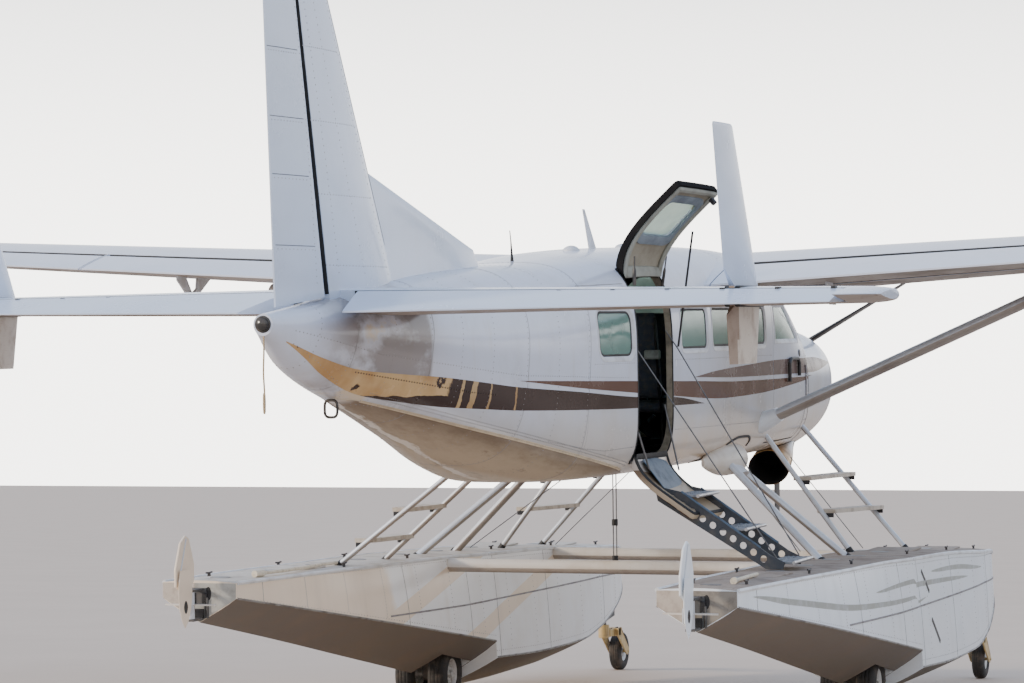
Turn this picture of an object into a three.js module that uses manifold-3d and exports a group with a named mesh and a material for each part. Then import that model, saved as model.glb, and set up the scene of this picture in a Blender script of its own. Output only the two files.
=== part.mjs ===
// A high-wing, single-turboprop utility aircraft on amphibious floats, parked on its float wheels
// with the airstair down and the upper passenger door raised. Lengths are millimetres.
// Inside the aircraft group x runs to starboard, y forward from the firewall and z up from the
// cabin belly. The group is pitched nose-up as the aircraft stands, and its wheels touch z = 0.

import * as THREE from 'three';
import { mergeVertices } from 'three/addons/utils/BufferGeometryUtils.js';
import Module from 'manifold-3d';

const wasm = await Module();
wasm.setup();

const { degToRad, lerp } = THREE.MathUtils;
const vec = (x, y, z) => new THREE.Vector3(x, y, z);

// Driving dimensions of the airframe
const halfSpan = 7940;
const wallThickness = 45;
const skinGap = 0.3;
const doorGap = 6;
const windowInset = 8;
const parkedPitch = degToRad(3);
const originAhead = 3565.68;
const standHeight = 1922.24;

// Driving dimensions of the propeller and cowling
const hubHeight = 685;
const propPlane = 1550;
const propRadius = 1345;
const spinnerTip = 1930;
const spinnerRadius = 235;
const cowlFront = 1330;

// Driving dimensions of the floats and their wheels
const floatOffset = 1610;
const stepY = -2400;
const mainWheelRadius = 222;
const mainWheelHub = vec(0, -2650, -1564);
const bowWheelRadius = 166;
const bowWheelHub = vec(0, 2165, -1872);
const casterPivotY = 1720;
const bowTyreHalf = 54;
const mainTyreHalf = 72;

// Colours of the paint, metal, rubber and glass
const paint = {
  white: [0xeef0f2, 0.3, 0.0],
  brown: [0x4a3428, 0.35, 0.0],
  metal: [0xb4bcc4, 0.4, 0.9],
  deck: [0xb9bcbe, 0.7, 0.1],
  dark: [0x2b2b2c, 0.6, 0.2],
  gold: [0xd8c890, 0.4, 0.3],
  rubber: [0x17171a, 0.85, 0.0],
  glass: [0x9fb8b0, 0.1, 0.0],
  cloth: [0x6d6558, 0.9, 0.0],
  rope: [0xb79d70, 0.9, 0.0],
};

// Turns a closed three.js geometry into a solid
function solid(geometry) {
  const bare = geometry.clone();
  bare.deleteAttribute('normal');
  bare.deleteAttribute('uv');
  const merged = mergeVertices(bare, 1e-4);
  return new wasm.Manifold(new wasm.Mesh({
    numProp: 3,
    vertProperties: new Float32Array(merged.attributes.position.array),
    triVerts: new Uint32Array(merged.index.array),
  }));
}

// Turns a solid back into a three.js geometry
function geometryOf(body) {
  const mesh = body.getMesh();
  const geometry = new THREE.BufferGeometry();
  geometry.setAttribute('position', new THREE.BufferAttribute(new Float32Array(mesh.vertProperties), 3));
  geometry.setIndex(new THREE.BufferAttribute(new Uint32Array(mesh.triVerts), 1));
  geometry.computeVertexNormals();
  return geometry;
}

const join = (...bodies) => bodies.reduce((sum, body) => sum.add(body));
const cut = (body, ...tools) => tools.reduce((rest, tool) => rest.subtract(tool), body);

// Skins rings of equally many points into one closed solid with flat ends
function loft(rings) {
  const count = rings[0].length;
  const points = rings.flat();
  const faces = [];
  for (let ring = 0; ring + 1 < rings.length; ring += 1) {
    for (let i = 0; i < count; i += 1) {
      const a = ring * count + i;
      const b = ring * count + ((i + 1) % count);
      faces.push(a, b, b + count, a, b + count, a + count);
    }
  }
  for (const [first, side] of [[0, -1], [(rings.length - 1) * count, 1]]) {
    const flat = flatten(points.slice(first, first + count));
    for (const [a, b, c] of THREE.ShapeUtils.triangulateShape(flat, [])) {
      faces.push(...(side > 0 ? [first + a, first + b, first + c] : [first + a, first + c, first + b]));
    }
  }
  return oriented(points, faces);
}

// Projects a planar ring on the two axes in which it is widest, keeping its winding
function flatten(ring) {
  const normal = vec(0, 0, 0);
  ring.forEach((p, i) => normal.add(vec(0, 0, 0).crossVectors(p, ring[(i + 1) % ring.length])));
  const [ax, ay, az] = [Math.abs(normal.x), Math.abs(normal.y), Math.abs(normal.z)];
  if (ax >= ay && ax >= az) return ring.map((p) => new THREE.Vector2(p.y, p.z * Math.sign(normal.x)));
  if (ay >= az) return ring.map((p) => new THREE.Vector2(p.z, p.x * Math.sign(normal.y)));
  return ring.map((p) => new THREE.Vector2(p.x, p.y * Math.sign(normal.z)));
}

// Makes a solid of points and triangles, turned so that its faces point out
function oriented(points, faces) {
  let volume = 0;
  for (let i = 0; i < faces.length; i += 3) {
    const [a, b, c] = [points[faces[i]], points[faces[i + 1]], points[faces[i + 2]]];
    volume += a.dot(vec(0, 0, 0).crossVectors(b, c));
  }
  if (volume < 0) faces.reverse();
  const geometry = new THREE.BufferGeometry().setFromPoints(points);
  geometry.setIndex(faces);
  return solid(geometry);
}

function block(low, high) {
  const size = vec(0, 0, 0).subVectors(high, low);
  const geometry = new THREE.BoxGeometry(size.x, size.y, size.z);
  geometry.translate(low.x + size.x / 2, low.y + size.y / 2, low.z + size.z / 2);
  return solid(geometry);
}

// A prism whose outline is given in y and z and which runs along x
function sidePrism(outline, fromX, toX) {
  return loft([fromX, toX].map((x) => outline.map(([y, z]) => vec(x, y, z))));
}

// A prism whose outline is given in x and y and which stands along z
function planPrism(outline, fromZ, toZ) {
  return loft([fromZ, toZ].map((z) => outline.map(([x, y]) => vec(x, y, z))));
}

// A rounded rectangle in y and z, as a list of points
function roundedPanel(fromY, toY, fromZ, toZ, radius, steps = 2) {
  const corners = [[toY - radius, toZ - radius, 0], [fromY + radius, toZ - radius, 1],
    [fromY + radius, fromZ + radius, 2], [toY - radius, fromZ + radius, 3]];
  return corners.flatMap(([y, z, quarter]) => Array.from({ length: steps + 1 }, (_, i) => {
    const angle = (quarter + i / steps) * Math.PI / 2;
    return [y + radius * Math.cos(angle), z + radius * Math.sin(angle)];
  }));
}

// A bar of oval section between two points: its section is wide along y and thin across it
function bar(from, to, width, depth, sides = 10) {
  const along = vec(0, 0, 0).subVectors(to, from).normalize();
  const lead = Math.abs(along.y) > 0.9 ? vec(1, 0, 0) : vec(0, 1, 0);
  const broad = lead.clone().addScaledVector(along, -lead.dot(along)).normalize();
  const thin = vec(0, 0, 0).crossVectors(along, broad);
  return loft([from, to].map((centre) => Array.from({ length: sides }, (_, i) => {
    const angle = 2 * Math.PI * (i + 0.5) / sides;
    return centre.clone()
      .addScaledVector(broad, width / 2 * Math.cos(angle))
      .addScaledVector(thin, depth / 2 * Math.sin(angle));
  })));
}

// A short tapered pin whose end faces lie across the given pair of directions
function pintle(from, to, [right, up]) {
  const sides = 8;
  return loft([[from, 8], [to, 1.5]].map(([centre, radius]) => Array.from({ length: sides }, (_, i) => {
    const angle = 2 * Math.PI * i / sides;
    return centre.clone().addScaledVector(right, radius * Math.cos(angle)).addScaledVector(up, radius * Math.sin(angle));
  })));
}

// A hinge of three knuckles on one line. The outer two belong to the frame and the middle one to
// the leaf, each tied to its own panel by a strap, and the sleeve is the room that they turn in.
function hingeOf([from, to], frameStrap, leafStrap) {
  const at = (t) => vec(0, 0, 0).lerpVectors(from, to, t);
  const along = vec(0, 0, 0).subVectors(to, from).normalize();
  const rest = skinGap / from.distanceTo(to);
  const leafPlate = (start, strap) => {
    const thin = vec(0, 0, 0).crossVectors(along, strap).setLength(3.5);
    const corners = [[13, 1], [13, -1], [-13, -1], [-13, 1]];
    return loft([start, start.clone().add(strap)].map((centre) => corners.map(([reach, sign]) => centre.clone()
      .addScaledVector(along, reach).addScaledVector(thin, sign))));
  };
  const knuckle = (t0, t1, strap) => join(bar(at(t0), at(t1), 14, 14, 8), leafPlate(at((t0 + t1) / 2), strap));
  return {
    frame: [knuckle(0.25, 0.4 - rest, frameStrap), knuckle(0.6 + rest, 0.75, frameStrap)],
    leaf: knuckle(0.4, 0.6, leafStrap),
    sleeve: bar(at(0.24), at(0.76), 19, 19, 8),
  };
}

// Turns a solid about the line between two points, by an angle in degrees
function turned(body, [from, to], degrees) {
  const axis = vec(0, 0, 0).subVectors(to, from).normalize();
  const turn = new THREE.Matrix4().makeRotationAxis(axis, degToRad(degrees));
  const there = new THREE.Matrix4().makeTranslation(from.x, from.y, from.z);
  const back = new THREE.Matrix4().makeTranslation(-from.x, -from.y, -from.z);
  return body.transform(there.multiply(turn).multiply(back).elements);
}

// A lathe about the x axis through a centre, from a closed profile of [x, radius] pairs
function wheel(profile, centre, segments) {
  const outline = [...profile, profile[0]].map(([x, radius]) => new THREE.Vector2(radius, x));
  const geometry = new THREE.LatheGeometry(outline, segments);
  geometry.rotateZ(-Math.PI / 2);
  geometry.translate(centre.x, centre.y, centre.z);
  return outward(geometry);
}

function outward(geometry) {
  const body = solid(geometry);
  if (body.volume() > 0) return body;
  const flipped = geometry.clone();
  flipped.setIndex([...flipped.index.array].reverse());
  return solid(flipped);
}

// Mirrors a starboard solid to port where side is -1
const onSide = (body, side) => (side > 0 ? body : body.mirror([1, 0, 0]));

const pieces = [];

function piece(name, body, [colour, roughness, metalness]) {
  const material = new THREE.MeshStandardMaterial({ color: colour, roughness, metalness });
  const mesh = new THREE.Mesh(geometryOf(body), material);
  mesh.name = name;
  pieces.push(mesh);
  return mesh;
}

// Fuselage sections: station, half width, belly, height of the widest point, crown,
// and how square the lower and upper halves are
const fuselageStations = [
  { y: cowlFront, half: 490, low: 230, mid: 520, high: 900, lower: 2.4, upper: 2.4 },
  { y: 1180, half: 575, low: 120, mid: 500, high: 945, lower: 2.6, upper: 2.5 },
  { y: 800, half: 620, low: 20, mid: 490, high: 985, lower: 2.8, upper: 2.6 },
  { y: 300, half: 650, low: -30, mid: 500, high: 1005, lower: 3.0, upper: 2.6 },
  { y: 0, half: 664, low: -20, mid: 510, high: 1020, lower: 3.2, upper: 2.6 },
  { y: -350, half: 738, low: 0, mid: 540, high: 1180, lower: 3.4, upper: 2.7 },
  { y: -700, half: 755, low: 0, mid: 580, high: 1345, lower: 3.8, upper: 3.0 },
  { y: -1050, half: 768, low: 0, mid: 600, high: 1480, lower: 4.2, upper: 3.5 },
  { y: -1450, half: 776, low: 0, mid: 620, high: 1555, lower: 4.5, upper: 4.0 },
  { y: -2400, half: 780, low: 0, mid: 620, high: 1575, lower: 4.5, upper: 4.1 },
  { y: -3350, half: 778, low: 0, mid: 620, high: 1555, lower: 4.6, upper: 4.1 },
  { y: -4180, half: 760, low: 0, mid: 625, high: 1515, lower: 4.8, upper: 4.1 },
  { y: -4870, half: 695, low: 0, mid: 652, high: 1468, lower: 5.0, upper: 3.9 },
  { y: -5200, half: 652, low: 0, mid: 670, high: 1442, lower: 4.6, upper: 3.5 },
  { y: -5600, half: 603, low: 10, mid: 700, high: 1412, lower: 3.9, upper: 3.1 },
  { y: -6200, half: 535, low: 85, mid: 750, high: 1382, lower: 3.1, upper: 2.7 },
  { y: -7200, half: 405, low: 315, mid: 850, high: 1325, lower: 2.5, upper: 2.3 },
  { y: -8200, half: 265, low: 560, mid: 930, high: 1222, lower: 2.3, upper: 2.2 },
  { y: -9000, half: 150, low: 765, mid: 985, high: 1130, lower: 2.2, upper: 2.2 },
  { y: -9400, half: 55, low: 975, mid: 1035, high: 1092, lower: 2.0, upper: 2.0 },
];
const firewallY = 0;
const cabinAft = -5600;

function fuselageAt(y) {
  const next = fuselageStations.findIndex((station) => station.y <= y);
  if (next <= 0) return fuselageStations[Math.max(next, 0)];
  const [fore, aft] = [fuselageStations[next - 1], fuselageStations[next]];
  const t = (fore.y - y) / (fore.y - aft.y);
  const between = Object.keys(fore).map((key) => [key, lerp(fore[key], aft[key], t)]);
  return Object.fromEntries(between);
}

// One fuselage ring: a superellipse whose upper and lower halves differ
function fuselageRing(y, grow, sides = 28) {
  const { half, low, mid, high, lower, upper } = fuselageAt(y);
  return Array.from({ length: sides }, (_, i) => {
    const angle = 2 * Math.PI * i / sides;
    const [c, s] = [Math.cos(angle), Math.sin(angle)];
    const power = s >= 0 ? 2 / upper : 2 / lower;
    const height = s >= 0 ? high - mid + grow : mid - low + grow;
    const x = (half + grow) * Math.sign(c) * Math.abs(c) ** power;
    return vec(x, y, mid + height * Math.sign(s) * Math.abs(s) ** power);
  });
}

// The starboard skin at a station and height above the widest point or below it
function skinPoint(y, z) {
  const { half, low, mid, high, lower, upper } = fuselageAt(y);
  const power = z >= mid ? upper : lower;
  const height = z >= mid ? (z - mid) / (high - mid) : (mid - z) / (mid - low);
  return vec(half * (1 - height ** power) ** (1 / power), y, z);
}

function fuselage(fromY, toY, grow = 0) {
  const inside = fuselageStations.map(({ y }) => y).filter((y) => y < fromY && y > toY);
  return loft([fromY, ...inside, toY].map((y) => fuselageRing(y, grow)));
}

const wholeFuselage = fuselage(cowlFront, -9400, skinGap);

// Half thickness of a symmetrical four-digit aerofoil at a fraction of its chord
function foilHalf(thickness, t) {
  const terms = 0.2969 * Math.sqrt(t) - 0.126 * t - 0.3516 * t ** 2 + 0.2843 * t ** 3 - 0.1015 * t ** 4;
  return 5 * thickness * terms;
}

function foilCamber(camber, t) {
  const peak = 0.4;
  if (t < peak) return camber / peak ** 2 * (2 * peak * t - t ** 2);
  return camber / (1 - peak) ** 2 * (1 - 2 * peak + 2 * peak * t - t ** 2);
}

// Outline of an aerofoil as [fraction of chord, height over chord] from the trailing edge over
// the top and back below. A surface that starts behind the leading edge gets a round nose.
function foilOutline(thickness, camber, start = 0, steps = 8) {
  const trail = 0.0018;
  const side = (sign) => Array.from({ length: steps }, (_, i) => {
    const t = start + (1 - start) * (1 + Math.cos(Math.PI * i / steps)) / 2;
    return [t, foilCamber(camber, t) + sign * (foilHalf(thickness, t) + trail)];
  });
  const radius = foilHalf(thickness, start) + trail;
  const centre = foilCamber(camber, start);
  const noseSteps = 4;
  const nose = start === 0 ? [[0, 0]] : Array.from({ length: noseSteps + 1 }, (_, i) => {
    const angle = Math.PI * i / noseSteps;
    return [start - radius * Math.sin(angle), centre + radius * Math.cos(angle)];
  });
  return [...side(1), ...nose, ...side(-1).reverse()];
}

// The wing at a distance from the centreline: leading edge, chord, trailing edge height, thickness
const incidence = Math.sin(degToRad(2.4));
const wingCamber = 0.022;
function wingAt(x) {
  const t = x / halfSpan;
  const chord = lerp(1980, 1220, t);
  return { lead: lerp(-1370, -1560, t), chord, trailZ: 1235 + 0.058 * x, thickness: lerp(0.172, 0.12, t) };
}

function wingPoint(x, t, height) {
  const { lead, chord, trailZ } = wingAt(x);
  return vec(x, lead - t * chord, trailZ + (1 - t) * chord * incidence + height * chord);
}

function wingRing(x, start = 0, squash = 1) {
  const { thickness } = wingAt(x);
  return foilOutline(thickness, wingCamber, start).map(([t, h]) => {
    const near = lerp(0.45, t, squash);
    return wingPoint(x, near, h * squash);
  });
}

// Trailing-edge surfaces hinge at this fraction of the chord
const surfaceStart = 0.735;
const bays = { flap: [774, 4230], aileron: [4260, 7560] };

function wingWall(x) {
  const { thickness, chord } = wingAt(x);
  const clearance = 14;
  return surfaceStart - foilHalf(thickness, surfaceStart) - clearance / chord;
}

function wingBay([fromX, toX]) {
  const [x0, x1] = [fromX - 12, toX + 12];
  const behind = 1.2;
  const outline = [[x0, wingWall(x0)], [x1, wingWall(x1)], [x1, behind], [x0, behind]];
  return planPrism(outline.map(([x, t]) => [x, wingPoint(x, t, 0).y]), 900, 2200);
}

function wingPanel() {
  const tip = [[7560, 1], [7800, 1], [7900, 0.86], [halfSpan, 0.55]];
  const rings = [620.3, 4245].map((x) => wingRing(x)).concat(tip.map(([x, s]) => wingRing(x, 0, s)));
  return join(cut(loft(rings), wingBay(bays.flap), wingBay(bays.aileron)), ...flapBrackets.map(flapBracket));
}

function wingSurface([fromX, toX]) {
  return loft([wingRing(fromX, surfaceStart), wingRing(toX, surfaceStart)]);
}

// The middle of a trailing-edge surface's round nose, which is its hinge point
const nosePoint = (x) => wingPoint(x, surfaceStart, foilCamber(wingCamber, surfaceStart));
const acrossX = [vec(0, 1, 0), vec(0, 0, 1)];

function aileron() {
  const [inner, outer] = bays.aileron;
  const pins = [[inner + 10, inner - 12 + skinGap], [outer - 10, outer + 12 - skinGap]];
  return join(wingSurface(bays.aileron), ...pins.map(([x0, x1]) => pintle(nosePoint(x0), nosePoint(x1), acrossX)));
}

// Flaps swing about pivots below the wing: a fixed bracket and a flap arm meet at each pivot
const flapBrackets = [1500, 3500];
const flapPivot = (x) => nosePoint(x).add(vec(0, 40, -215));

function flapBracket(x) {
  const { y, z } = flapPivot(x);
  const outline = [[y + 25, z - 20], [y + 330, z + 150], [y + 330, z + 230], [y + 90, z + 230], [y + 60, z + 60],
    [y - 25, z + 20], [y - 25, z - 20]];
  return sidePrism(outline, x - 8, x + 8);
}

function flapArm(x) {
  const { y, z } = flapPivot(x);
  const outline = [[y + 22, z - 22], [y + 22, z + 22], [y - 110, z + 170], [y - 250, z + 190], [y - 240, z + 120],
    [y - 22, z - 22]];
  const pin = pintle(vec(x + 18, y, z), vec(x + 8 + skinGap, y, z), acrossX);
  return join(sidePrism(outline, x + 16, x + 28), pin);
}

const flap = () => join(wingSurface(bays.flap), ...flapBrackets.map(flapArm));

const starboardWing = wingPanel();
for (const [side, name] of [[1, 'right'], [-1, 'left']]) {
  piece(`wing_${name}`, cut(onSide(starboardWing, side), wholeFuselage), paint.white);
  piece(`flap_${name}`, onSide(flap(), side), paint.white);
  piece(`aileron_${name}`, onSide(aileron(), side), paint.white);
}

// Window and door outlines on the cabin side, as [front y, rear y, bottom z, top z, corner radius]
const windows = {
  first: [-1770, -2430, 835, 1150, 70],
  second: [-2610, -3270, 830, 1142, 70],
  third: [-3380, -4020, 822, 1138, 70],
  aft: [-4885, -5430, 785, 1120, 90],
  passengerDoor: [-4300, -4760, 812, 1130, 70],
  cargoFore: [-3640, -4120, 822, 1136, 70],
  cargoAft: [-4300, -4740, 815, 1130, 70],
};
const doorways = {
  crew: { front: -420, rear: -1570, bottom: 105, top: 1196, radius: 60 },
  passenger: { front: -4220, rear: -4840, bottom: 98, split: 668, top: 1378, radius: 30 },
  cargo: { front: -3570, rear: -4840, bottom: 98, split: 668, top: 1378, radius: 30 },
};

// Hinge lines just outside the skin: above the upper doors, below the airstair, and ahead of the
// crew doors and of the lower cargo door
const hingeEdge = 4;
const swingGap = 13;
function skinLine({ front, rear }, z) {
  const ends = [skinPoint(rear, z), skinPoint(front, z)];
  const bulges = fuselageStations.filter(({ y }) => y > rear && y < front).map(({ y }) => {
    const chord = lerp(ends[0].x, ends[1].x, (y - rear) / (front - rear));
    return skinPoint(y, z).x - chord;
  });
  return ends.map((end) => end.add(vec(2 + Math.max(0, ...bulges), 0, 0)));
}
const roofHinge = (doorway) => skinLine(doorway, doorway.top - hingeEdge);
const sillHinge = (doorway) => skinLine(doorway, doorway.bottom + hingeEdge);
const frontHinge = ({ front }, low, high) => [low, high].map((z) => (
  vec(skinPoint(front, (low + high) / 2).x + 6, front - 3, z)));
const crewHinge = frontHinge(doorways.crew, 430, 690);
const cargoHinge = frontHinge(doorways.cargo, 390, 640);
const toPort = (line) => line.map((p) => vec(-p.x, p.y, p.z));
const doorHinges = {
  crewRight: hingeOf(crewHinge, vec(-22, 24, 0), vec(-22, -24, 0)),
  crewLeft: hingeOf(toPort(crewHinge), vec(22, 24, 0), vec(22, -24, 0)),
  passengerUpper: hingeOf(roofHinge(doorways.passenger), vec(-50, 0, 20), vec(-16, 0, -26)),
  passengerLower: hingeOf(sillHinge(doorways.passenger), vec(-50, 0, -20), vec(-16, 0, 26)),
  cargoUpper: hingeOf(toPort(roofHinge(doorways.cargo)), vec(50, 0, 20), vec(20, 0, -30)),
  cargoLower: hingeOf(toPort(cargoHinge), vec(22, 24, 0), vec(22, -24, 0)),
};
const allHinges = Object.values(doorHinges);

function windowPrism([front, rear, bottom, top, radius], fromX, toX, shrink = 0) {
  const outline = roundedPanel(rear + shrink, front - shrink, bottom + shrink, top - shrink, radius - shrink);
  return sidePrism(outline, fromX, toX);
}

// The crew door leans forward below the windscreen post, so its outline is a polygon
const crewOutline = (shrink) => {
  const { front, rear, bottom, top } = doorways.crew;
  return [[front - shrink, bottom + shrink], [rear + shrink, bottom + shrink], [rear + shrink, top - shrink],
    [-985 - shrink * 0.4, top - shrink], [front - shrink, 800 - shrink * 0.6]];
};
const crewWindow = (shrink) => [[-640 - shrink, 866 + shrink], [-1500 + shrink, 866 + shrink],
  [-1500 + shrink, 1150 - shrink], [-1060 - shrink * 0.3, 1150 - shrink], [-640 - shrink, 905 - shrink]];

function doorwayPrism({ front, rear, bottom, top, radius }, fromX, toX) {
  return sidePrism(roundedPanel(rear, front, bottom, top, radius), fromX, toX);
}

// The windscreen opening seen from the side: everything ahead of the post and above the cowl
const screenOutline = (shrink) => [[-70 - shrink, 1052 + shrink * 0.3], [-455, 935 + shrink],
  [-960 + shrink, 1262 + shrink], [-1010 + shrink, 1400], [-1010 + shrink, 1700], [-70 - shrink, 1700]];
const screenPrism = (shrink) => sidePrism(screenOutline(shrink), -900, 900);

// The wing's centre section, which the cabin roof follows between the two wing roots
function wingCentre() {
  const rings = [-620, 620].map((x) => wingRing(Math.abs(x)).map((p) => vec(x, p.y, p.z)));
  return loft(rings);
}

// Rounded housings low on the cabin side, where the float struts are bolted on
function strutFairing(side) {
  const stations = [[-2400, 50, 90], [-2440, 125, 115], [-2660, 125, 115], [-2950, 80, 80], [-3220, 12, 30]];
  const rings = stations.map(([y, wide, deep]) => Array.from({ length: 14 }, (_, i) => {
    const angle = 2 * Math.PI * i / 14;
    return vec(side * (680 + wide * Math.cos(angle)), y, 30 + deep * Math.sin(angle));
  }));
  return loft(rings);
}

function cabinShell() {
  const outer = join(fuselage(firewallY - 20, cabinAft), wingCentre(), strutFairing(1), strutFairing(-1));
  const inner = fuselage(firewallY - 20, cabinAft, -wallThickness);
  const ends = [fuselage(firewallY, firewallY - 21, -wallThickness), fuselage(cabinAft + 1, cabinAft - 5, -wallThickness)];
  const starboard = [windows.first, windows.second, windows.third, windows.aft];
  const port = [windows.first, windows.second, windows.aft];
  const { passenger, cargo } = doorways;
  const shell = cut(
    outer, inner, ...ends, screenPrism(0),
    sidePrism(crewOutline(0), -1200, 1200),
    ...starboard.map((hole) => windowPrism(hole, 300, 1200)),
    ...port.map((hole) => windowPrism(hole, -1200, -300)),
    doorwayPrism(passenger, 300, 1200), doorwayPrism(cargo, -1200, -300),
    ...allHinges.map(({ sleeve }) => sleeve),
  );
  return join(shell, ...allHinges.flatMap(({ frame }) => frame));
}
piece('cabin_shell', cabinShell(), paint.white);

// A panel cut out of the cabin wall by a side outline, and so as curved and thick as the wall
function wallPanel(outline, side, ...holes) {
  const [fromX, toX] = side > 0 ? [300, 1200] : [-1200, -300];
  const wall = cut(fuselage(0, cabinAft), fuselage(1, cabinAft - 1, -wallThickness));
  return cut(wall.intersect(sidePrism(outline, fromX, toX)), ...holes);
}

// Gives a closed door its own knuckle
const hung = (door, { leaf, sleeve }) => join(cut(door, sleeve), leaf);

for (const [side, name, hinge] of [[1, 'right', doorHinges.crewRight], [-1, 'left', doorHinges.crewLeft]]) {
  const glassHole = sidePrism(crewWindow(0), side * 300, side * 1200);
  piece(`crew_door_${name}`, hung(wallPanel(crewOutline(doorGap), side, glassHole), hinge), paint.white);
}

// Half panels of the two doorways behind the wing, above and below the split
function doorHalf(doorway, side, upper, ...holes) {
  const { front, rear, bottom, split, top, radius } = doorway;
  const edge = 2 * hingeEdge;
  const [low, high] = upper ? [split + doorGap / 2, top - edge] : [bottom + edge, split - doorGap / 2];
  return wallPanel(roundedPanel(rear + swingGap, front - swingGap, low, high, radius), side, ...holes);
}

// Passenger door: the upper half is raised and the lower half is let down as an airstair
const upperOpening = -131;
const stairOpening = 123;
const upperDoor = hung(doorHalf(doorways.passenger, 1, true, windowPrism(windows.passengerDoor, 300, 1200)),
  doorHinges.passengerUpper);
piece('passenger_door_upper', turned(upperDoor, roofHinge(doorways.passenger), upperOpening), paint.white);

// The airstair: curved lower door with two cheek plates and three treads. Folded up, what stands
// above the lower door stays inside the cabin, clear of the upper door.
function airstair() {
  const sill = sillHinge(doorways.passenger);
  const closed = hung(doorHalf(doorways.passenger, 1, false), doorHinges.passengerLower);
  const cheek = [[780, -50], [800, -150], [1530, -590], [1640, -590], [1655, -545], [1560, -500], [960, -90]];
  const cheeks = [-4760, -4284].map((y) => loft([y, y + 14].map((v) => cheek.map(([x, z]) => vec(x, v, z)))));
  const treads = [[905, 1085, -128], [1215, 1408, -344], [1535, 1725, -558]];
  const steps = treads.map(([x0, x1, z]) => block(vec(x0, -4760, z), vec(x1, -4270, z + 22)));
  const lowerRoom = block(vec(300, -4900, 0), vec(1000, -4100, doorways.passenger.split - 20));
  const room = join(fuselage(0, cabinAft, -wallThickness - doorGap), lowerRoom);
  const folded = turned(join(...cheeks, ...steps), sill, -stairOpening).intersect(room);
  return turned(join(closed, folded), sill, stairOpening);
}
piece('airstair_door', airstair(), paint.metal);

// Cargo door on the port side: closed, split like the passenger door
const cargoHoles = [windows.cargoFore, windows.cargoAft].map((hole) => windowPrism(hole, -1200, -300));
piece('cargo_door_upper', hung(doorHalf(doorways.cargo, -1, true, ...cargoHoles), doorHinges.cargoUpper), paint.white);
piece('cargo_door_lower', hung(doorHalf(doorways.cargo, -1, false), doorHinges.cargoLower), paint.white);

// Cabin windows: one band of glazing per side runs behind the wall and fills each window
function glazing(holes, side, fromY, toY) {
  const [near, far] = side > 0 ? [300, 1200] : [-1200, -300];
  const layer = (outer, inner) => cut(fuselage(0, cabinAft, outer), fuselage(1, cabinAft - 1, inner));
  const band = layer(-wallThickness - skinGap, -wallThickness - 6)
    .intersect(sidePrism([[fromY, 780], [toY, 780], [toY, 1185], [fromY, 1185]], near, far));
  const panes = holes.map((hole) => layer(-windowInset, -wallThickness - 6)
    .intersect(windowPrism(hole, near, far, skinGap)));
  return join(band, ...panes);
}
piece('windows_right', glazing([windows.first, windows.second, windows.third], 1, -1720, -4070), paint.glass);
piece('windows_left', glazing([windows.first, windows.second], -1, -1720, -3320), paint.glass);
piece('aft_window_right', glazing([windows.aft], 1, -4870, -5470), paint.glass);
piece('aft_window_left', glazing([windows.aft], -1, -4870, -5470), paint.glass);

const screenLayer = cut(fuselage(-20, cabinAft, -windowInset), fuselage(1, cabinAft - 1, -windowInset - 10));
piece('windshield', screenLayer.intersect(screenPrism(skinGap)), paint.glass);

// Floor with the bulkhead that closes the cabin ahead of the pedals
function cabinFloor() {
  const room = fuselage(firewallY - 20, cabinAft + skinGap, -wallThickness - skinGap);
  const floor = room.intersect(block(vec(-900, cabinAft + skinGap, 62), vec(900, -20, 98)));
  const bulkhead = room.intersect(block(vec(-900, -60, -100), vec(900, -20, 1200)));
  return join(floor, bulkhead);
}
piece('cabin_floor', cabinFloor(), paint.dark);
piece('firewall', fuselage(firewallY - skinGap, firewallY - 20 + skinGap), paint.metal);

// Seats of one side, joined by their floor rails: crew seat and two passenger seats
function seatRow(side) {
  const profile = [[0, 395], [0, 480], [-440, 470], [-560, 1010], [-640, 1120], [-700, 1110],
    [-640, 900], [-545, 395], [-330, 380], [-330, 130], [-250, 130], [-250, 380]];
  const fronts = [-960, -2080, -3060];
  const seats = fronts.map((front) => sidePrism(profile.map(([y, z]) => [front + y, z]), side * 110, side * 500));
  const rails = [[160, 195], [410, 445]].map(([x0, x1]) => {
    const [low, high] = [Math.min(side * x0, side * x1), Math.max(side * x0, side * x1)];
    return block(vec(low, -3720, 98.3), vec(high, -900, 131));
  });
  return join(...seats, ...rails);
}
piece('seats_right', seatRow(1), paint.cloth);
piece('seats_left', seatRow(-1), paint.cloth);

function instrumentPanel() {
  const room = fuselage(firewallY - 20, -700, -wallThickness - skinGap);
  return room.intersect(block(vec(-900, -400, 640), vec(900, -330, 985)));
}
piece('instrument_panel', instrumentPanel(), paint.dark);

// The tail cone is a thin shell as far as the fin, open to the cabin at its front, and solid behind
const tailShell = 30;
const tailCone = cut(fuselage(cabinAft - skinGap, -9400), fuselage(cabinAft + 1, -8300, -tailShell));
piece('tail_cone', tailCone, paint.white);

// Vertical tail, from sections at heights: leading edge, hinge and trailing edge stations
function finAt(z) {
  return {
    lead: -7520 - 0.602 * (z - 1260),
    hinge: -8680 - 0.194 * (z - 1190),
    trail: -9235 - 0.0674 * (z - 1112),
  };
}
const rudderLow = 1080;
const rudderHigh = 3290;
const finTop = 3500;
const finThickness = 0.095;

function finRing(z, start = 0, squash = 1) {
  const { lead, trail } = finAt(z);
  const chord = lead - trail;
  return foilOutline(finThickness, 0, start, 6).map(([t, h]) => {
    const near = lerp(0.5, t, squash);
    return vec(h * chord * squash, lead - near * chord, z);
  });
}
const hingeFraction = (z) => (finAt(z).lead - finAt(z).hinge) / (finAt(z).lead - finAt(z).trail);

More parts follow.
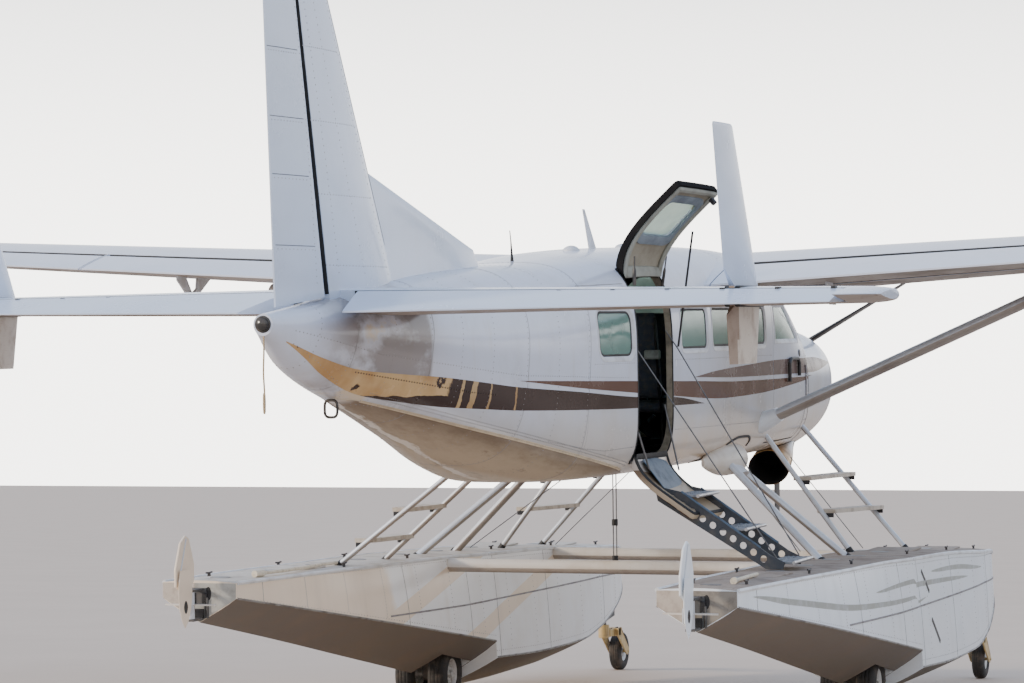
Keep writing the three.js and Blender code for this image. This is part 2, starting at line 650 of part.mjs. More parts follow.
function fin() {
  const blade = loft([[1000, 1], [2600, 1], [3420, 1], [finTop, 0.82]].map(([z, s]) => finRing(z, 0, s)));
  const wall = (z) => finAt(z).hinge + foilHalf(finThickness, hingeFraction(z)) * (finAt(z).lead - finAt(z).trail) + 14;
  const bay = sidePrism([[wall(900), 900], [wall(rudderHigh), rudderHigh + 10], [-9900, rudderHigh + 10],
    [-9900, 900]], -300, 300);
  const dorsalRings = [[1180, 62, -5900, 450], [1396, 46, -5990, 450], [1490, 38, -6084, 420],
    [1896, 22, -7850, 200]];
  const dorsal = loft(dorsalRings.map(([z, half, lead, taper]) => [
    vec(half, lead - taper, z), vec(half * 0.3, lead - 30, z), vec(-half * 0.3, lead - 30, z),
    vec(-half, lead - taper, z), vec(-half, -8200, z), vec(half, -8200, z)]));
  return cut(join(blade, dorsal), bay, wholeFuselage);
}
piece('fin', fin(), paint.white);

const rudderRing = (z) => finRing(z, hingeFraction(z));
const coneTop = sidePrism([[-8250, 1222], [-9450, 1106], [-9450, 900], [-8250, 900]], -300, 300);
const rudderHinge = (z) => vec(0, finAt(z).hinge, z);
const rudderPin = pintle(rudderHinge(rudderHigh - 10), rudderHinge(rudderHigh + 10 - skinGap), [vec(1, 0, 0), vec(0, 1, 0)]);
const rudder = join(cut(loft([rudderLow, 2200, rudderHigh].map(rudderRing)), coneTop), rudderPin);
piece('rudder', rudder, paint.white);

// Horizontal tail at a distance from the centreline
const tailHalfSpan = 3125;
const tailHeight = 1158;
const tailThickness = 0.11;
const elevatorDroop = 7;
function tailAt(x) {
  const t = x / tailHalfSpan;
  return { lead: lerp(-7640, -7870, t), hinge: lerp(-8560, -8350, t), trail: lerp(-9080, -8650, t) };
}

function tailRing(x, start = 0, squash = 1) {
  const { lead, trail } = tailAt(x);
  const chord = lead - trail;
  return foilOutline(tailThickness, 0, start, 6).map(([t, h]) => {
    const near = lerp(0.45, t, squash);
    return vec(x, lead - near * chord, tailHeight + h * chord * squash);
  });
}
const tailHingeFraction = (x) => (tailAt(x).lead - tailAt(x).hinge) / (tailAt(x).lead - tailAt(x).trail);
const elevatorEnd = 2900;

// Small upright fins stand across the stabilizer at three quarters of its span
const finletX = 2286;
function finlet() {
  const section = (z, lead, chord, x) => foilOutline(0.09, 0, 0, 5).map(([t, h]) => vec(x + h * chord, lead - t * chord, z));
  return loft([section(790, -7870, 540, finletX), section(1150, -7800, 680, finletX),
    section(2080, -8330, 385, finletX)]);
}

function stabilizer() {
  const rings = [[60, 1], [2960, 1], [3090, 0.9], [tailHalfSpan, 0.6]].map(([x, s]) => tailRing(x, 0, s));
  const wall = (x) => {
    const { lead, trail, hinge } = tailAt(x);
    return hinge + foilHalf(tailThickness, tailHingeFraction(x)) * (lead - trail) + 14;
  };
  const bay = planPrism([[0, wall(0)], [elevatorEnd + 12, wall(elevatorEnd + 12)],
    [elevatorEnd + 12, -9500], [0, -9500]], tailHeight - 90, tailHeight + 90);
  const notchFront = wall(finletX);
  const notch = sidePrism([[notchFront, tailHeight - 55], [notchFront, tailHeight + 55],
    [-9000, tailHeight + 430], [-9000, tailHeight - 330]], finletX - 100, finletX + 100);
  const finSpace = sidePrism([[-7000, 1000], [-9500, 1000], [-9500, 1500], [-7000, 1500]], -20, 100);
  return cut(join(cut(loft(rings), bay), finlet()), notch, finSpace);
}

// The elevator's inboard end slants away from the rudder
function elevator() {
  const body = loft([150, elevatorEnd].map((x) => tailRing(x, tailHingeFraction(x))));
  const slant = planPrism([[0, -8300], [205, -8300], [205, tailAt(205).hinge], [340, -9200], [0, -9200]], 900, 1400);
  const hingeAt = (x) => vec(x, tailAt(x).hinge, tailHeight);
  const pin = pintle(hingeAt(elevatorEnd - 10), hingeAt(elevatorEnd + 12 - skinGap), acrossX);
  return join(cut(body, slant), pin);
}

const elevatorHinge = [0, tailHalfSpan].map((x) => vec(x, tailAt(x).hinge, tailHeight));

const starboardTail = stabilizer();
const starboardElevator = turned(elevator(), elevatorHinge, elevatorDroop);
for (const [side, name] of [[1, 'right'], [-1, 'left']]) {
  piece(`stabilizer_${name}`, cut(onSide(starboardTail, side), wholeFuselage), paint.white);
  piece(`elevator_${name}`, onSide(starboardElevator, side), paint.white);
}

// Wing struts from the lower cabin side to the underside of each wing
function wingStrut() {
  const foot = vec(735, -1810, 268);
  const head = vec(3160, -1850, 1330);
  const shaft = bar(foot, head, 230, 100, 12);
  const cuff = bar(foot, vec(880, -1812, 332), 330, 150, 12);
  const loweredWing = starboardWing.translate([0, 0, -skinGap]);
  return cut(join(shaft, cuff), loweredWing);
}
const starboardStrut = wingStrut();
for (const [side, name] of [[1, 'right'], [-1, 'left']]) {
  piece(`wing_strut_${name}`, cut(onSide(starboardStrut, side), wholeFuselage), paint.metal);
}

// Cowling: a hollow shell with an opening for the propeller shaft, two side inlets and a chin inlet
function ovalPrism(centreX, centreZ, halfX, halfZ, fromY, toY) {
  return loft([fromY, toY].map((y) => Array.from({ length: 14 }, (_, i) => {
    const angle = 2 * Math.PI * i / 14;
    return vec(centreX + halfX * Math.cos(angle), y, centreZ + halfZ * Math.sin(angle));
  })));
}

const exhaustRoute = [
  { y: 560, x: 285, z: 215, halfX: 100, halfZ: 85 },
  { y: 400, x: 330, z: 95, halfX: 120, halfZ: 100 },
  { y: 120, x: 365, z: 20, halfX: 140, halfZ: 115 },
  { y: -150, x: 405, z: -70, halfX: 158, halfZ: 130 },
  { y: -430, x: 440, z: -128, halfX: 168, halfZ: 138 },
];

function exhaustSolid(shrink, extra = 0) {
  return loft(exhaustRoute.map(({ y, x, z, halfX, halfZ }, row) => Array.from({ length: 16 }, (_, i) => {
    const angle = 2 * Math.PI * i / 16;
    const end = row === 0 ? extra : row === exhaustRoute.length - 1 ? -extra : 0;
    return vec(x + (halfX - shrink) * Math.cos(angle), y + end, z + (halfZ - shrink) * Math.sin(angle));
  })));
}

function cowling() {
  const shell = 18;
  const outer = fuselage(cowlFront, firewallY + skinGap);
  const inner = fuselage(cowlFront - 25, firewallY - 1, -shell);
  const cooling = [-290, 290].map((x) => ovalPrism(x, 700, 110, 75, 1200, 1400));
  return cut(outer, inner, ovalPrism(0, hubHeight, 130, 130, 1200, 1400), ...cooling,
    ovalPrism(0, 370, 200, 70, 1200, 1400), exhaustSolid(-6, 5));
}
piece('cowling', cowling(), paint.white);
piece('exhaust_pipe', cut(exhaustSolid(0), exhaustSolid(8, 5), fuselage(2, -3000, 4)), paint.dark);

// Engine block with the propeller shaft
function cylinderY(radius, fromY, toY, x, z, sides = 16) {
  const geometry = new THREE.CylinderGeometry(radius, radius, toY - fromY, sides);
  geometry.translate(0, (fromY + toY) / 2, 0);
  geometry.translate(x, 0, z);
  return solid(geometry);
}
const shaftRadius = 45;
const collectorFace = exhaustRoute[0].y + skinGap;
const engine = join(block(vec(-170, skinGap, 400), vec(170, 1180, 900)),
  block(vec(100, collectorFace, 190), vec(370, collectorFace + 180, 450)),
  cylinderY(shaftRadius, 1100, 1510, 0, hubHeight));
piece('engine', engine, paint.dark);

// Three feathered blades and their spinner
function propeller() {
  const profile = [[0, 1400], [spinnerRadius, 1400], [spinnerRadius, 1560], [0.93 * spinnerRadius, 1680],
    [0.72 * spinnerRadius, 1800], [0.36 * spinnerRadius, 1895], [0, spinnerTip]];
  const spinner = new THREE.LatheGeometry(profile.map(([r, y]) => new THREE.Vector2(r, y)), 16);
  spinner.translate(0, 0, hubHeight);
  const blade = loft([[200, 55, 60], [420, 45, 150], [800, 28, 195], [1200, 16, 170], [propRadius, 10, 90]]
    .map(([radius, thick, wide]) => Array.from({ length: 8 }, (_, i) => {
      const angle = 2 * Math.PI * i / 8;
      return vec(radius, propPlane + wide / 2 * Math.cos(angle), thick / 2 * Math.sin(angle));
    })));
  const blades = [30, 150, 270].map((degrees) => {
    const turn = new THREE.Matrix4().makeRotationY(degToRad(-degrees));
    turn.setPosition(0, 0, hubHeight);
    return blade.transform(turn.elements);
  });
  return cut(join(outward(spinner), ...blades), cylinderY(shaftRadius + 2, 1300, 1510 + skinGap, 0, hubHeight));
}
piece('propeller', propeller(), paint.dark);

// Float hull sections behind and ahead of the step
const afterbody = [
  { y: -6720, deck: 250, deckZ: -568, chine: 250, chineZ: -665, keelZ: -817 },
  { y: -5550, deck: 300, deckZ: -592, chine: 330, chineZ: -846, keelZ: -1034 },
  { y: -4400, deck: 335, deckZ: -622, chine: 400, chineZ: -1028, keelZ: -1256 },
  { y: -3200, deck: 365, deckZ: -650, chine: 440, chineZ: -1218, keelZ: -1487 },
  { y: stepY - 20, deck: 380, deckZ: -680, chine: 452, chineZ: -1340, keelZ: -1640 },
];
const forebody = [
  { y: stepY, deck: 380, deckZ: -680, chine: 455, chineZ: -1465, keelZ: -1700 },
  { y: -1180, deck: 382, deckZ: -725, chine: 450, chineZ: -1525, keelZ: -1732 },
  { y: -200, deck: 375, deckZ: -783, chine: 425, chineZ: -1540, keelZ: -1736 },
  { y: 450, deck: 350, deckZ: -828, chine: 385, chineZ: -1485, keelZ: -1690 },
  { y: 1000, deck: 300, deckZ: -858, chine: 325, chineZ: -1395, keelZ: -1590 },
  { y: 1400, deck: 245, deckZ: -895, chine: 262, chineZ: -1300, keelZ: -1450 },
  { y: 1640, deck: 175, deckZ: -960, chine: 185, chineZ: -1210, keelZ: -1290 },
  { y: 1740, deck: 90, deckZ: -1050, chine: 95, chineZ: -1150, keelZ: -1170 },
];

// One hull ring: crowned deck, sides with a rail, hard chines and a vee bottom
function hullRing({ y, deck, deckZ, chine, chineZ, keelZ }, grow) {
  const railZ = lerp(deckZ, chineZ, 0.5);
  const rail = lerp(deck, chine, 0.62) + grow;
  const half = [[0, deckZ + 14 + grow], [deck + grow, deckZ + grow], [rail, railZ], [chine + grow, chineZ]];
  const keel = [0, keelZ - grow];
  const mirrored = half.slice(1).reverse().map(([x, z]) => [-x, z]);
  return [...half, keel, ...mirrored].map(([x, z]) => vec(x, y, z));
}

function hullForm(grow = 0) {
  const overlap = 20;
  const front = [{ ...forebody[0], y: stepY }, ...forebody.slice(1)];
  const rear = [...afterbody, { ...afterbody[afterbody.length - 1], y: stepY + overlap }];
  return join(loft(rear.map((row) => hullRing(row, grow))), loft(front.map((row) => hullRing(row, grow))));
}

// Steering lugs on the transom hold the water rudder's post
const steerY = -6850;
const bladePin = vec(0, -6940, -700);
const lugs = { upper: -616, lower: -784, thick: 15 };

function cylinderZ(radius, fromZ, toZ, x, y, sides = 12) {
  const geometry = new THREE.CylinderGeometry(radius, radius, toZ - fromZ, sides);
  geometry.rotateX(Math.PI / 2);
  geometry.translate(x, y, (fromZ + toZ) / 2);
  return solid(geometry);
}

function cylinderX(radius, fromX, toX, y, z, sides = 14) {
  const geometry = new THREE.CylinderGeometry(radius, radius, toX - fromX, sides);
  geometry.rotateZ(Math.PI / 2);
  geometry.translate((fromX + toX) / 2, y, z);
  return solid(geometry);
}

// The bow leg is a closed box below the stem with a swivel pin at its foot
function bowLeg() {
  const outline = [[1500, -1250], [1860, -1225], [1850, -1530], [1590, -1560]];
  return join(sidePrism(outline, -60, 60), cylinderZ(22, -1690, -1500, 0, casterPivotY));
}

function floatHull() {
  const well = block(vec(-245, -3020, -1900), vec(245, stepY - 15, -1150));
  const plates = [lugs.upper, lugs.lower - lugs.thick].map((z) => block(vec(-30, steerY - 20, z), vec(30, -6700, z + lugs.thick)));
  const pins = [cylinderZ(9, -640, -600, 0, steerY), cylinderZ(9, -800, -760, 0, steerY)];
  return join(cut(hullForm(), well), bowLeg(), ...plates, ...pins);
}

// Main gear leg inside the well, with an eye round the twin wheels' axle
const axleRadius = 25;
function mainLeg() {
  const eye = cylinderX(52, -34, 34, mainWheelHub.y, mainWheelHub.z);
  const arm = sidePrism([[-2690, -1150.3], [-2450, -1150.3], [-2600, -1560], [-2700, -1560]], -34, 34);
  return cut(join(arm, eye), cylinderX(axleRadius + 1, -60, 60, mainWheelHub.y, mainWheelHub.z));
}

function tyreProfile(radius, half, bore) {
  return [[-half * 0.5, bore], [-half * 0.6, radius * 0.52], [-half, radius * 0.64], [-half, radius * 0.82],
    [-half * 0.6, radius], [half * 0.6, radius], [half, radius * 0.82], [half, radius * 0.64],
    [half * 0.6, radius * 0.52], [half * 0.5, bore]];
}

function mainWheels() {
  const tyres = [-128, 128].map((x) => wheel(tyreProfile(mainWheelRadius, mainTyreHalf, axleRadius - 5),
    vec(x, mainWheelHub.y, mainWheelHub.z), 22));
  return join(cylinderX(axleRadius, -190, 190, mainWheelHub.y, mainWheelHub.z), ...tyres);
}

// Bow caster: swivel head, crown and two arms with the bow wheel's axle
function bowCaster() {
  const crown = block(vec(-45, 1490, -1715), vec(45, 1955, -1645));
  const head = cylinderZ(48, -1715, -1600, 0, casterPivotY);
  const yoke = block(vec(-84, 1890, -1715), vec(84, 1955, -1645));
  const arms = [-84, 70].map((x) => sidePrism([[1880, -1645], [1955, -1645], [2200, -1850], [2170, -1905],
    [2120, -1890], [1880, -1715]], x, x + 14));
  const axle = cylinderX(13, -84, 84, bowWheelHub.y, bowWheelHub.z);
  const hubFace = bowTyreHalf / 2 + 0.7;
  const collars = [[-74, -hubFace], [hubFace, 74]].map(([x0, x1]) => (
    cylinderX(19, x0, x1, bowWheelHub.y, bowWheelHub.z)));
  return cut(join(crown, head, yoke, ...arms, axle, ...collars), cylinderZ(23, -1695, -1590, 0, casterPivotY));
}

const bowWheel = () => wheel(tyreProfile(bowWheelRadius, bowTyreHalf, 15), bowWheelHub, 22);

// Water rudder post with two cheeks, and the blade that lies between them, stowed tip up
function rudderPost() {
  const post = cylinderZ(24, lugs.lower + 1, lugs.upper - 1, 0, steerY);
  const cheeks = [-20, 13].map((x) => block(vec(x, -6965, -745), vec(x + 7, steerY, -655)));
  const pin = cylinderX(9, -20, 20, bladePin.y, bladePin.z);
  const bores = [cylinderZ(10, -650, -590, 0, steerY), cylinderZ(10, -810, -755, 0, steerY)];
  return cut(join(post, ...cheeks, pin), ...bores);
}

function waterRudder() {
  const outline = [[-34, -44], [34, -44], [40, 0], [40, 90], [132, 150], [132, 260], [60, 420], [10, 440],
    [-60, 400], [-135, 240], [-135, 130], [-45, 90]];
  const blade = sidePrism(outline.map(([y, z]) => [bladePin.y + y, bladePin.z + z]), -8, 8);
  return cut(blade, cylinderX(10, -20, 20, bladePin.y, bladePin.z));
}

const floatPieces = [
  ['float_hull', floatHull(), paint.white],
  ['main_gear_leg', mainLeg(), paint.metal],
  ['main_wheels', mainWheels(), paint.rubber],
  ['bow_caster', bowCaster(), paint.gold],
  ['bow_wheel', bowWheel(), paint.rubber],
  ['rudder_post', rudderPost(), paint.metal],
  ['water_rudder', waterRudder(), paint.metal],
];
for (const [side, name] of [[1, 'right'], [-1, 'left']]) {
  for (const [label, body, colour] of floatPieces) {
    piece(`${label}_${name}`, body.translate([side * floatOffset, 0, 0]), colour);
  }
}

const hullClearance = [1, -1].map((side) => hullForm(skinGap).translate([side * floatOffset, 0, 0]));
const bodyClearance = join(wholeFuselage, ...[1, -1].map((side) => strutFairing(side).translate([0, 0, -skinGap])),
  ...[1, -1].map((side) => strutFairing(side).translate([side * skinGap, 0, 0])));

// Spreader bars between the two floats
for (const [name, y, z] of [['front', -800, -795], ['rear', -3200, -712]]) {
  const spreader = bar(vec(-floatOffset, y, z), vec(floatOffset, y, z), 100, 96, 14);
  piece(`spreader_bar_${name}`, cut(spreader, ...hullClearance), paint.metal);
}

// Float struts of the starboard side: [foot x, y, z, head x, y, z, width, depth]
const strutRows = {
  main: [[1554, -3149, -720, 719, -2769, 40, 96, 52], [1543, -2326, -740, 700, -2622, 40, 96, 52]],
  ladder: [[1422, -1653, -760, 638, -1602, 280, 60, 38], [1558, -295, -830, 571, -163, 280, 60, 38]],
};
const rowBar = ([fx, fy, fz, hx, hy, hz, width, depth]) => bar(vec(fx, fy, fz), vec(hx, hy, hz), width, depth);

// Cuts a strut frame back to the hull below it and to the belly above it
const fitted = (body, side) => cut(onSide(body, side), ...hullClearance, bodyClearance);
const strutFitting = bar(vec(745, -2695, 0), vec(845, -2700, -75), 240, 60);
const mainStruts = join(...strutRows.main.map(rowBar), strutFitting);

// Treads between two slanted rails, at heights given as fractions of the rails
function treads([rear, front], fractions) {
  return fractions.map((t) => {
    const at = ([fx, fy, fz, hx, hy, hz]) => vec(lerp(fx, hx, t), lerp(fy, hy, t), lerp(fz, hz, t));
    const [a, b] = [at(rear), at(front)];
    const corner = (p, x, z) => vec(p.x + x, p.y, p.z + z);
    return loft([a, b].map((p) => [corner(p, -55, -12), corner(p, 55, -12), corner(p, 55, 12), corner(p, -55, 12)]));
  });
}

const boardingLadder = join(...strutRows.ladder.map(rowBar), ...treads(strutRows.ladder, [0.33, 0.57]));

for (const [side, name] of [[1, 'right'], [-1, 'left']]) {
  piece(`main_struts_${name}`, fitted(mainStruts, side), paint.metal);
  piece(`boarding_ladder_${name}`, fitted(boardingLadder, side), paint.metal);
}

// The ladder to the cargo door is on the port side only, so it is mirrored once
const cargoRails = [[1500, -4760, -660, 640, -4750, 60, 56, 36], [1500, -3880, -690, 640, -4150, 40, 56, 36]];
const cargoLadder = join(...cargoRails.map(rowBar), ...treads(cargoRails, [0.3, 0.62]));
piece('cargo_ladder', fitted(cargoLadder, -1), paint.metal);

// A short line hangs from the tail
function tailLine() {
  const route = new THREE.CatmullRomCurve3([vec(0, -9392, 1000), vec(2, -9396, 900), vec(-3, -9394, 780),
    vec(3, -9396, 660), vec(0, -9394, 560)]);
  const radius = 5;
  const section = new THREE.Shape();
  section.absarc(0, 0, radius, 0, 2 * Math.PI);
  const rope = new THREE.ExtrudeGeometry(section, { steps: 12, extrudePath: route, curveSegments: 4 });
  return cut(solid(rope), wholeFuselage);
}
piece('tail_line', tailLine(), paint.rope);

const aircraft = new THREE.Group();
aircraft.rotation.x = parkedPitch;
aircraft.position.set(0, originAhead, standHeight);
aircraft.add(...pieces);

const floatplane = new THREE.Group();
floatplane.add(aircraft);

export default floatplane;
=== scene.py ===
from math import cos, pi, radians, sin, sqrt

import bmesh
import bpy
import numpy as np
from mathutils import Matrix, Vector


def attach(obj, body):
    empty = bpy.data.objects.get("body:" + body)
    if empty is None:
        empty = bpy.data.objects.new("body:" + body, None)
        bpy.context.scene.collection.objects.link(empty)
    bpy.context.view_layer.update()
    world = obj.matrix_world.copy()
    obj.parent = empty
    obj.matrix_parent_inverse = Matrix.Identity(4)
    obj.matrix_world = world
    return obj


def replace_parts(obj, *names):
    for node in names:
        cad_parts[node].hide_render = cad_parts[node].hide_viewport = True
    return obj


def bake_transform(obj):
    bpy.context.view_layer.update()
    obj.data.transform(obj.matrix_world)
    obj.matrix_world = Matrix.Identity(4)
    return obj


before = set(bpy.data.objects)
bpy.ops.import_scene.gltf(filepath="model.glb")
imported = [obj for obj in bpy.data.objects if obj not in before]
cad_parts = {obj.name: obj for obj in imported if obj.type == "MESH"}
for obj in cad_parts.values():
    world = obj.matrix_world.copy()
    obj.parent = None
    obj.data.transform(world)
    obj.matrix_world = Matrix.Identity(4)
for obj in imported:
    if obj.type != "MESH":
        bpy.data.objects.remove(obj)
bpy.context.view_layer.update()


# Camera. It stands low on the apron behind the starboard tail and looks forward and slightly up
# with a long lens. The numbers were solved from points of known size on the aircraft.
lens = bpy.data.cameras.new("camera")
lens.lens = 113.73
lens.sensor_width = 36
lens.clip_end = 6000
camera = bpy.data.objects.new("camera", lens)
bpy.context.scene.collection.objects.link(camera)
eye = (6.8104, -21.6306, 1.6154)
sight_right = (0.94576, 0.32482, 0.00509)
sight_up = (0.0097, -0.04389, 0.99899)
sight_back = (0.32471, -0.94476, -0.04467)
sight = Matrix((sight_right, sight_up, sight_back)).transposed().to_4x4()
camera.matrix_world = Matrix.Translation(eye) @ sight
bpy.context.scene.camera = camera


# Tail line. A short tan cord hangs from the very end of the tail cone, with a whipped, thicker
# end. It is a 10 mm braid, and its route repeats the solid's own points.
nose_up = radians(3)
stand_ahead, stand_height = 3.56568, 1.92224


def parked(points):
    """Aircraft frame to row frame: turned nose-up about x, then moved ahead and up to its stand."""
    x, y, z = np.moveaxis(np.asarray(points, float), -1, 0)
    ahead = cos(nose_up) * y - sin(nose_up) * z + stand_ahead
    return np.stack([x, ahead, sin(nose_up) * y + cos(nose_up) * z + stand_height], -1)


def eased(at, table_x, table_y):
    """A smooth curve through a table: cubic pieces whose slope at each entry is the harmonic mean
    of the slopes on either side, or level where those differ in sign."""
    table_x, table_y = np.asarray(table_x, float), np.asarray(table_y, float)
    if table_x[0] > table_x[-1]:
        table_x, table_y = table_x[::-1], table_y[::-1]
    step = np.diff(table_x)
    chord = np.diff(table_y) / step
    before, after = chord[:-1], chord[1:]
    both = np.where(before + after == 0, 1, before + after)
    inner = np.where(before * after > 0, 2 * before * after / both, 0)
    slope = np.concatenate([chord[:1], inner, chord[-1:]])
    at = np.clip(np.asarray(at, float), table_x[0], table_x[-1])
    k = np.clip(np.searchsorted(table_x, at) - 1, 0, len(step) - 1)
    t, h = (at - table_x[k]) / step[k], step[k]
    return ((1 + 2 * t) * (1 - t) ** 2 * table_y[k] + t * (1 - t) ** 2 * h * slope[k]
            + t * t * (3 - 2 * t) * table_y[k + 1] + t * t * (t - 1) * h * slope[k + 1])


def add(tree, kind, inputs=None, **settings):
    """Adds a node to a node tree, wires the inputs that are sockets and sets the others."""
    node = tree.nodes.new("ShaderNode" + kind)
    for key, value in settings.items():
        setattr(node, key, value)
    for key, value in (inputs or {}).items():
        if isinstance(value, bpy.types.NodeSocket):
            tree.links.new(value, node.inputs[key])
        else:
            node.inputs[key].default_value = value
    return node


def calc(tree, operation, *values):
    """One arithmetic node, and the socket of its result."""
    return add(tree, "Math", dict(enumerate(values)), operation=operation).outputs[0]


def blended(tree, share, first, second):
    """A mix of two colours by a share, and the socket of its result."""
    return add(tree, "Mix", {0: share, 6: first, 7: second}, data_type="RGBA").outputs[2]


def ramp(tree, value, low, high, to_low=0.0, to_high=1.0):
    """Carries a value from one range to another with soft ends, and gives the socket."""
    inputs = {"Value": value, "From Min": low, "From Max": high, "To Min": to_low, "To Max": to_high}
    return add(tree, "MapRange", inputs, interpolation_type="SMOOTHSTEP").outputs[0]


def noise(tree, at, scale, detail=3.0, roughness=0.55, stretch=(1, 1, 1)):
    """A cloudy pattern on a position, stretched along the axes, and the socket of its value."""
    place = add(tree, "Mapping", {"Vector": at, "Scale": stretch})
    inputs = {"Vector": place.outputs[0], "Scale": scale, "Detail": detail, "Roughness": roughness}
    return add(tree, "TexNoise", inputs).outputs["Fac"]


def new_finish(name, **plain):
    """A material with its shader's plain values set, and returned with its tree and shader."""
    finish = bpy.data.materials.new(name)
    finish.use_nodes = True
    shader = finish.node_tree.nodes["Principled BSDF"]
    for key, value in plain.items():
        shader.inputs[key.replace("_", " ").title().replace("Ior", "IOR")].default_value = value
    return finish, finish.node_tree, shader


def surfaced(tree, shader, colour, rough, height, strength, distance=0.02):
    """Wires a colour, a roughness and the bump of a height into a shader."""
    bump = add(tree, "Bump", {"Height": height, "Strength": strength, "Distance": distance})
    for key, socket in (("Base Color", colour), ("Roughness", rough), ("Normal", bump.outputs[0])):
        tree.links.new(socket, shader.inputs[key])


def times(colour, factor):
    """A colour made darker or lighter by a factor, with its alpha."""
    return (*(factor * c for c in colour), 1)


def new_group(name, inputs, outputs):
    """An empty node group with named sockets, given as name: (kind, value)."""
    tree = bpy.data.node_groups.new(name, "ShaderNodeTree")
    for key, (kind, value) in inputs.items():
        socket = tree.interface.new_socket(key, in_out="INPUT", socket_type="NodeSocket" + kind)
        if value is not None:
            socket.default_value = value
    for key, kind in outputs.items():
        tree.interface.new_socket(key, in_out="OUTPUT", socket_type="NodeSocket" + kind)
    entry = tree.nodes.new("NodeGroupInput")
    leave = tree.nodes.new("NodeGroupOutput")
    return tree, entry.outputs, leave.inputs


def use_group(tree, group, **inputs):
    """Places a node group in a material and gives its outputs."""
    node = tree.nodes.new("ShaderNodeGroup")
    node.node_tree = group
    for key, value in inputs.items():
        key = key.replace("_", " ").capitalize()
        if isinstance(value, bpy.types.NodeSocket):
            tree.links.new(value, node.inputs[key])
        else:
            node.inputs[key].default_value = value
    return node.outputs


# The position in the aircraft's own frame, so that patterns follow its waterlines
aircraft_place, _, given = new_group("aircraft place", {}, {"Position": "Vector"})
object_place = add(aircraft_place, "TexCoord").outputs["Object"]
stood = add(aircraft_place, "VectorMath", {0: object_place, 1: (0, stand_ahead, stand_height)},
            operation="SUBTRACT")
levelled = add(aircraft_place, "VectorRotate", {"Vector": stood.outputs[0], "Angle": -nose_up},
               rotation_type="X_AXIS")
aircraft_place.links.new(levelled.outputs[0], given["Position"])

# Wear that every finish shares: blotches of grime, fine scratches, and the bump that both make
wear, taken, given = new_group(
    "wear",
    {"Size": ("Float", 1.0), "Grime": ("Float", 0.5), "Relief": ("Float", 0.2)},
    {"Blotch": "Float", "Scratch": "Float", "Height": "Float"})
worn_at = use_group(wear, aircraft_place)["Position"]
sized = add(wear, "VectorMath", {0: worn_at, "Scale": taken["Size"]}, operation="SCALE").outputs[0]
cloud = noise(wear, sized, 2.2, 6, 0.62)
fine_cloud = noise(wear, sized, 38, 3, 0.6)
blotch = calc(wear, "MULTIPLY", ramp(wear, cloud, 0.42, 0.72), taken["Grime"])
long_noise = noise(wear, sized, 60, 2, 0.5, (1.0, 0.05, 1.0))
scratch = calc(wear, "MULTIPLY", ramp(wear, long_noise, 0.62, 0.78), taken["Grime"])
relief = calc(wear, "MULTIPLY", calc(wear, "ADD", cloud, calc(wear, "MULTIPLY", fine_cloud, 0.12)),
              taken["Relief"])
for key, socket in (("Blotch", blotch), ("Scratch", scratch), ("Height", relief)):
    wear.links.new(socket, given[key])


def worn_finish(name, colour, grimy, roughness, size=1.0, grime=0.5, relief=0.2, **plain):
    """A finish of one colour that grime, scratches and a slight unevenness break up."""
    finish, tree, shader = new_finish(name, **plain)
    out = use_group(tree, wear, size=size, grime=grime, relief=relief)
    dirty = calc(tree, "MAXIMUM", out["Blotch"], out["Scratch"])
    soiled = blended(tree, dirty, (*colour, 1), (*grimy, 1))
    rough = calc(tree, "MULTIPLY_ADD", dirty, 0.25, roughness)
    surfaced(tree, shader, soiled, rough, out["Height"], 0.15)
    return finish


rope_finish, rope_tree, rope_shader = new_finish("tan braid", roughness=0.85, sheen_weight=0.2)
rope_at = add(rope_tree, "TexCoord").outputs["Object"]
strands = add(rope_tree, "TexWave", {"Vector": rope_at, "Scale": 45, "Distortion": 2, "Detail": 2},
              bands_direction="DIAGONAL")
rope_tree.links.new(blended(rope_tree, strands.outputs["Fac"], (0.30, 0.20, 0.10, 1),
                            (0.62, 0.48, 0.30, 1)),
                    rope_shader.inputs["Base Color"])
rope_bump = add(rope_tree, "Bump", {"Height": strands.outputs["Fac"], "Strength": 0.5, "Distance": 0.002})
rope_tree.links.new(rope_bump.outputs[0], rope_shader.inputs["Normal"])


def loft(rings, ends=True):
    """Rings of points (rings, points, 3), each closed on itself and joined to the next by quads,
    with one face over the first ring and one over the last."""
    rings = np.asarray(rings, float)
    index = np.arange(rings.shape[0] * rings.shape[1]).reshape(rings.shape[:2])
    beside = np.roll(index, -1, axis=1)
    faces = np.stack([index[:-1], beside[:-1], beside[1:], index[1:]], -1).reshape(-1, 4).tolist()
    if ends:
        faces += [index[0, ::-1].tolist(), index[-1].tolist()]
    return rings.reshape(-1, 3), faces


def joined(parts):
    """Several bodies of points and faces as one."""
    points, faces, start = [], [], 0
    for body_points, body_faces in parts:
        points.append(body_points)
        faces += [[start + i for i in face] for face in body_faces]
        start += len(body_points)
    return np.concatenate(points), faces


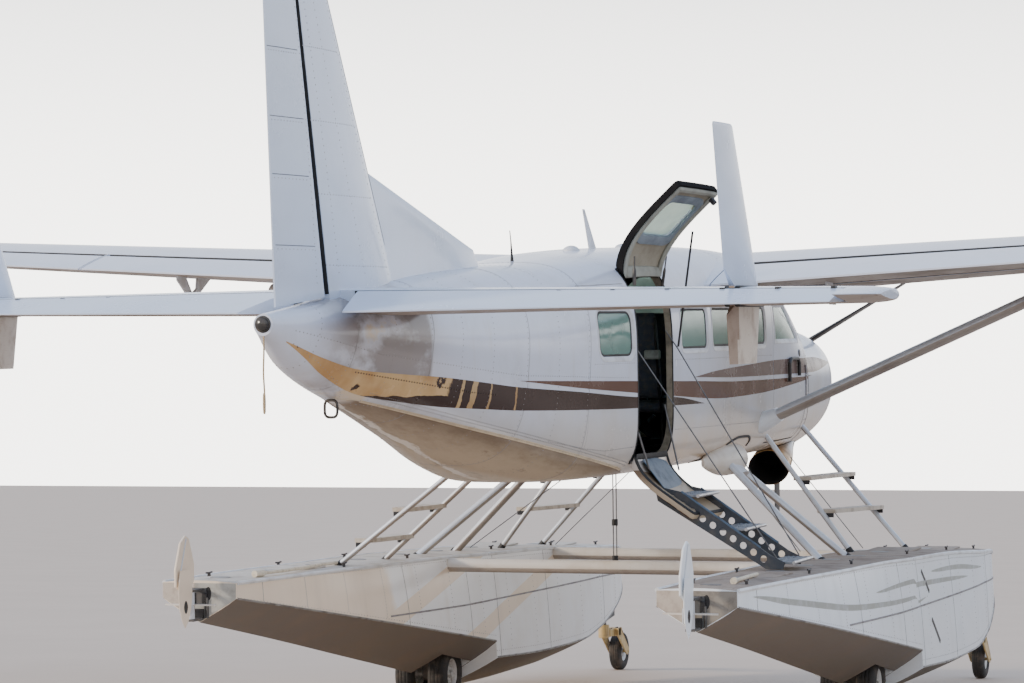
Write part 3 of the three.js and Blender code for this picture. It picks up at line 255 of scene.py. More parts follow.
def tube(path, radius, around=12, closed=False):
    """A circle carried along a path. Its plane is square to the path, and one of its axes is
    square to the frame axis that the path follows least. The radius may change along it."""
    path = np.asarray(path, float)
    ahead = np.roll(path, -1, 0) - np.roll(path, 1, 0) if closed else np.gradient(path, axis=0)
    ahead /= np.linalg.norm(ahead, axis=1, keepdims=True)
    fixed = np.eye(3)[np.argmin(np.abs(ahead).max(0))]
    across = np.cross(ahead, fixed)
    across /= np.linalg.norm(across, axis=1, keepdims=True)
    lift = np.cross(across, ahead)
    turn = 2 * pi * np.arange(around) / around
    reach = np.broadcast_to(np.asarray(radius, float), len(path))[:, None, None]
    rings = path[:, None] + reach * (np.cos(turn)[None, :, None] * across[:, None]
                                     + np.sin(turn)[None, :, None] * lift[:, None])
    if closed:
        rings = np.concatenate([rings, rings[:1]])
    return loft(rings, ends=not closed)


def build(name, parts, body, finish, turn=None, sharp=35):
    """Makes one piece of bodies of points in the aircraft frame: merges what meets, turns all
    faces outwards, shades it smooth with sharp edges kept, turns it into its open place where it
    has one, and puts it on its body. Without a body, the piece is left to the lines that follow."""
    points, faces = joined(parts)
    mesh = bpy.data.meshes.new(name)
    mesh.from_pydata(parked(points).tolist(), [], faces)
    work = bmesh.new()
    work.from_mesh(mesh)
    bmesh.ops.remove_doubles(work, verts=work.verts, dist=1e-6)
    bmesh.ops.recalc_face_normals(work, faces=work.faces)
    work.to_mesh(mesh)
    work.free()
    mesh.shade_smooth()
    mesh.set_sharp_from_angle(angle=radians(sharp))
    if turn is not None:
        mesh.transform(turn)
    obj = bpy.data.objects.new(name, mesh)
    bpy.context.scene.collection.objects.link(obj)
    for one in finish if isinstance(finish, (list, tuple)) else [finish]:
        mesh.materials.append(one)
    if body:
        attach(obj, body)
    return obj


line_knots = np.array([(0, -9.392, 0.98), (0.002, -9.396, 0.9), (-0.003, -9.394, 0.78),
                       (0.003, -9.396, 0.66), (0, -9.394, 0.56)])
line_route = np.stack([eased(np.linspace(0, 4, 21), np.arange(5), line_knots[:, i]) for i in range(3)], -1)
line_curve = bpy.data.curves.new("tail_line_cord", "CURVE")
line_curve.dimensions = "3D"
line_curve.bevel_depth = 0.005
line_curve.bevel_resolution = 3
line_curve.use_fill_caps = True
line_spline = line_curve.splines.new("POLY")
line_spline.points.add(len(line_route) - 1)
line_spline.points.foreach_set("co", np.c_[parked(line_route), np.ones(len(line_route))].ravel())
line_curve.materials.append(rope_finish)
tail_line = bpy.data.objects.new("tail_line_cord", line_curve)
bpy.context.scene.collection.objects.link(tail_line)
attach(tail_line, "airframe")
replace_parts(tail_line, "tail_line")
knot_rise = np.linspace(0, 1, 13)
knot_route = np.stack([0 * knot_rise, -9.394 + 0 * knot_rise, 0.562 + 0.11 * knot_rise], -1)
knot_swell = 0.0052 + 0.0032 * np.sin(pi * knot_rise) ** 0.4 + 0.0005 * np.cos(24 * pi * knot_rise)
line_end = build("tail_line_whipping", [tube(knot_route, knot_swell, 14)], "airframe", rope_finish)


# Fuselage skins. Cabin shell, tail cone and cowling are aluminium sheet riveted over frames and
# painted gloss white. Their sections are superellipses whose sizes change smoothly along y.
stations = np.array([
    (1.33, 0.49, 0.23, 0.52, 0.9, 2.4, 2.4), (1.18, 0.575, 0.12, 0.5, 0.945, 2.6, 2.5),
    (0.8, 0.62, 0.02, 0.49, 0.985, 2.8, 2.6), (0.3, 0.65, -0.03, 0.5, 1.005, 3.0, 2.6),
    (0, 0.664, -0.02, 0.51, 1.02, 3.2, 2.6), (-0.35, 0.738, 0, 0.54, 1.18, 3.4, 2.7),
    (-0.7, 0.755, 0, 0.58, 1.345, 3.8, 3.0), (-1.05, 0.768, 0, 0.6, 1.48, 4.2, 3.5),
    (-1.45, 0.776, 0, 0.62, 1.555, 4.5, 4.0), (-2.4, 0.78, 0, 0.62, 1.575, 4.5, 4.1),
    (-3.35, 0.778, 0, 0.62, 1.555, 4.6, 4.1), (-4.18, 0.76, 0, 0.625, 1.515, 4.8, 4.1),
    (-4.87, 0.695, 0, 0.652, 1.468, 5.0, 3.9), (-5.2, 0.652, 0, 0.67, 1.442, 4.6, 3.5),
    (-5.6, 0.603, 0.01, 0.7, 1.412, 3.9, 3.1), (-6.2, 0.535, 0.085, 0.75, 1.382, 3.1, 2.7),
    (-7.2, 0.405, 0.315, 0.85, 1.325, 2.5, 2.3), (-8.2, 0.265, 0.56, 0.93, 1.222, 2.3, 2.2),
    (-9, 0.15, 0.765, 0.985, 1.13, 2.2, 2.2), (-9.4, 0.055, 0.975, 1.035, 1.092, 2.0, 2.0)])


def section_at(y):
    """Half width, belly, widest height, crown, and lower and upper squareness at a station."""
    return [eased(y, stations[:, 0], stations[:, i]) for i in range(1, 7)]


def skin(y, angle, grow=0.0):
    """Skin points at angles from starboard over the crown. The reach at an angle is
    (|cos|^p + |sin|^p)^(-1/p), times the half width across and the half height up or down."""
    y, angle = np.broadcast_arrays(np.asarray(y, float), angle)
    half, low, mid, high, lower, upper = section_at(y)
    across, up = np.cos(angle), np.sin(angle)
    power = np.where(up >= 0, upper, lower)
    reach = (np.abs(across) ** power + np.abs(up) ** power) ** (-1 / power)
    tall = np.where(up >= 0, high - mid, mid - low) + grow
    return np.stack([(half + grow) * across * reach, y, mid + tall * up * reach], -1)


def side(y, z, grow=0.0):
    """The starboard skin at a station and height: x is half (1 - share^p)^(1/p), where share is
    the distance from the widest line over the half height."""
    y, z = np.broadcast_arrays(np.asarray(y, float), np.asarray(z, float))
    half, low, mid, high, lower, upper = section_at(y)
    share = np.abs(z - mid) / (np.where(z >= mid, high - mid, mid - low) + grow)
    power = np.where(z >= mid, upper, lower)
    x = (half + grow) * np.clip(1 - share ** power, 0, 1) ** (1 / power)
    return np.stack([x, y, z], -1)


def skin_level(points):
    """(|x| / half)^p + (|z - mid| / half height)^p, which is 1 on the skin and less inside."""
    half, low, mid, high, lower, upper = section_at(points[..., 1])
    rise = points[..., 2] - mid
    power = np.where(rise >= 0, upper, lower)
    tall = np.where(rise >= 0, high - mid, mid - low)
    return (np.abs(points[..., 0]) / half) ** power + (np.abs(rise) / tall) ** power


def skin_normal(points):
    """The outward normal at skin points: the slope of the level along x, y and z."""
    step = 1e-4 * np.eye(3)
    slope = np.stack([skin_level(points + one) - skin_level(points - one) for one in step], -1)
    return slope / np.linalg.norm(slope, axis=-1, keepdims=True)


def rounded(rear, front, bottom, top, radius):
    """A rectangle in y and z whose corners are quarter circles, as a list of points."""
    turn = np.linspace(0, pi / 2, 7)
    corners = [(front, top, 0), (rear, top, 1), (rear, bottom, 2), (front, bottom, 3)]
    parts = []
    for y, z, quarter in corners:
        inward = np.array([-1 if quarter in (0, 3) else 1, -1 if quarter in (0, 1) else 1])
        centre = np.array([y, z]) + inward * radius
        angle = turn + quarter * pi / 2
        parts.append(centre + radius * np.stack([np.cos(angle), np.sin(angle)], -1))
    return np.concatenate(parts)


def prism(outline, start, stop, axis=0):
    """An outline in the other two axes, in order, run along one axis from start to stop."""
    rings = [np.insert(np.asarray(outline, float), axis, at, axis=1) for at in (start, stop)]
    return loft(rings)


def mirrored(part):
    """The same body on the other side of the aircraft."""
    points, faces = part
    return points * (-1, 1, 1), faces


def both(parts):
    """Bodies of the starboard side, and the same ones mirrored to port."""
    return [*parts, *(mirrored(part) for part in parts)]


def sided(parts, hand):
    """Bodies as they are to starboard, where the hand is 1, or mirrored to port, where it is -1."""
    return parts if hand > 0 else [mirrored(part) for part in parts]


def carve(obj, cutters, operation="DIFFERENCE"):
    """Cuts bodies out of a piece, or keeps what is inside them, and keeps its sharp edges."""
    points, faces = joined(cutters)
    mesh = bpy.data.meshes.new("cutter")
    mesh.from_pydata(parked(points).tolist(), [], faces)
    work = bmesh.new()
    work.from_mesh(mesh)
    bmesh.ops.recalc_face_normals(work, faces=work.faces)
    work.to_mesh(mesh)
    work.free()
    tool = bpy.data.objects.new("cutter", mesh)
    bpy.context.scene.collection.objects.link(tool)
    cutting = obj.modifiers.new("cut", "BOOLEAN")
    cutting.solver, cutting.operation, cutting.object = "EXACT", operation, tool
    view = bpy.context.evaluated_depsgraph_get()
    result = bpy.data.meshes.new_from_object(obj.evaluated_get(view))
    obj.modifiers.clear()
    obj.data = result
    bpy.data.objects.remove(tool)
    result.shade_smooth()
    result.set_sharp_from_angle(angle=radians(35))
    return obj


def painted_skin(name, upper, lower, belly, low_z=0.3, grime=0.45, gloss=0.22, bare_belly=False):
    """Gloss paint over slightly wavy sheet: clean above and grey lower down, where the grey is partly
    dust and partly a painted reflection of the ground, brown and scuffed at the belly, with soft
    vertical runs and blotches of old polish. The fuselage's belly is bare brown coating below a
    line at height 0.018 + 0.158 t, at t metres aft of station -4.6, darkest just under the line as
    painted shade. Above the line its lower side has a painted warm reflection of the ground, and
    its tail cone painted dark and cream reflections."""
    finish, tree, shader = new_finish(name, roughness=gloss, coat_weight=0.3, coat_roughness=0.08)
    at = use_group(tree, aircraft_place)["Position"]
    along, height = [add(tree, "SeparateXYZ", {0: at}).outputs[key] for key in "YZ"]
    out = use_group(tree, wear, size=0.9, grime=grime, relief=0.25)
    runs = noise(tree, at, 9, 3, 0.6, (1, 1, 0.16))
    uneven = calc(tree, "MULTIPLY_ADD", noise(tree, at, 1.6, 4), 0.5, height)
    uneven = calc(tree, "ADD", uneven, -0.25)
    # The grey lower down is partly dust and partly a painted reflection of the ground
    dusty = ramp(tree, uneven, low_z + 0.42, low_z - 0.05)
    brown = ramp(tree, uneven, low_z + 0.02, low_z - 0.28)
    colour = blended(tree, dusty, (*upper, 1), (*lower, 1))
    if not bare_belly:
        colour = blended(tree, brown, colour, (*belly, 1))
    run_mask = calc(tree, "MULTIPLY", ramp(tree, runs, 0.5, 0.75), 0.28)
    colour = blended(tree, run_mask, colour, (*lower, 1))
    old = calc(tree, "MULTIPLY", out["Blotch"], 0.5)
    colour = blended(tree, old, colour, times(lower, 0.62))
    if bare_belly:
        # Painted reflection: the lower side turns warm tan where the gloss would mirror the sunlit ground
        warm = calc(tree, "MULTIPLY", ramp(tree, uneven, 0.46, 0.0), ramp(tree, along, -4.9, -4.0, 0.35, 1))
        colour = blended(tree, warm, colour, (0.66, 0.52, 0.38, 1))
        # Painted reflections on the tail cone: dark and cream clouds that the gloss paint would mirror
        clouds = noise(tree, at, 2.3, 5, 0.6, (1, 0.7, 1.2))
        tail_part = calc(tree, "MULTIPLY", ramp(tree, along, -7.70, -7.74), ramp(tree, along, -9.1, -8.5))
        dark_reflection = calc(tree, "MULTIPLY", tail_part, ramp(tree, clouds, 0.60, 0.44))
        dark_reflection = calc(tree, "MULTIPLY", dark_reflection, ramp(tree, height, 0.60, 0.68, 0.12, 0.85))
        colour = blended(tree, dark_reflection, colour, (0.25, 0.215, 0.20, 1))
        cream = calc(tree, "MULTIPLY", tail_part, ramp(tree, clouds, 0.57, 0.66))
        colour = blended(tree, cream, colour, (0.74, 0.63, 0.47, 1))
        aft = calc(tree, "MAXIMUM", calc(tree, "SUBTRACT", -4.6, along), 0.0)
        line = calc(tree, "MULTIPLY_ADD", aft, 0.158, 0.018)
        below = calc(tree, "SUBTRACT", line, height)
        bare = calc(tree, "MULTIPLY", ramp(tree, below, -0.002, 0.004), ramp(tree, along, -8.42, -8.28))
        grain = noise(tree, at, 7, 6, 0.7, (1.6, 0.35, 1.6))
        deep = calc(tree, "MULTIPLY_ADD", grain, 0.16, below)
        # Just under the line the coating is darkest, as painted shade under the lap strip, and it turns tan
        # further down
        coating = blended(tree, ramp(tree, deep, 0.06, 0.24), (*belly, 1), (0.50, 0.40, 0.28, 1))
        coating = blended(tree, ramp(tree, grain, 0.56, 0.70), coating, (0.24, 0.18, 0.125, 1))
        across = add(tree, "SeparateXYZ", {0: at}).outputs["X"]
        keel = calc(tree, "MULTIPLY_ADD", grain, 0.22,
                    calc(tree, "ABSOLUTE", calc(tree, "ADD", across, 0.04)))
        peeled = calc(tree, "MULTIPLY", ramp(tree, keel, 0.145, 0.125), ramp(tree, along, -5.6, -6.4))
        coating = blended(tree, peeled, coating, (0.80, 0.74, 0.66, 1))
        colour = blended(tree, bare, colour, coating)
        brown = bare
    rough = calc(tree, "MULTIPLY_ADD", calc(tree, "ADD", brown, old), 0.3, gloss)
    fine = calc(tree, "MULTIPLY", out["Height"], 0.2)
    wavy = calc(tree, "MULTIPLY_ADD", noise(tree, at, 3.2, 2), 1.0, fine)
    surfaced(tree, shader, colour, rough, wavy, 0.1, 0.05)
    return finish


# The upper colour's lavender blue is a painted reflection of the sky
body_paint = painted_skin("white body paint", (0.68, 0.72, 0.83), (0.60, 0.585, 0.57), (0.17, 0.115, 0.07),
                          bare_belly=True)
trim_panel = worn_finish("grey cabin trim", (0.055, 0.052, 0.05), (0.03, 0.03, 0.03), 0.7, 1.5)
black_seal = worn_finish("black rubber seal", (0.012, 0.012, 0.013), (0.05, 0.045, 0.04), 0.55, 3, 0.4)

wall = 0.045
around_body = 2 * pi * np.arange(132) / 132
windows = {"first": (-2.43, -1.77, 0.835, 1.15, 0.07), "second": (-3.27, -2.61, 0.83, 1.142, 0.07),
           "third": (-4.02, -3.38, 0.822, 1.138, 0.07), "aft": (-5.43, -4.885, 0.785, 1.12, 0.09),
           "passenger door": (-4.76, -4.3, 0.812, 1.13, 0.07),
           "cargo fore": (-4.12, -3.64, 0.822, 1.136, 0.07), "cargo aft": (-4.74, -4.3, 0.815, 1.13, 0.07)}
passenger_doorway, cargo_doorway = (-4.84, -4.22, 0.098, 1.378, 0.03), (-4.84, -3.57, 0.098, 1.378, 0.03)
crew_front, crew_rear, crew_low, crew_top = -0.42, -1.57, 0.105, 1.196


def crew_outline(gap):
    """A crew doorway's outline in y and z, shrunk by a gap."""
    return [(crew_front - gap, crew_low + gap), (crew_rear + gap, crew_low + gap),
            (crew_rear + gap, crew_top - gap),
            (-0.985 - gap * 0.4, crew_top - gap), (crew_front - gap, 0.8 - gap * 0.6)]


screen_outline = [(-0.07, 1.052), (-0.455, 0.935), (-0.96, 1.262), (-1.01, 1.4), (-1.01, 1.7), (-0.07, 1.7)]


def shell_rings(front, rear, count, outer, inner):
    """A closed wall: rings run aft on the outer skin and back forward on the inner one."""
    y = np.linspace(front, rear, count)[:, None]
    out, back = skin(y, around_body, outer), skin(y[::-1], around_body, inner)
    return np.concatenate([out, back, out[:1]])


cabin = build("cabin_skin", [loft(shell_rings(-0.0202, -5.5995, 112, 0, -wall), ends=False)], "airframe",
              [body_paint, trim_panel])
carve(cabin, [prism(screen_outline, -0.9, 0.9), prism(crew_outline(0), -1.2, 1.2)]
      + [prism(rounded(*windows[name]), 0.3, 1.2) for name in ("first", "second", "third", "aft")]
      + [prism(rounded(*windows[name]), -1.2, -0.3) for name in ("first", "second", "aft")]
      + [prism(rounded(*passenger_doorway), 0.3, 1.2), prism(rounded(*cargo_doorway), -1.2, -0.3)])


def line_inside(obj, depth=0.03):
    """Gives the faces further in than a depth below the skin the second finish, as cabin trim."""
    mesh = obj.data
    middle = np.empty(len(mesh.polygons) * 3)
    mesh.polygons.foreach_get("center", middle)
    middle = middle.reshape(-1, 3) - (0, stand_ahead, stand_height)
    turn = np.array([(1, 0, 0), (0, cos(nose_up), sin(nose_up)), (0, -sin(nose_up), cos(nose_up))])
    middle = middle @ turn.T
    inner = skin_level(middle) < (1 - depth / 0.7) ** 3
    mesh.polygons.foreach_set("material_index", inner.astype(np.int32))


line_inside(cabin)
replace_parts(cabin, "cabin_shell")

cone_y = np.linspace(-5.6005, -9.4, 80)[:, None]
cone_inner = skin(np.linspace(-8.3, -5.6005, 40)[:, None], around_body, -0.03)
cone = loft(np.concatenate([cone_inner, skin(cone_y, around_body)]))
tail_cone = build("tail_cone_skin", [cone], "airframe", body_paint)
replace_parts(tail_cone, "tail_cone")

# A dark round lamp closes the end of the tail, and a steel loop under it takes the tie-down line
lamp_finish = worn_finish("dark lamp glass", (0.03, 0.028, 0.027), (0.16, 0.13, 0.10), 0.15, 9, 0.5, 0.5)
lamp_y = np.array([-9.395, -9.402, -9.404, -9.414, -9.421, -9.424])
lamp_reach = np.array([0.046, 0.046, 0.036, 0.033, 0.022, 0.002])
lamp_line = np.stack([0 * lamp_y, lamp_y, 1.036 + 0 * lamp_y], -1)
build("tail_lamp", [tube(lamp_line, lamp_reach, 24)], "airframe", lamp_finish)
loop_turn = np.linspace(0, 2 * pi, 33)[:-1]
loop_high = np.sign(np.sin(loop_turn)) * np.abs(np.sin(loop_turn)) ** 0.6
loop_wide = np.sign(np.cos(loop_turn)) * np.abs(np.cos(loop_turn)) ** 0.6
loop = np.stack([0.038 * loop_wide, -8.46 + 0 * loop_turn, 0.562 + 0.048 * loop_high], -1)
build("tie_down_loop", [tube(loop, 0.008, 10, closed=True)], "airframe", lamp_finish)

# Cowling: the same sheet with a rounded lip, two side inlets, a chin inlet and a hole for the shaft
lip_turn = np.linspace(0, pi / 2, 9)[1:]
cowl_y = np.concatenate([np.linspace(0.0003, 1.26, 26), 1.26 + 0.07 * np.sin(lip_turn)])
cowl_grow = np.concatenate([np.zeros(26), -0.07 * (1 - np.cos(lip_turn))])
cowl_inner_y = np.linspace(-0.001, 1.3, 20)
cowl_inner_grow = -0.018 - 0.07 * np.clip((cowl_inner_y - 1.18) / 0.12, 0, 1) ** 2
cowling = build("cowling_skin", [loft(skin(cowl_y[:, None], around_body, cowl_grow[:, None]))], "airframe",
                [body_paint, trim_panel])


def oval(x, z, reach_x, reach_z, start, stop):
    """An upright oval carried along y."""
    turn = 2 * pi * np.arange(32) / 32
    return loft([np.stack([x + reach_x * np.cos(turn), 0 * turn + y, z + reach_z * np.sin(turn)], -1)
                 for y in (start, stop)])


exhaust_rows = np.array([(0.56, 0.285, 0.215, 0.1, 0.085), (0.4, 0.33, 0.095, 0.12, 0.1),
                         (0.12, 0.365, 0.02, 0.14, 0.115), (-0.15, 0.405, -0.07, 0.158, 0.13),
                         (-0.43, 0.44, -0.128, 0.168, 0.138)])


def exhaust_rings(shrink, front=0.56, rear=-0.43, count=24):
    """Oval rings down the exhaust duct, whose centre and half sizes follow a table along y."""
    y = np.linspace(front, rear, count)
    x, z, wide, deep = [eased(y, exhaust_rows[:, 0], exhaust_rows[:, i]) for i in range(1, 5)]
    turn = 2 * pi * np.arange(40) / 40
    wide, deep = wide - shrink, deep - shrink
    return np.stack([x[:, None] + wide[:, None] * np.cos(turn), np.broadcast_to(y[:, None], (count, 40)),
                     z[:, None] + deep[:, None] * np.sin(turn)], -1)


carve(cowling, [loft(skin(cowl_inner_y[:, None], around_body, cowl_inner_grow[:, None]))])
carve(cowling, [oval(0, 0.685, 0.16, 0.16, 1.2, 1.4), oval(-0.29, 0.7, 0.11, 0.075, 1.2, 1.4),
                oval(0.29, 0.7, 0.11, 0.075, 1.2, 1.4), oval(0, 0.37, 0.2, 0.07, 1.2, 1.4),
                loft(exhaust_rings(-0.006))])
line_inside(cowling, 0.012)
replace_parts(cowling, "cowling")
for node in ("firewall", "engine", "instrument_panel", "cabin_floor"):
    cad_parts[node].data.materials.clear()
    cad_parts[node].data.materials.append(trim_panel)


# Stripes. Two brown bands and a tan one run along each side in gloss paint, and the lowest goes on
# to the end of the tail, where it carries a painted gold reflection of the sunlit ground. Each door carries
# its own length.
def stripe_paint(name, colour, reflects_ground=False):
    """Stripe paint. The one that reflects the ground carries a painted gold reflection of the sunlit
    ground in its last two metres, except along its lower edge, near height 0.517 + 0.04 s + 0.04 s^2
    at s metres aft of station -7, and in spots and bars where the brown still holds."""
    finish, tree, shader = new_finish(name, roughness=0.25, specular_ior_level=0.22)
    at = use_group(tree, aircraft_place)["Position"]
    out = use_group(tree, wear, size=1.6, grime=0.5, relief=0.3)
    faint = calc(tree, "MULTIPLY", out["Blotch"], 0.25)
    base = blended(tree, faint, (*colour, 1), times(colour, 1.5))
    if reflects_ground:
        along, height = [add(tree, "SeparateXYZ", {0: at}).outputs[key] for key in "YZ"]
        spots = noise(tree, at, 5.5, 5, 0.62, (1, 0.8, 1.3))
        ragged = calc(tree, "MULTIPLY_ADD", spots, 0.5, along)
        # Painted reflection: gold where the stripe's gloss would mirror the sunlit ground
        gold = ramp(tree, ragged, -7.16, -7.22)
        further = calc(tree, "SUBTRACT", -7.0, along)
        edge = calc(tree, "MULTIPLY_ADD", further, calc(tree, "MULTIPLY_ADD", further, 0.04, 0.04), 0.517)
        over = calc(tree, "MULTIPLY_ADD", spots, 0.04, calc(tree, "SUBTRACT", height, edge))
        width = ramp(tree, along, -8.6, -7.4, 0.0, 0.085)
        kept = calc(tree, "GREATER_THAN", calc(tree, "SUBTRACT", over, width), 0.0)
        gold = calc(tree, "MULTIPLY", gold, kept)
        gold = calc(tree, "MULTIPLY", gold, ramp(tree, spots, 0.36, 0.40))
        shaky = calc(tree, "MULTIPLY_ADD", spots, 0.09, along)
        for station, half in ((-7.27, 0.016), (-7.14, 0.032), (-6.93, 0.012), (-6.60, 0.012)):
            bar_mask = calc(tree, "MULTIPLY", calc(tree, "COMPARE", shaky, station, half), 0.75)
            gold = calc(tree, "MAXIMUM", gold, bar_mask)
        cloudy = ramp(tree, noise(tree, at, 2.4, 4), 0.35, 0.65)
        rich = blended(tree, cloudy, (0.50, 0.29, 0.12, 1), (0.72, 0.50, 0.25, 1))
        base = blended(tree, gold, base, rich)
    rough = calc(tree, "MULTIPLY_ADD", out["Blotch"], 0.25, 0.2)
    surfaced(tree, shader, base, rough, out["Height"], 0.12)
    return finish


brown_stripe = stripe_paint("brown stripe", (0.045, 0.024, 0.018), reflects_ground=True)
tan_stripe = stripe_paint("light brown stripe", (0.125, 0.062, 0.043))
grey_stripe = stripe_paint("grey brown stripe", (0.16, 0.11, 0.098))

main_band = (
    [(-9.26, 0.944), (-8.947, 0.856), (-8.508, 0.778), (-8.073, 0.747), (-7.611, 0.721), (-7.121, 0.682),
     (-6.638, 0.641), (-5.739, 0.59), (-4.822, 0.535), (-4.157, 0.518), (-3.502, 0.4605)],
    [(-9.26, 0.94), (-8.849, 0.757), (-8.369, 0.636), (-7.953, 0.586), (-7.51, 0.545), (-7.054, 0.52),
     (-6.575, 0.497), (-5.727, 0.476), (-4.818, 0.463), (-4.157, 0.462), (-3.502, 0.4595)])
middle_band = (
    [(-6.601, 0.6775), (-5.739, 0.659), (-4.82, 0.64), (-4.154, 0.626), (-3.739, 0.618), (-2.552, 0.594),
     (-1.189, 0.59), (0.16, 0.589)],
    [(-6.601, 0.6765), (-5.739, 0.615), (-4.822, 0.561), (-4.157, 0.525), (-2.963, 0.482), (-1.975, 0.494),
     (-1.019, 0.533), (0.154, 0.588)])
upper_band = (
    [(-3.738, 0.6455), (-3.223, 0.678), (-2.547, 0.702), (-1.181, 0.735), (0.335, 0.731), (1.1, 0.68)],
    [(-3.738, 0.6445), (-2.55, 0.623), (-1.187, 0.62), (0.173, 0.613), (1.1, 0.679)])


def band_strip(band, rear, front):
    """A film over the skin between a band's lower and upper edges, from one station to another."""
    proud, sunk = 0.0012, -0.002
    top, bottom = [np.array(edge) for edge in band]
    y = np.linspace(rear, front, max(3, int((front - rear) / 0.06)))
    rows = np.linspace(0, 1, 9)
    high, low = eased(y, top[:, 0], top[:, 1]), eased(y, bottom[:, 0], bottom[:, 1])
    z = low[:, None] + rows * (high - low)[:, None]
    return loft(np.concatenate([side(y[:, None], z, proud), side(y[:, None], z[:, ::-1], sunk)], 1))


spans = {1: [(-9.26, -4.846, "airframe"), (-4.832, -4.228, "airstair_door"), (-4.214, -1.576, "airframe"),
             (-1.563, -0.427, "crew_door_right"), (-0.414, 1.1, "airframe")],
         -1: [(-9.26, -4.846, "airframe"), (-4.832, -3.578, "cargo_door_lower"),
              (-3.564, -1.576, "airframe"), (-1.563, -0.427, "crew_door_left"), (-0.414, 1.1, "airframe")]}


def about(start, stop, degrees):
    """A turn by an angle about a line in the aircraft frame, as a matrix in the row frame."""
    first, last = Vector(parked(start)), Vector(parked(stop))
    return (Matrix.Translation(first) @ Matrix.Rotation(radians(degrees), 4, last - first)
            @ Matrix.Translation(-first))


roof_hinge = ((0.5489, -4.84, 1.374), (0.6404, -4.22, 1.374))
sill_hinge = ((0.6261, -4.84, 0.102), (0.6760, -4.22, 0.102))
door_lifted, stair_lowered = about(*roof_hinge, -131), about(*sill_hinge, 123)

hands = ((1, "right"), (-1, "left"))
for hand, label in hands:
    for band_name, band, paint in (("main", main_band, brown_stripe), ("middle", middle_band, tan_stripe),
                                   ("upper", upper_band, grey_stripe)):
        for number, (rear, front, body) in enumerate(spans[hand]):
            rear, front = max(rear, band[0][0][0]), min(front, band[0][-1][0])
            if front - rear < 0.05:
                continue
            film = sided([band_strip(band, rear, front)], hand)
            build(f"{band_name}_stripe_{label}_{number}", film, body, paint,
                  turn=stair_lowered if body == "airstair_door" else None)


# Rivets and sheet joints. Flat-headed rivets fix the skins to frames and stringers in single rows,
# and the edge of each overlapping sheet shows as a thin raised step.
rivet_metal = worn_finish("dull rivet metal", (0.36, 0.35, 0.36), (0.12, 0.10, 0.09), 0.45, 8, 0.6,
                          metallic=0.6)
joint_edge = worn_finish("dusty sheet edge", (0.30, 0.29, 0.30), (0.10, 0.08, 0.07), 0.6, 4, 0.7)


def studs(points, normals, radius=0.0045, height=0.0014):
    """Low heads on a surface: for each, a six-sided foot sunk in it and a smaller six-sided top.
    The normals are one for each point, or one for all."""
    normals = np.broadcast_to(np.asarray(normals, float), points.shape)
    aside = np.cross(normals, (0.31, 0.52, 0.79))
    aside /= np.linalg.norm(aside, axis=1, keepdims=True)
    lift = np.cross(normals, aside)
    turn = 2 * pi * np.arange(6) / 6
    spoke = np.cos(turn)[None, :, None] * aside[:, None] + np.sin(turn)[None, :, None] * lift[:, None]
    rings = [points[:, None] + radius * reach * spoke + height * rise * normals[:, None]
             for reach, rise in ((1, -0.7), (0.7, 1))]
    index = np.arange(len(points) * 12).reshape(-1, 2, 6)
    low, high = index[:, 0], index[:, 1]
    walls = np.stack([low, np.roll(low, -1, 1), np.roll(high, -1, 1), high], -1).reshape(-1, 4).tolist()
    return np.stack(rings, 1).reshape(-1, 3), walls + low[:, ::-1].tolist() + high.tolist()


def evenly(path, spacing):
    """Points at an even distance along a path."""
    path = np.asarray(path, float)
    run = np.concatenate([[0], np.cumsum(np.linalg.norm(np.diff(path, axis=0), axis=1))])
    at = np.linspace(0, run[-1], max(2, int(run[-1] / spacing) + 1))
    return np.stack([np.interp(at, run, path[:, i]) for i in range(3)], -1)


def side_path(knots, count=60):
    """A line on the starboard skin through stations and heights."""
    knots = np.array(knots, float)
    share = np.linspace(0, 1, count)
    marks = np.linspace(0, 1, len(knots))
    return side(np.interp(share, marks, knots[:, 0]), np.interp(share, marks, knots[:, 1]))


def strap(path, normals, width, proud=0.0006, sunk=0.002):
    """A flat strip along a path on a surface, whose normals are one for each point or one for all."""
    normals = np.broadcast_to(np.asarray(normals, float), path.shape)
    ahead = np.gradient(path, axis=0)
    across = np.cross(ahead, normals)
    across *= width / 2 / np.linalg.norm(across, axis=1, keepdims=True)
    return loft(np.stack([path - across + proud * normals, path + across + proud * normals,
                          path + across - sunk * normals, path - across - sunk * normals], 1))


frame_angle = np.linspace(-pi / 2, pi / 2, 90)
frame_stations = (-8.98, -8.60, -8.15, -7.73, -7.35, -6.95, -6.5, -6.05, -5.6, -2.5, -0.1)
frame_lean = 0.10
body_rows = [skin(y + frame_lean * np.sin(frame_angle) * (y < -5), frame_angle) for y in frame_stations]
stringers = [[(-9.2, 1.0), (-8.3, 0.86), (-6.6, 0.71), (-5.0, 0.665)],
             [(-9.2, 0.93), (-8.4, 0.60), (-7.6, 0.50)],
             [(-8.6, 1.1), (-7.3, 1.13), (-6.0, 1.2), (-5.5, 1.235)], [(-5.45, 1.22), (-4.9, 1.24)],
             [(-4.16, 1.21), (-1.62, 1.24)], [(-4.16, 0.77), (-1.62, 0.77)], [(-4.16, 0.30), (-1.62, 0.28)],
             [(-5.5, 0.76), (-4.9, 0.76)], [(-0.38, 0.25), (-0.03, 0.25)], [(-0.38, 0.75), (-0.03, 0.75)]]
long_rows = [side_path(knots) for knots in stringers]
hull_rivets = np.concatenate([evenly(row, 0.034) for row in body_rows + long_rows])
rivet_y, rivet_z = hull_rivets[:, 1], hull_rivets[:, 2]
in_passenger_door = (rivet_y > -4.88) & (rivet_y < -4.18) & (rivet_z < 1.42) & (rivet_z > 0.06)
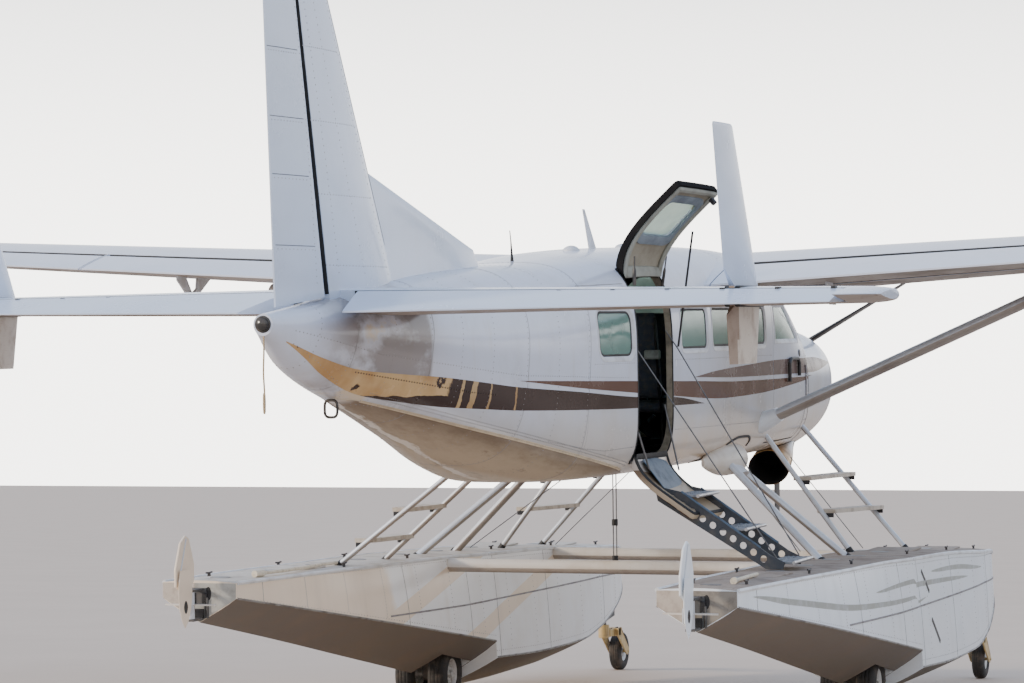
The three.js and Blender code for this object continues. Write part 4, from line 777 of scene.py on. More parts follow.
in_crew_door = (rivet_y > -1.6) & (rivet_y < -0.4) & (rivet_z > 0.08)
hull_rivets = hull_rivets[~in_passenger_door & ~in_crew_door]
hull_heads = studs(hull_rivets, skin_normal(hull_rivets))
beside_cargo_door = np.abs(hull_rivets[:, 1] + 4.2) > 0.67
port_rivets = hull_rivets[beside_cargo_door]
build("body_rivets_right", [hull_heads], "airframe", rivet_metal)
build("body_rivets_left", [mirrored(studs(port_rivets, skin_normal(port_rivets)))], "airframe",
      rivet_metal)

sheet_edges = [strap(row, skin_normal(row), 0.004) for row in
               [skin(y + 0.02 + frame_lean * np.sin(frame_angle) * (y < -5), frame_angle)
                for y in (-8.60, -7.73, -6.5, -5.6, -0.1)]]
edge_lines = [[(-4.15, 0.055), (-2.9, 0.05)], [(-5.55, 1.26), (-4.9, 1.28)]]
for knots in edge_lines:
    row = side_path(knots)
    sheet_edges.append(strap(row, skin_normal(row), 0.005))
build("sheet_edges_right", sheet_edges, "airframe", joint_edge)
build("sheet_edges_left", sided(sheet_edges, -1), "airframe", joint_edge)


# Belly joint. A cream lap strip closes the side sheets over the brown belly, with one row of rivets
# in it and two close rows above it, and its line rises aft like the edge of the coating.
lap_paint = worn_finish("cream lap strip", (0.66, 0.54, 0.37), (0.36, 0.27, 0.18), 0.4, 6, 0.6)
lap_y = np.linspace(-8.28, -4.86, 100)
lap_z = 0.018 - 0.158 * (lap_y + 4.6)
lap = side(lap_y, lap_z)
lap_strip = strap(lap, skin_normal(lap), 0.020, 0.0016)
lap_rows = np.concatenate([evenly(side(lap_y, lap_z + lift), 0.022) for lift in (0.002, 0.028, 0.045)]
                          + [evenly(side_path([(-6.1, 0.29), (-5.6, 0.225), (-5.3, 0.20), (-4.88, 0.21)]),
                                    0.024)])
lap_heads = studs(lap_rows, skin_normal(lap_rows), 0.0042, 0.0026)
band_mark = evenly(side_path([(-8.55, 0.767), (-7.707, 0.677), (-7.225, 0.625), (-6.9, 0.60)]), 0.03)
band_heads = studs(band_mark, skin_normal(band_mark), 0.006, 0.004)
dark_head = worn_finish("dark rivet paint", (0.05, 0.032, 0.02), (0.12, 0.08, 0.05), 0.5, 6, 0.5)
for part, pieces, finish in (("belly_lap", [lap_strip], lap_paint),
                             ("belly_lap_rivets", [lap_heads], rivet_metal),
                             ("stripe_rivets", [band_heads], dark_head)):
    build(part, both(pieces), "airframe", finish)


# Windows. Each pane is 4 mm of acrylic with a faint green tint, held from inside by a ring, and a
# thin white bead runs round the hole in the skin.
def glass_finish(name, tint):
    """Tinted acrylic, darker and duller where it is blotched."""
    finish, tree, shader = new_finish(name, metallic=0.0, transmission_weight=0.62, ior=1.49,
                                     specular_ior_level=0.3)
    out = use_group(tree, wear, size=3.0, grime=0.35, relief=0.15)
    colour = blended(tree, out["Blotch"], (*tint, 1), times(tint, 0.7))
    rough = calc(tree, "MULTIPLY_ADD", out["Blotch"], 0.25, 0.05)
    surfaced(tree, shader, colour, rough, out["Height"], 0.05, 0.01)
    return finish


window_glass = glass_finish("green tinted acrylic", (0.36, 0.60, 0.52))
screen_glass = glass_finish("clear acrylic", (0.50, 0.68, 0.62))
bead_paint = worn_finish("white bead paint", (0.66, 0.68, 0.72), (0.35, 0.32, 0.29), 0.4, 3, 0.5)


def spaced(outline, like=None, step=0.045):
    """An outline with more points along its sides, as many as another outline's sides need."""
    outline = np.asarray(outline, float)
    like = outline if like is None else np.asarray(like, float)
    count = np.ceil(np.linalg.norm(np.roll(like, -1, 0) - like, axis=1) / step).astype(int)
    start, stop = np.repeat(outline, count, axis=0), np.repeat(np.roll(outline, -1, 0), count, axis=0)
    share = (np.arange(count.sum()) - np.repeat(np.cumsum(count) - count, count)) / np.repeat(count, count)
    return start + share[:, None] * (stop - start)


def pane(outline):
    """A curved pane within an outline: rings that shrink to its middle, outside and inside."""
    outside, inside = -0.010, -0.016
    outline = spaced(outline)
    middle = outline.mean(0)
    shares = np.array([0.02, 0.3, 0.55, 0.8, 1.0])
    rings = []
    for share, grow in [(s, outside) for s in shares] + [(s, inside) for s in shares[::-1]]:
        at = middle + share * (outline - middle)
        rings.append(side(at[:, 0], at[:, 1], grow))
    return loft(rings)


def rim(outline_at, profile):
    """A ring whose section is a list of (distance outward, height over the skin), carried round
    an outline that is given by that distance."""
    like = outline_at(0)
    rings = []
    for out, grow in profile + profile[:1]:
        at = spaced(outline_at(out), like)
        rings.append(side(at[:, 0], at[:, 1], grow))
    return loft(rings, ends=False)


def window_outline(name):
    """A window's outline as a function of the distance outward from it."""
    rear, front, bottom, top, radius = windows[name]
    return lambda out: rounded(rear - out, front + out, bottom - out, top + out, radius + out)


bead_profile = [(-0.022, -0.018), (-0.022, -0.009), (-0.004, 0.002), (0.012, 0.0025), (0.014, 0.0),
                (0.012, -0.012), (-0.002, -0.02)]
gasket_profile = [(-0.036, -0.017), (-0.036, -0.0085), (-0.021, -0.0075), (-0.021, -0.017)]
for hand, names in ((1, ("first", "second", "third", "aft")), (-1, ("first", "second", "aft"))):
    label = "right" if hand > 0 else "left"
    panes = sided([pane(window_outline(name)(-0.003)) for name in names], hand)
    beads = sided([rim(window_outline(name), bead_profile) for name in names], hand)
    gaskets = sided([rim(window_outline(name), gasket_profile) for name in names], hand)
    replaced = build(f"cabin_panes_{label}", panes, "airframe", window_glass)
    build(f"window_beads_{label}", beads, "airframe", bead_paint)
    build(f"window_gaskets_{label}", gaskets, "airframe", black_seal)
    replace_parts(replaced, f"windows_{label}", f"aft_window_{label}")


# Roof fittings: a low dome, a swept aerial blade, a flat fairing, a thin upright blade and a dark
# whip, each with its foot sunk in the skin
crown = lambda y: float(section_at(np.array(y))[3])
dome_turn = np.linspace(0, pi / 2, 8)
dome_path = np.stack([0 * dome_turn, -4.07 + 0 * dome_turn,
                      crown(-4.07) - 0.008 + 0.045 * np.sin(dome_turn)], -1)
dome = tube(dome_path, 0.062 * np.cos(dome_turn).clip(0.04), 28)
fairing_rise = np.linspace(0, 1, 13)
fairing_turn = 2 * pi * np.arange(24) / 24
fairing_size = np.sqrt(1 - fairing_rise ** 2).clip(0.05)
roof_fairing = loft([np.stack([0.07 * s * np.cos(fairing_turn), -2.78 + 0.16 * s * np.sin(fairing_turn),
                               0 * fairing_turn + crown(-2.78) - 0.006 + 0.035 * r], -1)
                     for r, s in zip(fairing_rise, fairing_size)])
swept_top = crown(-3.6) + 0.27
swept = [(-3.50, crown(-3.5) - 0.01), (-3.66, crown(-3.66) - 0.01), (-3.80, swept_top), (-3.765, swept_top)]
upright = [(-0.36, 1.16), (-0.44, 1.2), (-0.45, 1.56), (-0.415, 1.56)]
blade_aerials = [prism(swept, -0.004, 0.004), prism(upright, -0.003, 0.003)]
build("roof_fittings", [dome, roof_fairing] + blade_aerials, "airframe", bead_paint)
whip = np.array([(0, -5.32, 1.425), (0, -5.325, 1.47), (0, -5.34, 1.56), (0, -5.36, 1.63)])
build("roof_whip", [tube(whip, [0.012, 0.008, 0.004, 0.003], 10)], "airframe", black_seal)


# Doors. Each is a pressed skin with an inner panel, a window and a fat rubber seal round its edge.
# The two passenger halves stand open: the upper one lifted on two struts, the lower one let down.
door_trim = worn_finish("olive grey door trim", (0.30, 0.275, 0.215), (0.16, 0.14, 0.11), 0.65, 2.5, 0.5)
door_border = worn_finish("grey green door border", (0.31, 0.32, 0.28), (0.14, 0.13, 0.11), 0.6, 3, 0.5)
matt_rubber = worn_finish("matt black rubber", (0.010, 0.010, 0.011), (0.03, 0.028, 0.025), 0.9, 4, 0.3,
                          specular_ior_level=0.08)
# The upper passenger door's pane is a paler copy of the tinted acrylic: painted sunlight
sunlit_glass = glass_finish("sunlit mint acrylic", (0.80, 0.97, 0.88))
dark_strut = worn_finish("dark door strut", (0.06, 0.058, 0.056), (0.22, 0.19, 0.16), 0.45, 5, 0.5,
                         metallic=0.4)
door_frame_blue = worn_finish("blue grey window surround", (0.20, 0.25, 0.31), (0.09, 0.10, 0.12), 0.5, 2.5)
strut_steel = worn_finish("bright strut steel", (0.62, 0.63, 0.65), (0.25, 0.23, 0.2), 0.28, 5, 0.5,
                          metallic=0.9)
black_metal = worn_finish("black painted metal", (0.016, 0.016, 0.018), (0.07, 0.06, 0.055), 0.42, 3, 0.5)


def door_skin(outer_at, hole_at=None):
    """A door's wall between its outline and its window hole, or whole: outer face, edge, inner
    face, each ring a step from one outline to the other."""
    thick, rows = 0.040, 16
    like = outer_at(0)
    edge = spaced(outer_at(0), like)
    hole = spaced(hole_at(0), like) if hole_at else edge.mean(0) + 0.02 * (edge - edge.mean(0))
    steps = [(s, 0.0) for s in np.linspace(0, 0.985, rows)] + [(1.0, -0.004)]
    steps += [(1.0, -thick + 0.006)] + [(s, -thick) for s in np.linspace(0.99, 0, rows)]
    rings = [side(*(hole + share * (edge - hole)).T, grow) for share, grow in steps]
    return loft(rings + (rings[:1] if hole_at else []), ends=not hole_at)


def undersides(obj, limit=-0.45):
    """Gives the second finish to the faces that look down, by the height of their normal."""
    mesh = obj.data
    facing = np.empty(len(mesh.polygons) * 3)
    mesh.polygons.foreach_get("normal", facing)
    mesh.polygons.foreach_set("material_index", (facing[2::3] < limit).astype(np.int32))
    return obj


door_finishes = [body_paint, door_trim]
upper_at = lambda out: rounded(-4.827 - out, -4.233 + out, 0.671 - out, 1.370 + out, 0.028 + out)
upper_hole = window_outline("passenger door")
upper_skin = build("passenger_upper_skin", [door_skin(upper_at, upper_hole)], "passenger_door_upper",
                   door_finishes, turn=door_lifted)
undersides(upper_skin, 0.05)
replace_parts(upper_skin, "passenger_door_upper")
trim_profile = [(0.055, -0.0395), (0.05, -0.048), (0.0, -0.05), (-0.012, -0.044), (-0.012, -0.03),
                (0.05, -0.03)]
seal_profile = [(0.018, -0.040), (0.022, -0.052), (0.010, -0.062), (-0.010, -0.062), (-0.022, -0.050),
                (-0.018, -0.039)]
edge_profile = [(0.003, 0.0015), (0.003, -0.042), (-0.014, -0.042), (-0.014, -0.0395), (-0.001, -0.038),
                (-0.001, -0.001), (-0.020, -0.001), (-0.020, 0.0015)]
for part, ring, slot, finish in (
        ("trim", rim(upper_hole, trim_profile), "cloth", door_frame_blue),
        ("seal", rim(lambda out: upper_at(out - 0.03), seal_profile), "tyre", door_border),
        ("edge", rim(upper_at, edge_profile), "tyre", matt_rubber),
        ("pane", pane(upper_hole(-0.003)), "glazing", sunlit_glass)):
    build(f"passenger_upper_{part}", [ring], "passenger_door_upper", finish, turn=door_lifted)
for part, start, stop, thick in (("upper_strut_rear", (0.672, -4.81, 1.27), (0.672, -4.80, 1.46), 0.0085),
                                 ("upper_strut_front", (0.70, -4.25, 1.27), (0.735, -4.26, 1.47), 0.007)):
    route = np.linspace(start, stop, 9)
    swell = np.where(np.arange(9) < 5, thick * 1.5, thick * 0.7)
    strut = build(part, [tube(route, swell)], None, dark_strut)
    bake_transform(strut)
pull_route = np.linspace((0.93, -4.30, 1.63), (0.805, -4.245, 0.86), 12)
build("door_pull_rod", [tube(pull_route, 0.0075)], "passenger_door_upper", black_metal)
upper_latch = [prism(rounded(-4.35, -4.31, 0.70, 0.735, 0.01), 0.63, 0.668)]
build("passenger_upper_latch", upper_latch, "passenger_door_upper", black_metal,
      turn=door_lifted)

# The lower half is the airstair: the curved door, a sloped top plate, two cheek plates pierced to
# save weight, and three treads with bright noses. Two cables and two stays hold it.
stair_metal = worn_finish("blue grey stair paint", (0.10, 0.145, 0.20), (0.04, 0.04, 0.045), 0.4, 4, 0.6,
                          metallic=0.35)
cheek_metal = worn_finish("slate cheek paint", (0.055, 0.066, 0.082), (0.16, 0.14, 0.12), 0.45, 4, 0.6,
                          metallic=0.3)
tread_metal = worn_finish("scuffed tread metal", (0.30, 0.33, 0.37), (0.10, 0.09, 0.08), 0.45, 6, 0.7,
                          metallic=0.6)
lower_at = lambda out: rounded(-4.827 - out, -4.233 + out, 0.106 - out, 0.665 + out, 0.028 + out)
stair_skin = build("airstair_skin", [door_skin(lower_at)], "airstair_door", door_finishes,
                   turn=stair_lowered)
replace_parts(stair_skin, "airstair_door")
lower_profile = [(0.010, -0.028), (0.013, -0.038), (0.006, -0.048), (-0.006, -0.048), (-0.012, -0.039)]
lower_seal = rim(lambda out: lower_at(out - 0.012), lower_profile)
build("airstair_seal", [lower_seal], "airstair_door", black_seal, turn=stair_lowered)
cheek_outline = [(0.78, -0.05), (0.80, -0.15), (1.53, -0.59), (1.64, -0.59), (1.655, -0.545),
                 (1.56, -0.50), (0.96, -0.09)]
hole_share = np.linspace(0.03, 0.95, 10)
hole_middles = np.stack([0.88 + hole_share * 0.665, -0.122 - hole_share * 0.423], -1)
round_turn = 2 * pi * np.arange(20) / 20
hole_radius = 0.0235
for part, near, far in (("airstair_cheek_rear", -4.76, -4.746), ("airstair_cheek_front", -4.284, -4.27)):
    cheek = build(part, [prism(spaced(cheek_outline), near, far, axis=1)], "airstair_door",
                  cheek_metal)
    carve(cheek, [prism(middle + hole_radius * np.stack([np.cos(round_turn), np.sin(round_turn)], -1),
                        near - 0.01, far + 0.01, axis=1) for middle in hole_middles])
    path = np.array([(x, (near + far) / 2, z) for x, z in spaced([(0.96, -0.09), (1.56, -0.50)])[:16]])
    build(part + "_edge", [tube(path, 0.009, 8)], "airstair_door", stair_metal)


def box(low, high):
    """A plain box between two corners."""
    (x0, y0, z0), (x1, y1, z1) = low, high
    return loft([[(x0, y0, z0), (x1, y0, z0), (x1, y0, z1), (x0, y0, z1)],
                 [(x0, y1, z0), (x1, y1, z0), (x1, y1, z1), (x0, y1, z1)]])


def bevelled(obj, width, segments=2):
    """Rounds the edges of a piece, and gives the piece back."""
    bevel = obj.modifiers.new("rounded edges", "BEVEL")
    bevel.width, bevel.segments, bevel.limit_method = width, segments, "ANGLE"
    return obj


tread_places = [(0.905, 1.085, -0.128), (1.215, 1.408, -0.344), (1.535, 1.725, -0.558)]
treads = [box((x0, -4.745, z + 0.002), (x1 - 0.012, -4.272, z + 0.02)) for x0, x1, z in tread_places]
bevelled(build("airstair_treads", treads, "airstair_door", tread_metal), 0.003)
noses = [tube(np.linspace((x1 - 0.011, -4.76, z + 0.011), (x1 - 0.011, -4.262, z + 0.011), 3), 0.0115)
         for x0, x1, z in tread_places]
build("airstair_noses", noses, "airstair_door", strut_steel)
grip_places = np.array([(x0 + 0.03 + i * 0.03, -4.70 + k * 0.05, z + 0.02) for x0, x1, z in tread_places
                        for i in range(5) for k in range(9)])
build("airstair_grips", [studs(grip_places, (0, 0, 1), 0.008, 0.003)],
      "airstair_door", tread_metal)
plate_edge = [(0.695, 0.118), (0.70, 0.122), (0.845, -0.063), (0.862, -0.112), (0.855, -0.114),
              (0.838, -0.066)]
top_plate = prism(plate_edge, -4.755, -4.285, axis=1)
bevelled(build("airstair_top_plate", [top_plate], "airstair_door", stair_metal), 0.002)
stays = (("stair_cable_rear", (0.695, -4.83, 0.84), (1.60, -4.752, -0.52), 0.0045),
         ("stair_cable_front", (0.80, -4.245, 0.85), (1.63, -4.277, -0.53), 0.0045),
         ("stair_cable_upper", (0.712, -4.235, 0.97), (0.80, -4.245, 0.85), 0.0045),
         ("stair_stay_rear", (0.692, -4.825, 0.30), (0.745, -4.758, 0.055), 0.0065),
         ("stair_stay_front", (0.70, -4.232, 0.47), (0.81, -4.28, 0.03), 0.0065))
cable_steel = worn_finish("dull cable steel", (0.13, 0.13, 0.135), (0.30, 0.28, 0.26), 0.4, 9, 0.6,
                          metallic=0.5)
for part, start, stop, thick in stays:
    body = "airframe" if part == "stair_cable_upper" else None
    stay = build(part, [tube(np.linspace(start, stop, 24), thick, 10)], body, cable_steel)
    if not body:
        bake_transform(stay)

# Round every doorway a black seal lies in the rebate of the frame. The jamb of the open one is
# painted olive, with a black edge.
door_jamb = worn_finish("olive door jamb", (0.27, 0.235, 0.175), (0.08, 0.07, 0.055), 0.6, 5, 0.7)
doorway_seal = [(0.002, -0.012), (0.002, -0.030), (-0.006, -0.036), (-0.0055, -0.014)]
passenger_at = lambda out: rounded(-4.84 - out, -4.22 + out, 0.098 - out, 1.378 + out, 0.03 + out)
cargo_at = lambda out: rounded(-4.84 - out, -3.57 + out, 0.098 - out, 1.378 + out, 0.03 + out)
door_gap = 0.006
crew_at = lambda out: crew_outline(door_gap - out)
crew_way = lambda out: crew_outline(-out)
jamb_profile = [(0.004, 0.002), (0.004, -0.044), (-0.0055, -0.044), (-0.0055, 0.0)]
doorway_edge = [(0.006, 0.003), (0.006, -0.003), (-0.0058, -0.003), (-0.0058, 0.003)]
build("passenger_doorway_seal", [rim(passenger_at, jamb_profile)], "airframe", door_jamb)
build("passenger_doorway_edge", [rim(passenger_at, doorway_edge)], "airframe", black_seal)
build("cargo_doorway_seal", sided([rim(cargo_at, doorway_seal)], -1), "airframe", black_seal)

# Hinges show as knuckles along the roof and the sill, three to a door half, and beside the crew
# doors. The middle knuckle belongs to the door.
cargo_roof_hinge = ((-0.5803, -4.84, 1.374), (-0.7066, -3.57, 1.374))
cargo_sill_hinge = ((-0.6261, -4.84, 0.102), (-0.7208, -3.57, 0.102))
hinges = {"passenger_roof": (*roof_hinge, "passenger_door_upper"),
          "passenger_sill": (*sill_hinge, "airstair_door"),
          "cargo_roof": (*cargo_roof_hinge, "cargo_door_upper"),
          "cargo_sill": (*cargo_sill_hinge, "cargo_door_lower"),
          "crew_right": ((0.7474, -0.423, 0.43), (0.7474, -0.423, 0.69), "crew_door_right"),
          "crew_left": ((-0.7474, -0.423, 0.43), (-0.7474, -0.423, 0.69), "crew_door_left")}
for part, (start, stop, body) in hinges.items():
    start, stop = np.array(start), np.array(stop)
    for index, (low, high) in enumerate(((0.04, 0.33), (0.345, 0.655), (0.67, 0.96))):
        knuckle = tube([start + low * (stop - start), start + high * (stop - start)], 0.0075, 12)
        build(f"{part}_knuckle_{index}", [knuckle], body if index == 1 else "airframe",
              rivet_metal)

# Seats. Three on each side stand on two floor rails: a cloth cushion and a tall back crowned by
# their stuffing, on a bent tube frame with a pale piping along the seams.
seat_cloth = worn_finish("blue grey seat cloth", (0.10, 0.12, 0.16), (0.22, 0.20, 0.18), 0.9, 14, 0.6,
                         0.6, sheen_weight=0.3)
piping = worn_finish("pale seat piping", (0.42, 0.40, 0.36), (0.22, 0.19, 0.16), 0.8, 10, 0.5)


def cushion(x, start, stop, wide, thick, crown=0.018):
    """A stuffed pad from start to stop in (station, height): a rounded section of power 5 whose
    faces swell by a crown that fades to the seams."""
    start, stop = np.array(start), np.array(stop)
    along = (stop - start) / np.linalg.norm(stop - start)
    out = np.array((-along[1], along[0]))
    share, turn = np.linspace(0, 1, 22), 2 * pi * np.arange(40) / 40
    end = (1 - np.abs(2 * share - 1) ** 6) ** (1 / 3)
    reach = (np.abs(np.cos(turn)) ** 5 + np.abs(np.sin(turn)) ** 5) ** (-0.2)
    rings = []
    for s, e in zip(share, end.clip(0.12)):
        across = np.cos(turn) * reach
        swell = thick / 2 + crown * (1 - across ** 4) * sin(pi * s)
        place = start + s * (stop - start) + (np.sin(turn) * reach * swell * e)[:, None] * out
        rings.append(np.column_stack([x + across * wide / 2 * (0.93 + 0.07 * e), place]))
    return loft(rings)


pouch = worn_finish("pale grey pouch", (0.62, 0.66, 0.62), (0.30, 0.29, 0.26), 0.8, 8, 0.5)
bevelled(build("seat_pouch", [box((0.42, -3.775, 0.77), (0.535, -3.735, 0.835))], "airframe",
               pouch), 0.012, 3)
for hand, label in hands:
    pads, cords, frames = [], [], []
    for front in (-0.96, -2.08, -3.06):
        pads += [cushion(0.305, (front - 0.02, 0.438), (front - 0.46, 0.428), 0.385, 0.062, 0.012),
                 cushion(0.305, (front - 0.505, 0.50), (front - 0.655, 1.09), 0.375, 0.062, 0.012)]
        bend = ((0.05, 0.402), (0.29, 0.40), (0.53, 0.405), (0.60, 0.60), (0.665, 0.92), (0.675, 1.06))
        frames += [tube([(x, front - aft, z) for aft, z in bend], 0.0085, 10) for x in (0.119, 0.491)]
        frames += [tube([(x, front - 0.29, z) for z in (0.135, 0.40)], 0.013, 12) for x in (0.178, 0.428)]
        seam = ((0.125, 0.012, 0.452), (0.305, 0.008, 0.456), (0.485, 0.012, 0.452))
        cords.append(tube([(x, front - aft, z) for x, aft, z in seam], 0.004, 8))
    frames += [box((x0, -3.72, 0.0985), (x1, -0.90, 0.131)) for x0, x1 in ((0.16, 0.195), (0.41, 0.445))]
    seats = build(f"seat_cushions_{label}", sided(pads, hand), "airframe", seat_cloth, sharp=60)
    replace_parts(seats, f"seats_{label}")
    build(f"seat_piping_{label}", sided(cords, hand), "airframe", piping)
    build(f"seat_frames_{label}", sided(frames, hand), "airframe", black_metal)

# Crew doors and the cargo door are shut. The crew doors are front-hinged and the cargo door splits
# into an upper and a lower half like the passenger door.
def crew_hole(out):
    """A crew door's window hole, grown by a distance."""
    return [(-0.64 + out, 0.866 - out), (-1.5 - out, 0.866 - out), (-1.5 - out, 1.15 + out),
            (-1.06 + 0.4 * out, 1.15 + out), (-0.64 + out, 0.905 + 0.6 * out)]


for hand, label in hands:
    body = f"crew_door_{label}"
    skin_piece = build(f"{body}_skin", sided([door_skin(crew_at, crew_hole)], hand), body,
                       door_finishes)
    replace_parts(skin_piece, body)
    build(f"{body}_doorway_seal", sided([rim(crew_way, doorway_seal)], hand), "airframe",
          black_seal)
    build(f"{body}_bead", sided([rim(crew_hole, bead_profile)], hand), body, bead_paint)
    build(f"{body}_pane", sided([pane(crew_hole(-0.003))], hand), body, window_glass)
    handle_mark = side_path([(-0.75, 0.60), (-0.75, 0.70), (-0.79, 0.735), (-1.05, 0.735), (-1.10, 0.70),
                             (-1.10, 0.56)], 40)
    handle = tube(handle_mark + 0.018 * skin_normal(handle_mark), 0.014, 10)
    build(f"{body}_handle", sided([handle], hand), body, black_metal)
    latch_mark = np.array([side(-0.64, 0.775)])
    latch = studs(latch_mark, skin_normal(latch_mark), 0.035, 0.006)
    build(f"{body}_latch", sided([latch], hand), body, black_metal)

cargo_upper_at = lambda out: rounded(-4.827 - out, -3.583 + out, 0.671 - out, 1.370 + out, 0.028 + out)
cargo_lower_at = lambda out: rounded(-4.827 - out, -3.583 + out, 0.106 - out, 0.665 + out, 0.028 + out)
cargo_upper = build("cargo_upper_skin", sided([door_skin(cargo_upper_at)], -1), "cargo_door_upper",
                    door_finishes)
cargo_names = ("cargo fore", "cargo aft")
carve(cargo_upper, [prism(rounded(*windows[name]), -1.2, -0.3) for name in cargo_names])
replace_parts(cargo_upper, "cargo_door_upper")
cargo_lower = build("cargo_lower_skin", sided([door_skin(cargo_lower_at)], -1), "cargo_door_lower",
                    door_finishes)
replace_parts(cargo_lower, "cargo_door_lower")
cargo_beads = [rim(window_outline(name), bead_profile) for name in cargo_names]
cargo_panes = [pane(window_outline(name)(-0.003)) for name in cargo_names]
build("cargo_beads", sided(cargo_beads, -1), "cargo_door_upper", bead_paint)
build("cargo_panes", sided(cargo_panes, -1), "cargo_door_upper", window_glass)

# Windscreen: one curved pane in two bays, with a centre post and a black sealed edge
screen_y = np.linspace(-0.05, -1.03, 40)[:, None]
screen_angle = np.linspace(0.08, pi - 0.08, 100)
screen_rings = np.concatenate([skin(screen_y, screen_angle, -0.008),
                               skin(screen_y, screen_angle[::-1], -0.018)], 1)
screen = build("windscreen_pane", [loft(screen_rings)], "airframe", screen_glass)
carve(screen, [prism(screen_outline, -0.9, 0.9)], "INTERSECT")
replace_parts(screen, "windshield")
post_y = np.linspace(-0.07, -1.01, 30)
post = skin(post_y, pi / 2)
build("windscreen_post", [strap(post, skin_normal(post), 0.05, 0.004, 0.03)], "airframe",
      bead_paint)
screen_edge = side_path([(-0.06, 1.04), (-0.2, 1.005), (-0.455, 0.925), (-0.70, 1.092), (-0.965, 1.27),
                         (-1.0, 1.36)], 60)
side_seal = strap(screen_edge, skin_normal(screen_edge), 0.03, 0.002, 0.02)
front_edge = skin(-0.062 + 0 * frame_angle, np.linspace(0.9, pi - 0.9, 90))
front_seal = strap(front_edge, skin_normal(front_edge), 0.03, 0.002, 0.02)
build("windscreen_seals", both([side_seal]) + [front_seal], "airframe", black_seal)


# Wings. Each panel is a tapered foil riveted from thin sheet, with a bay for the flap and one for
# the aileron. The upper sides are white, and the undersides are brown as painted shade, with dust and
# exhaust soot.
top_paint = painted_skin("white wing paint", (0.70, 0.74, 0.84), (0.66, 0.66, 0.70), (0.6, 0.58, 0.58),
                         -9.0, 0.3, 0.2)
shaded_under_paint = worn_finish("dusty shaded underside", (0.36, 0.29, 0.24), (0.17, 0.125, 0.09), 0.4, 0.8, 0.7, 0.3)


def foil_half(thickness, t):
    """Half the depth of a section at a share t of its chord: 5 thickness (0.2969 root t - 0.126 t
    - 0.3516 t^2 + 0.2843 t^3 - 0.1015 t^4), and a blunt edge of 0.0018 on top of it."""
    return 5 * thickness * (0.2969 * np.sqrt(t) - 0.126 * t - 0.3516 * t ** 2 + 0.2843 * t ** 3
                            - 0.1015 * t ** 4) + 0.0018


def foil_line(camber, t):
    """The height of a section's middle line, which peaks at 0.4 of the chord: camber / 0.16
    (0.8 t - t^2) ahead of the peak and camber / 0.36 (0.2 + 0.8 t - t^2) behind it."""
    ahead = camber / 0.16 * (0.8 * t - t ** 2)
    return np.where(t < 0.4, ahead, camber / 0.36 * (0.2 + 0.8 * t - t ** 2))


def foil(thickness, camber=0.0, start=0.0):
    """A wing section as (share of chord, height), from the trailing edge over the top to the nose
    and back below. A section that starts aft has a half-round nose."""
    spread = 0.5 * (1 - np.cos(np.linspace(0, pi, 26)))
    t = start + (1 - start) * spread
    middle, half = foil_line(camber, t), foil_half(thickness, t)
    top, low = np.stack([t, middle + half], -1), np.stack([t, middle - half], -1)
    if start == 0:
        return np.concatenate([top[::-1], low[1:]])
    round_angle = np.linspace(pi / 2, 3 * pi / 2, 12)[1:-1]
    round_nose = foil_half(thickness, start) * np.stack([np.cos(round_angle), np.sin(round_angle)], -1)
    return np.concatenate([top[::-1], round_nose + (start, foil_line(camber, start)), low])


wing_span, wing_camber, moving_start = 7.94, 0.022, 0.735
wing_tilt = sin(radians(2.4))


def wing_at(x):
    """Leading edge station, chord and thickness of the wing's section at a distance outboard."""
    share = x / wing_span
    return -1.37 - 0.19 * share, 1.98 - 0.76 * share, 0.172 - 0.052 * share


def wing_place(x, t, height):
    """A wing point: outboard distance, share of chord and height over the chord, in chords."""
    lead, chord, _ = wing_at(x)
    z = 1.235 + 0.058 * x + (1 - t) * chord * wing_tilt + height * chord
    return np.stack(np.broadcast_arrays(x, lead - t * chord, z), -1)


def wing_rings(xs, start=0.0, squash=None):
    """Wing sections at distances outboard, from a share of the chord aft, and squashed by a share."""
    rings = []
    for x, s in zip(xs, squash if squash is not None else np.ones(len(xs))):
        outline = foil(wing_at(x)[2], wing_camber, start)
        rings.append(wing_place(x, 0.45 + s * (outline[:, 0] - 0.45), outline[:, 1] * s))
    return rings


def wing_wall(x):
    """The station of the flat wall at the front of the flap and aileron bays."""
    lead, chord, thickness = wing_at(x)
    return lead - chord * (moving_start - foil_half(thickness, moving_start)) + 0.014


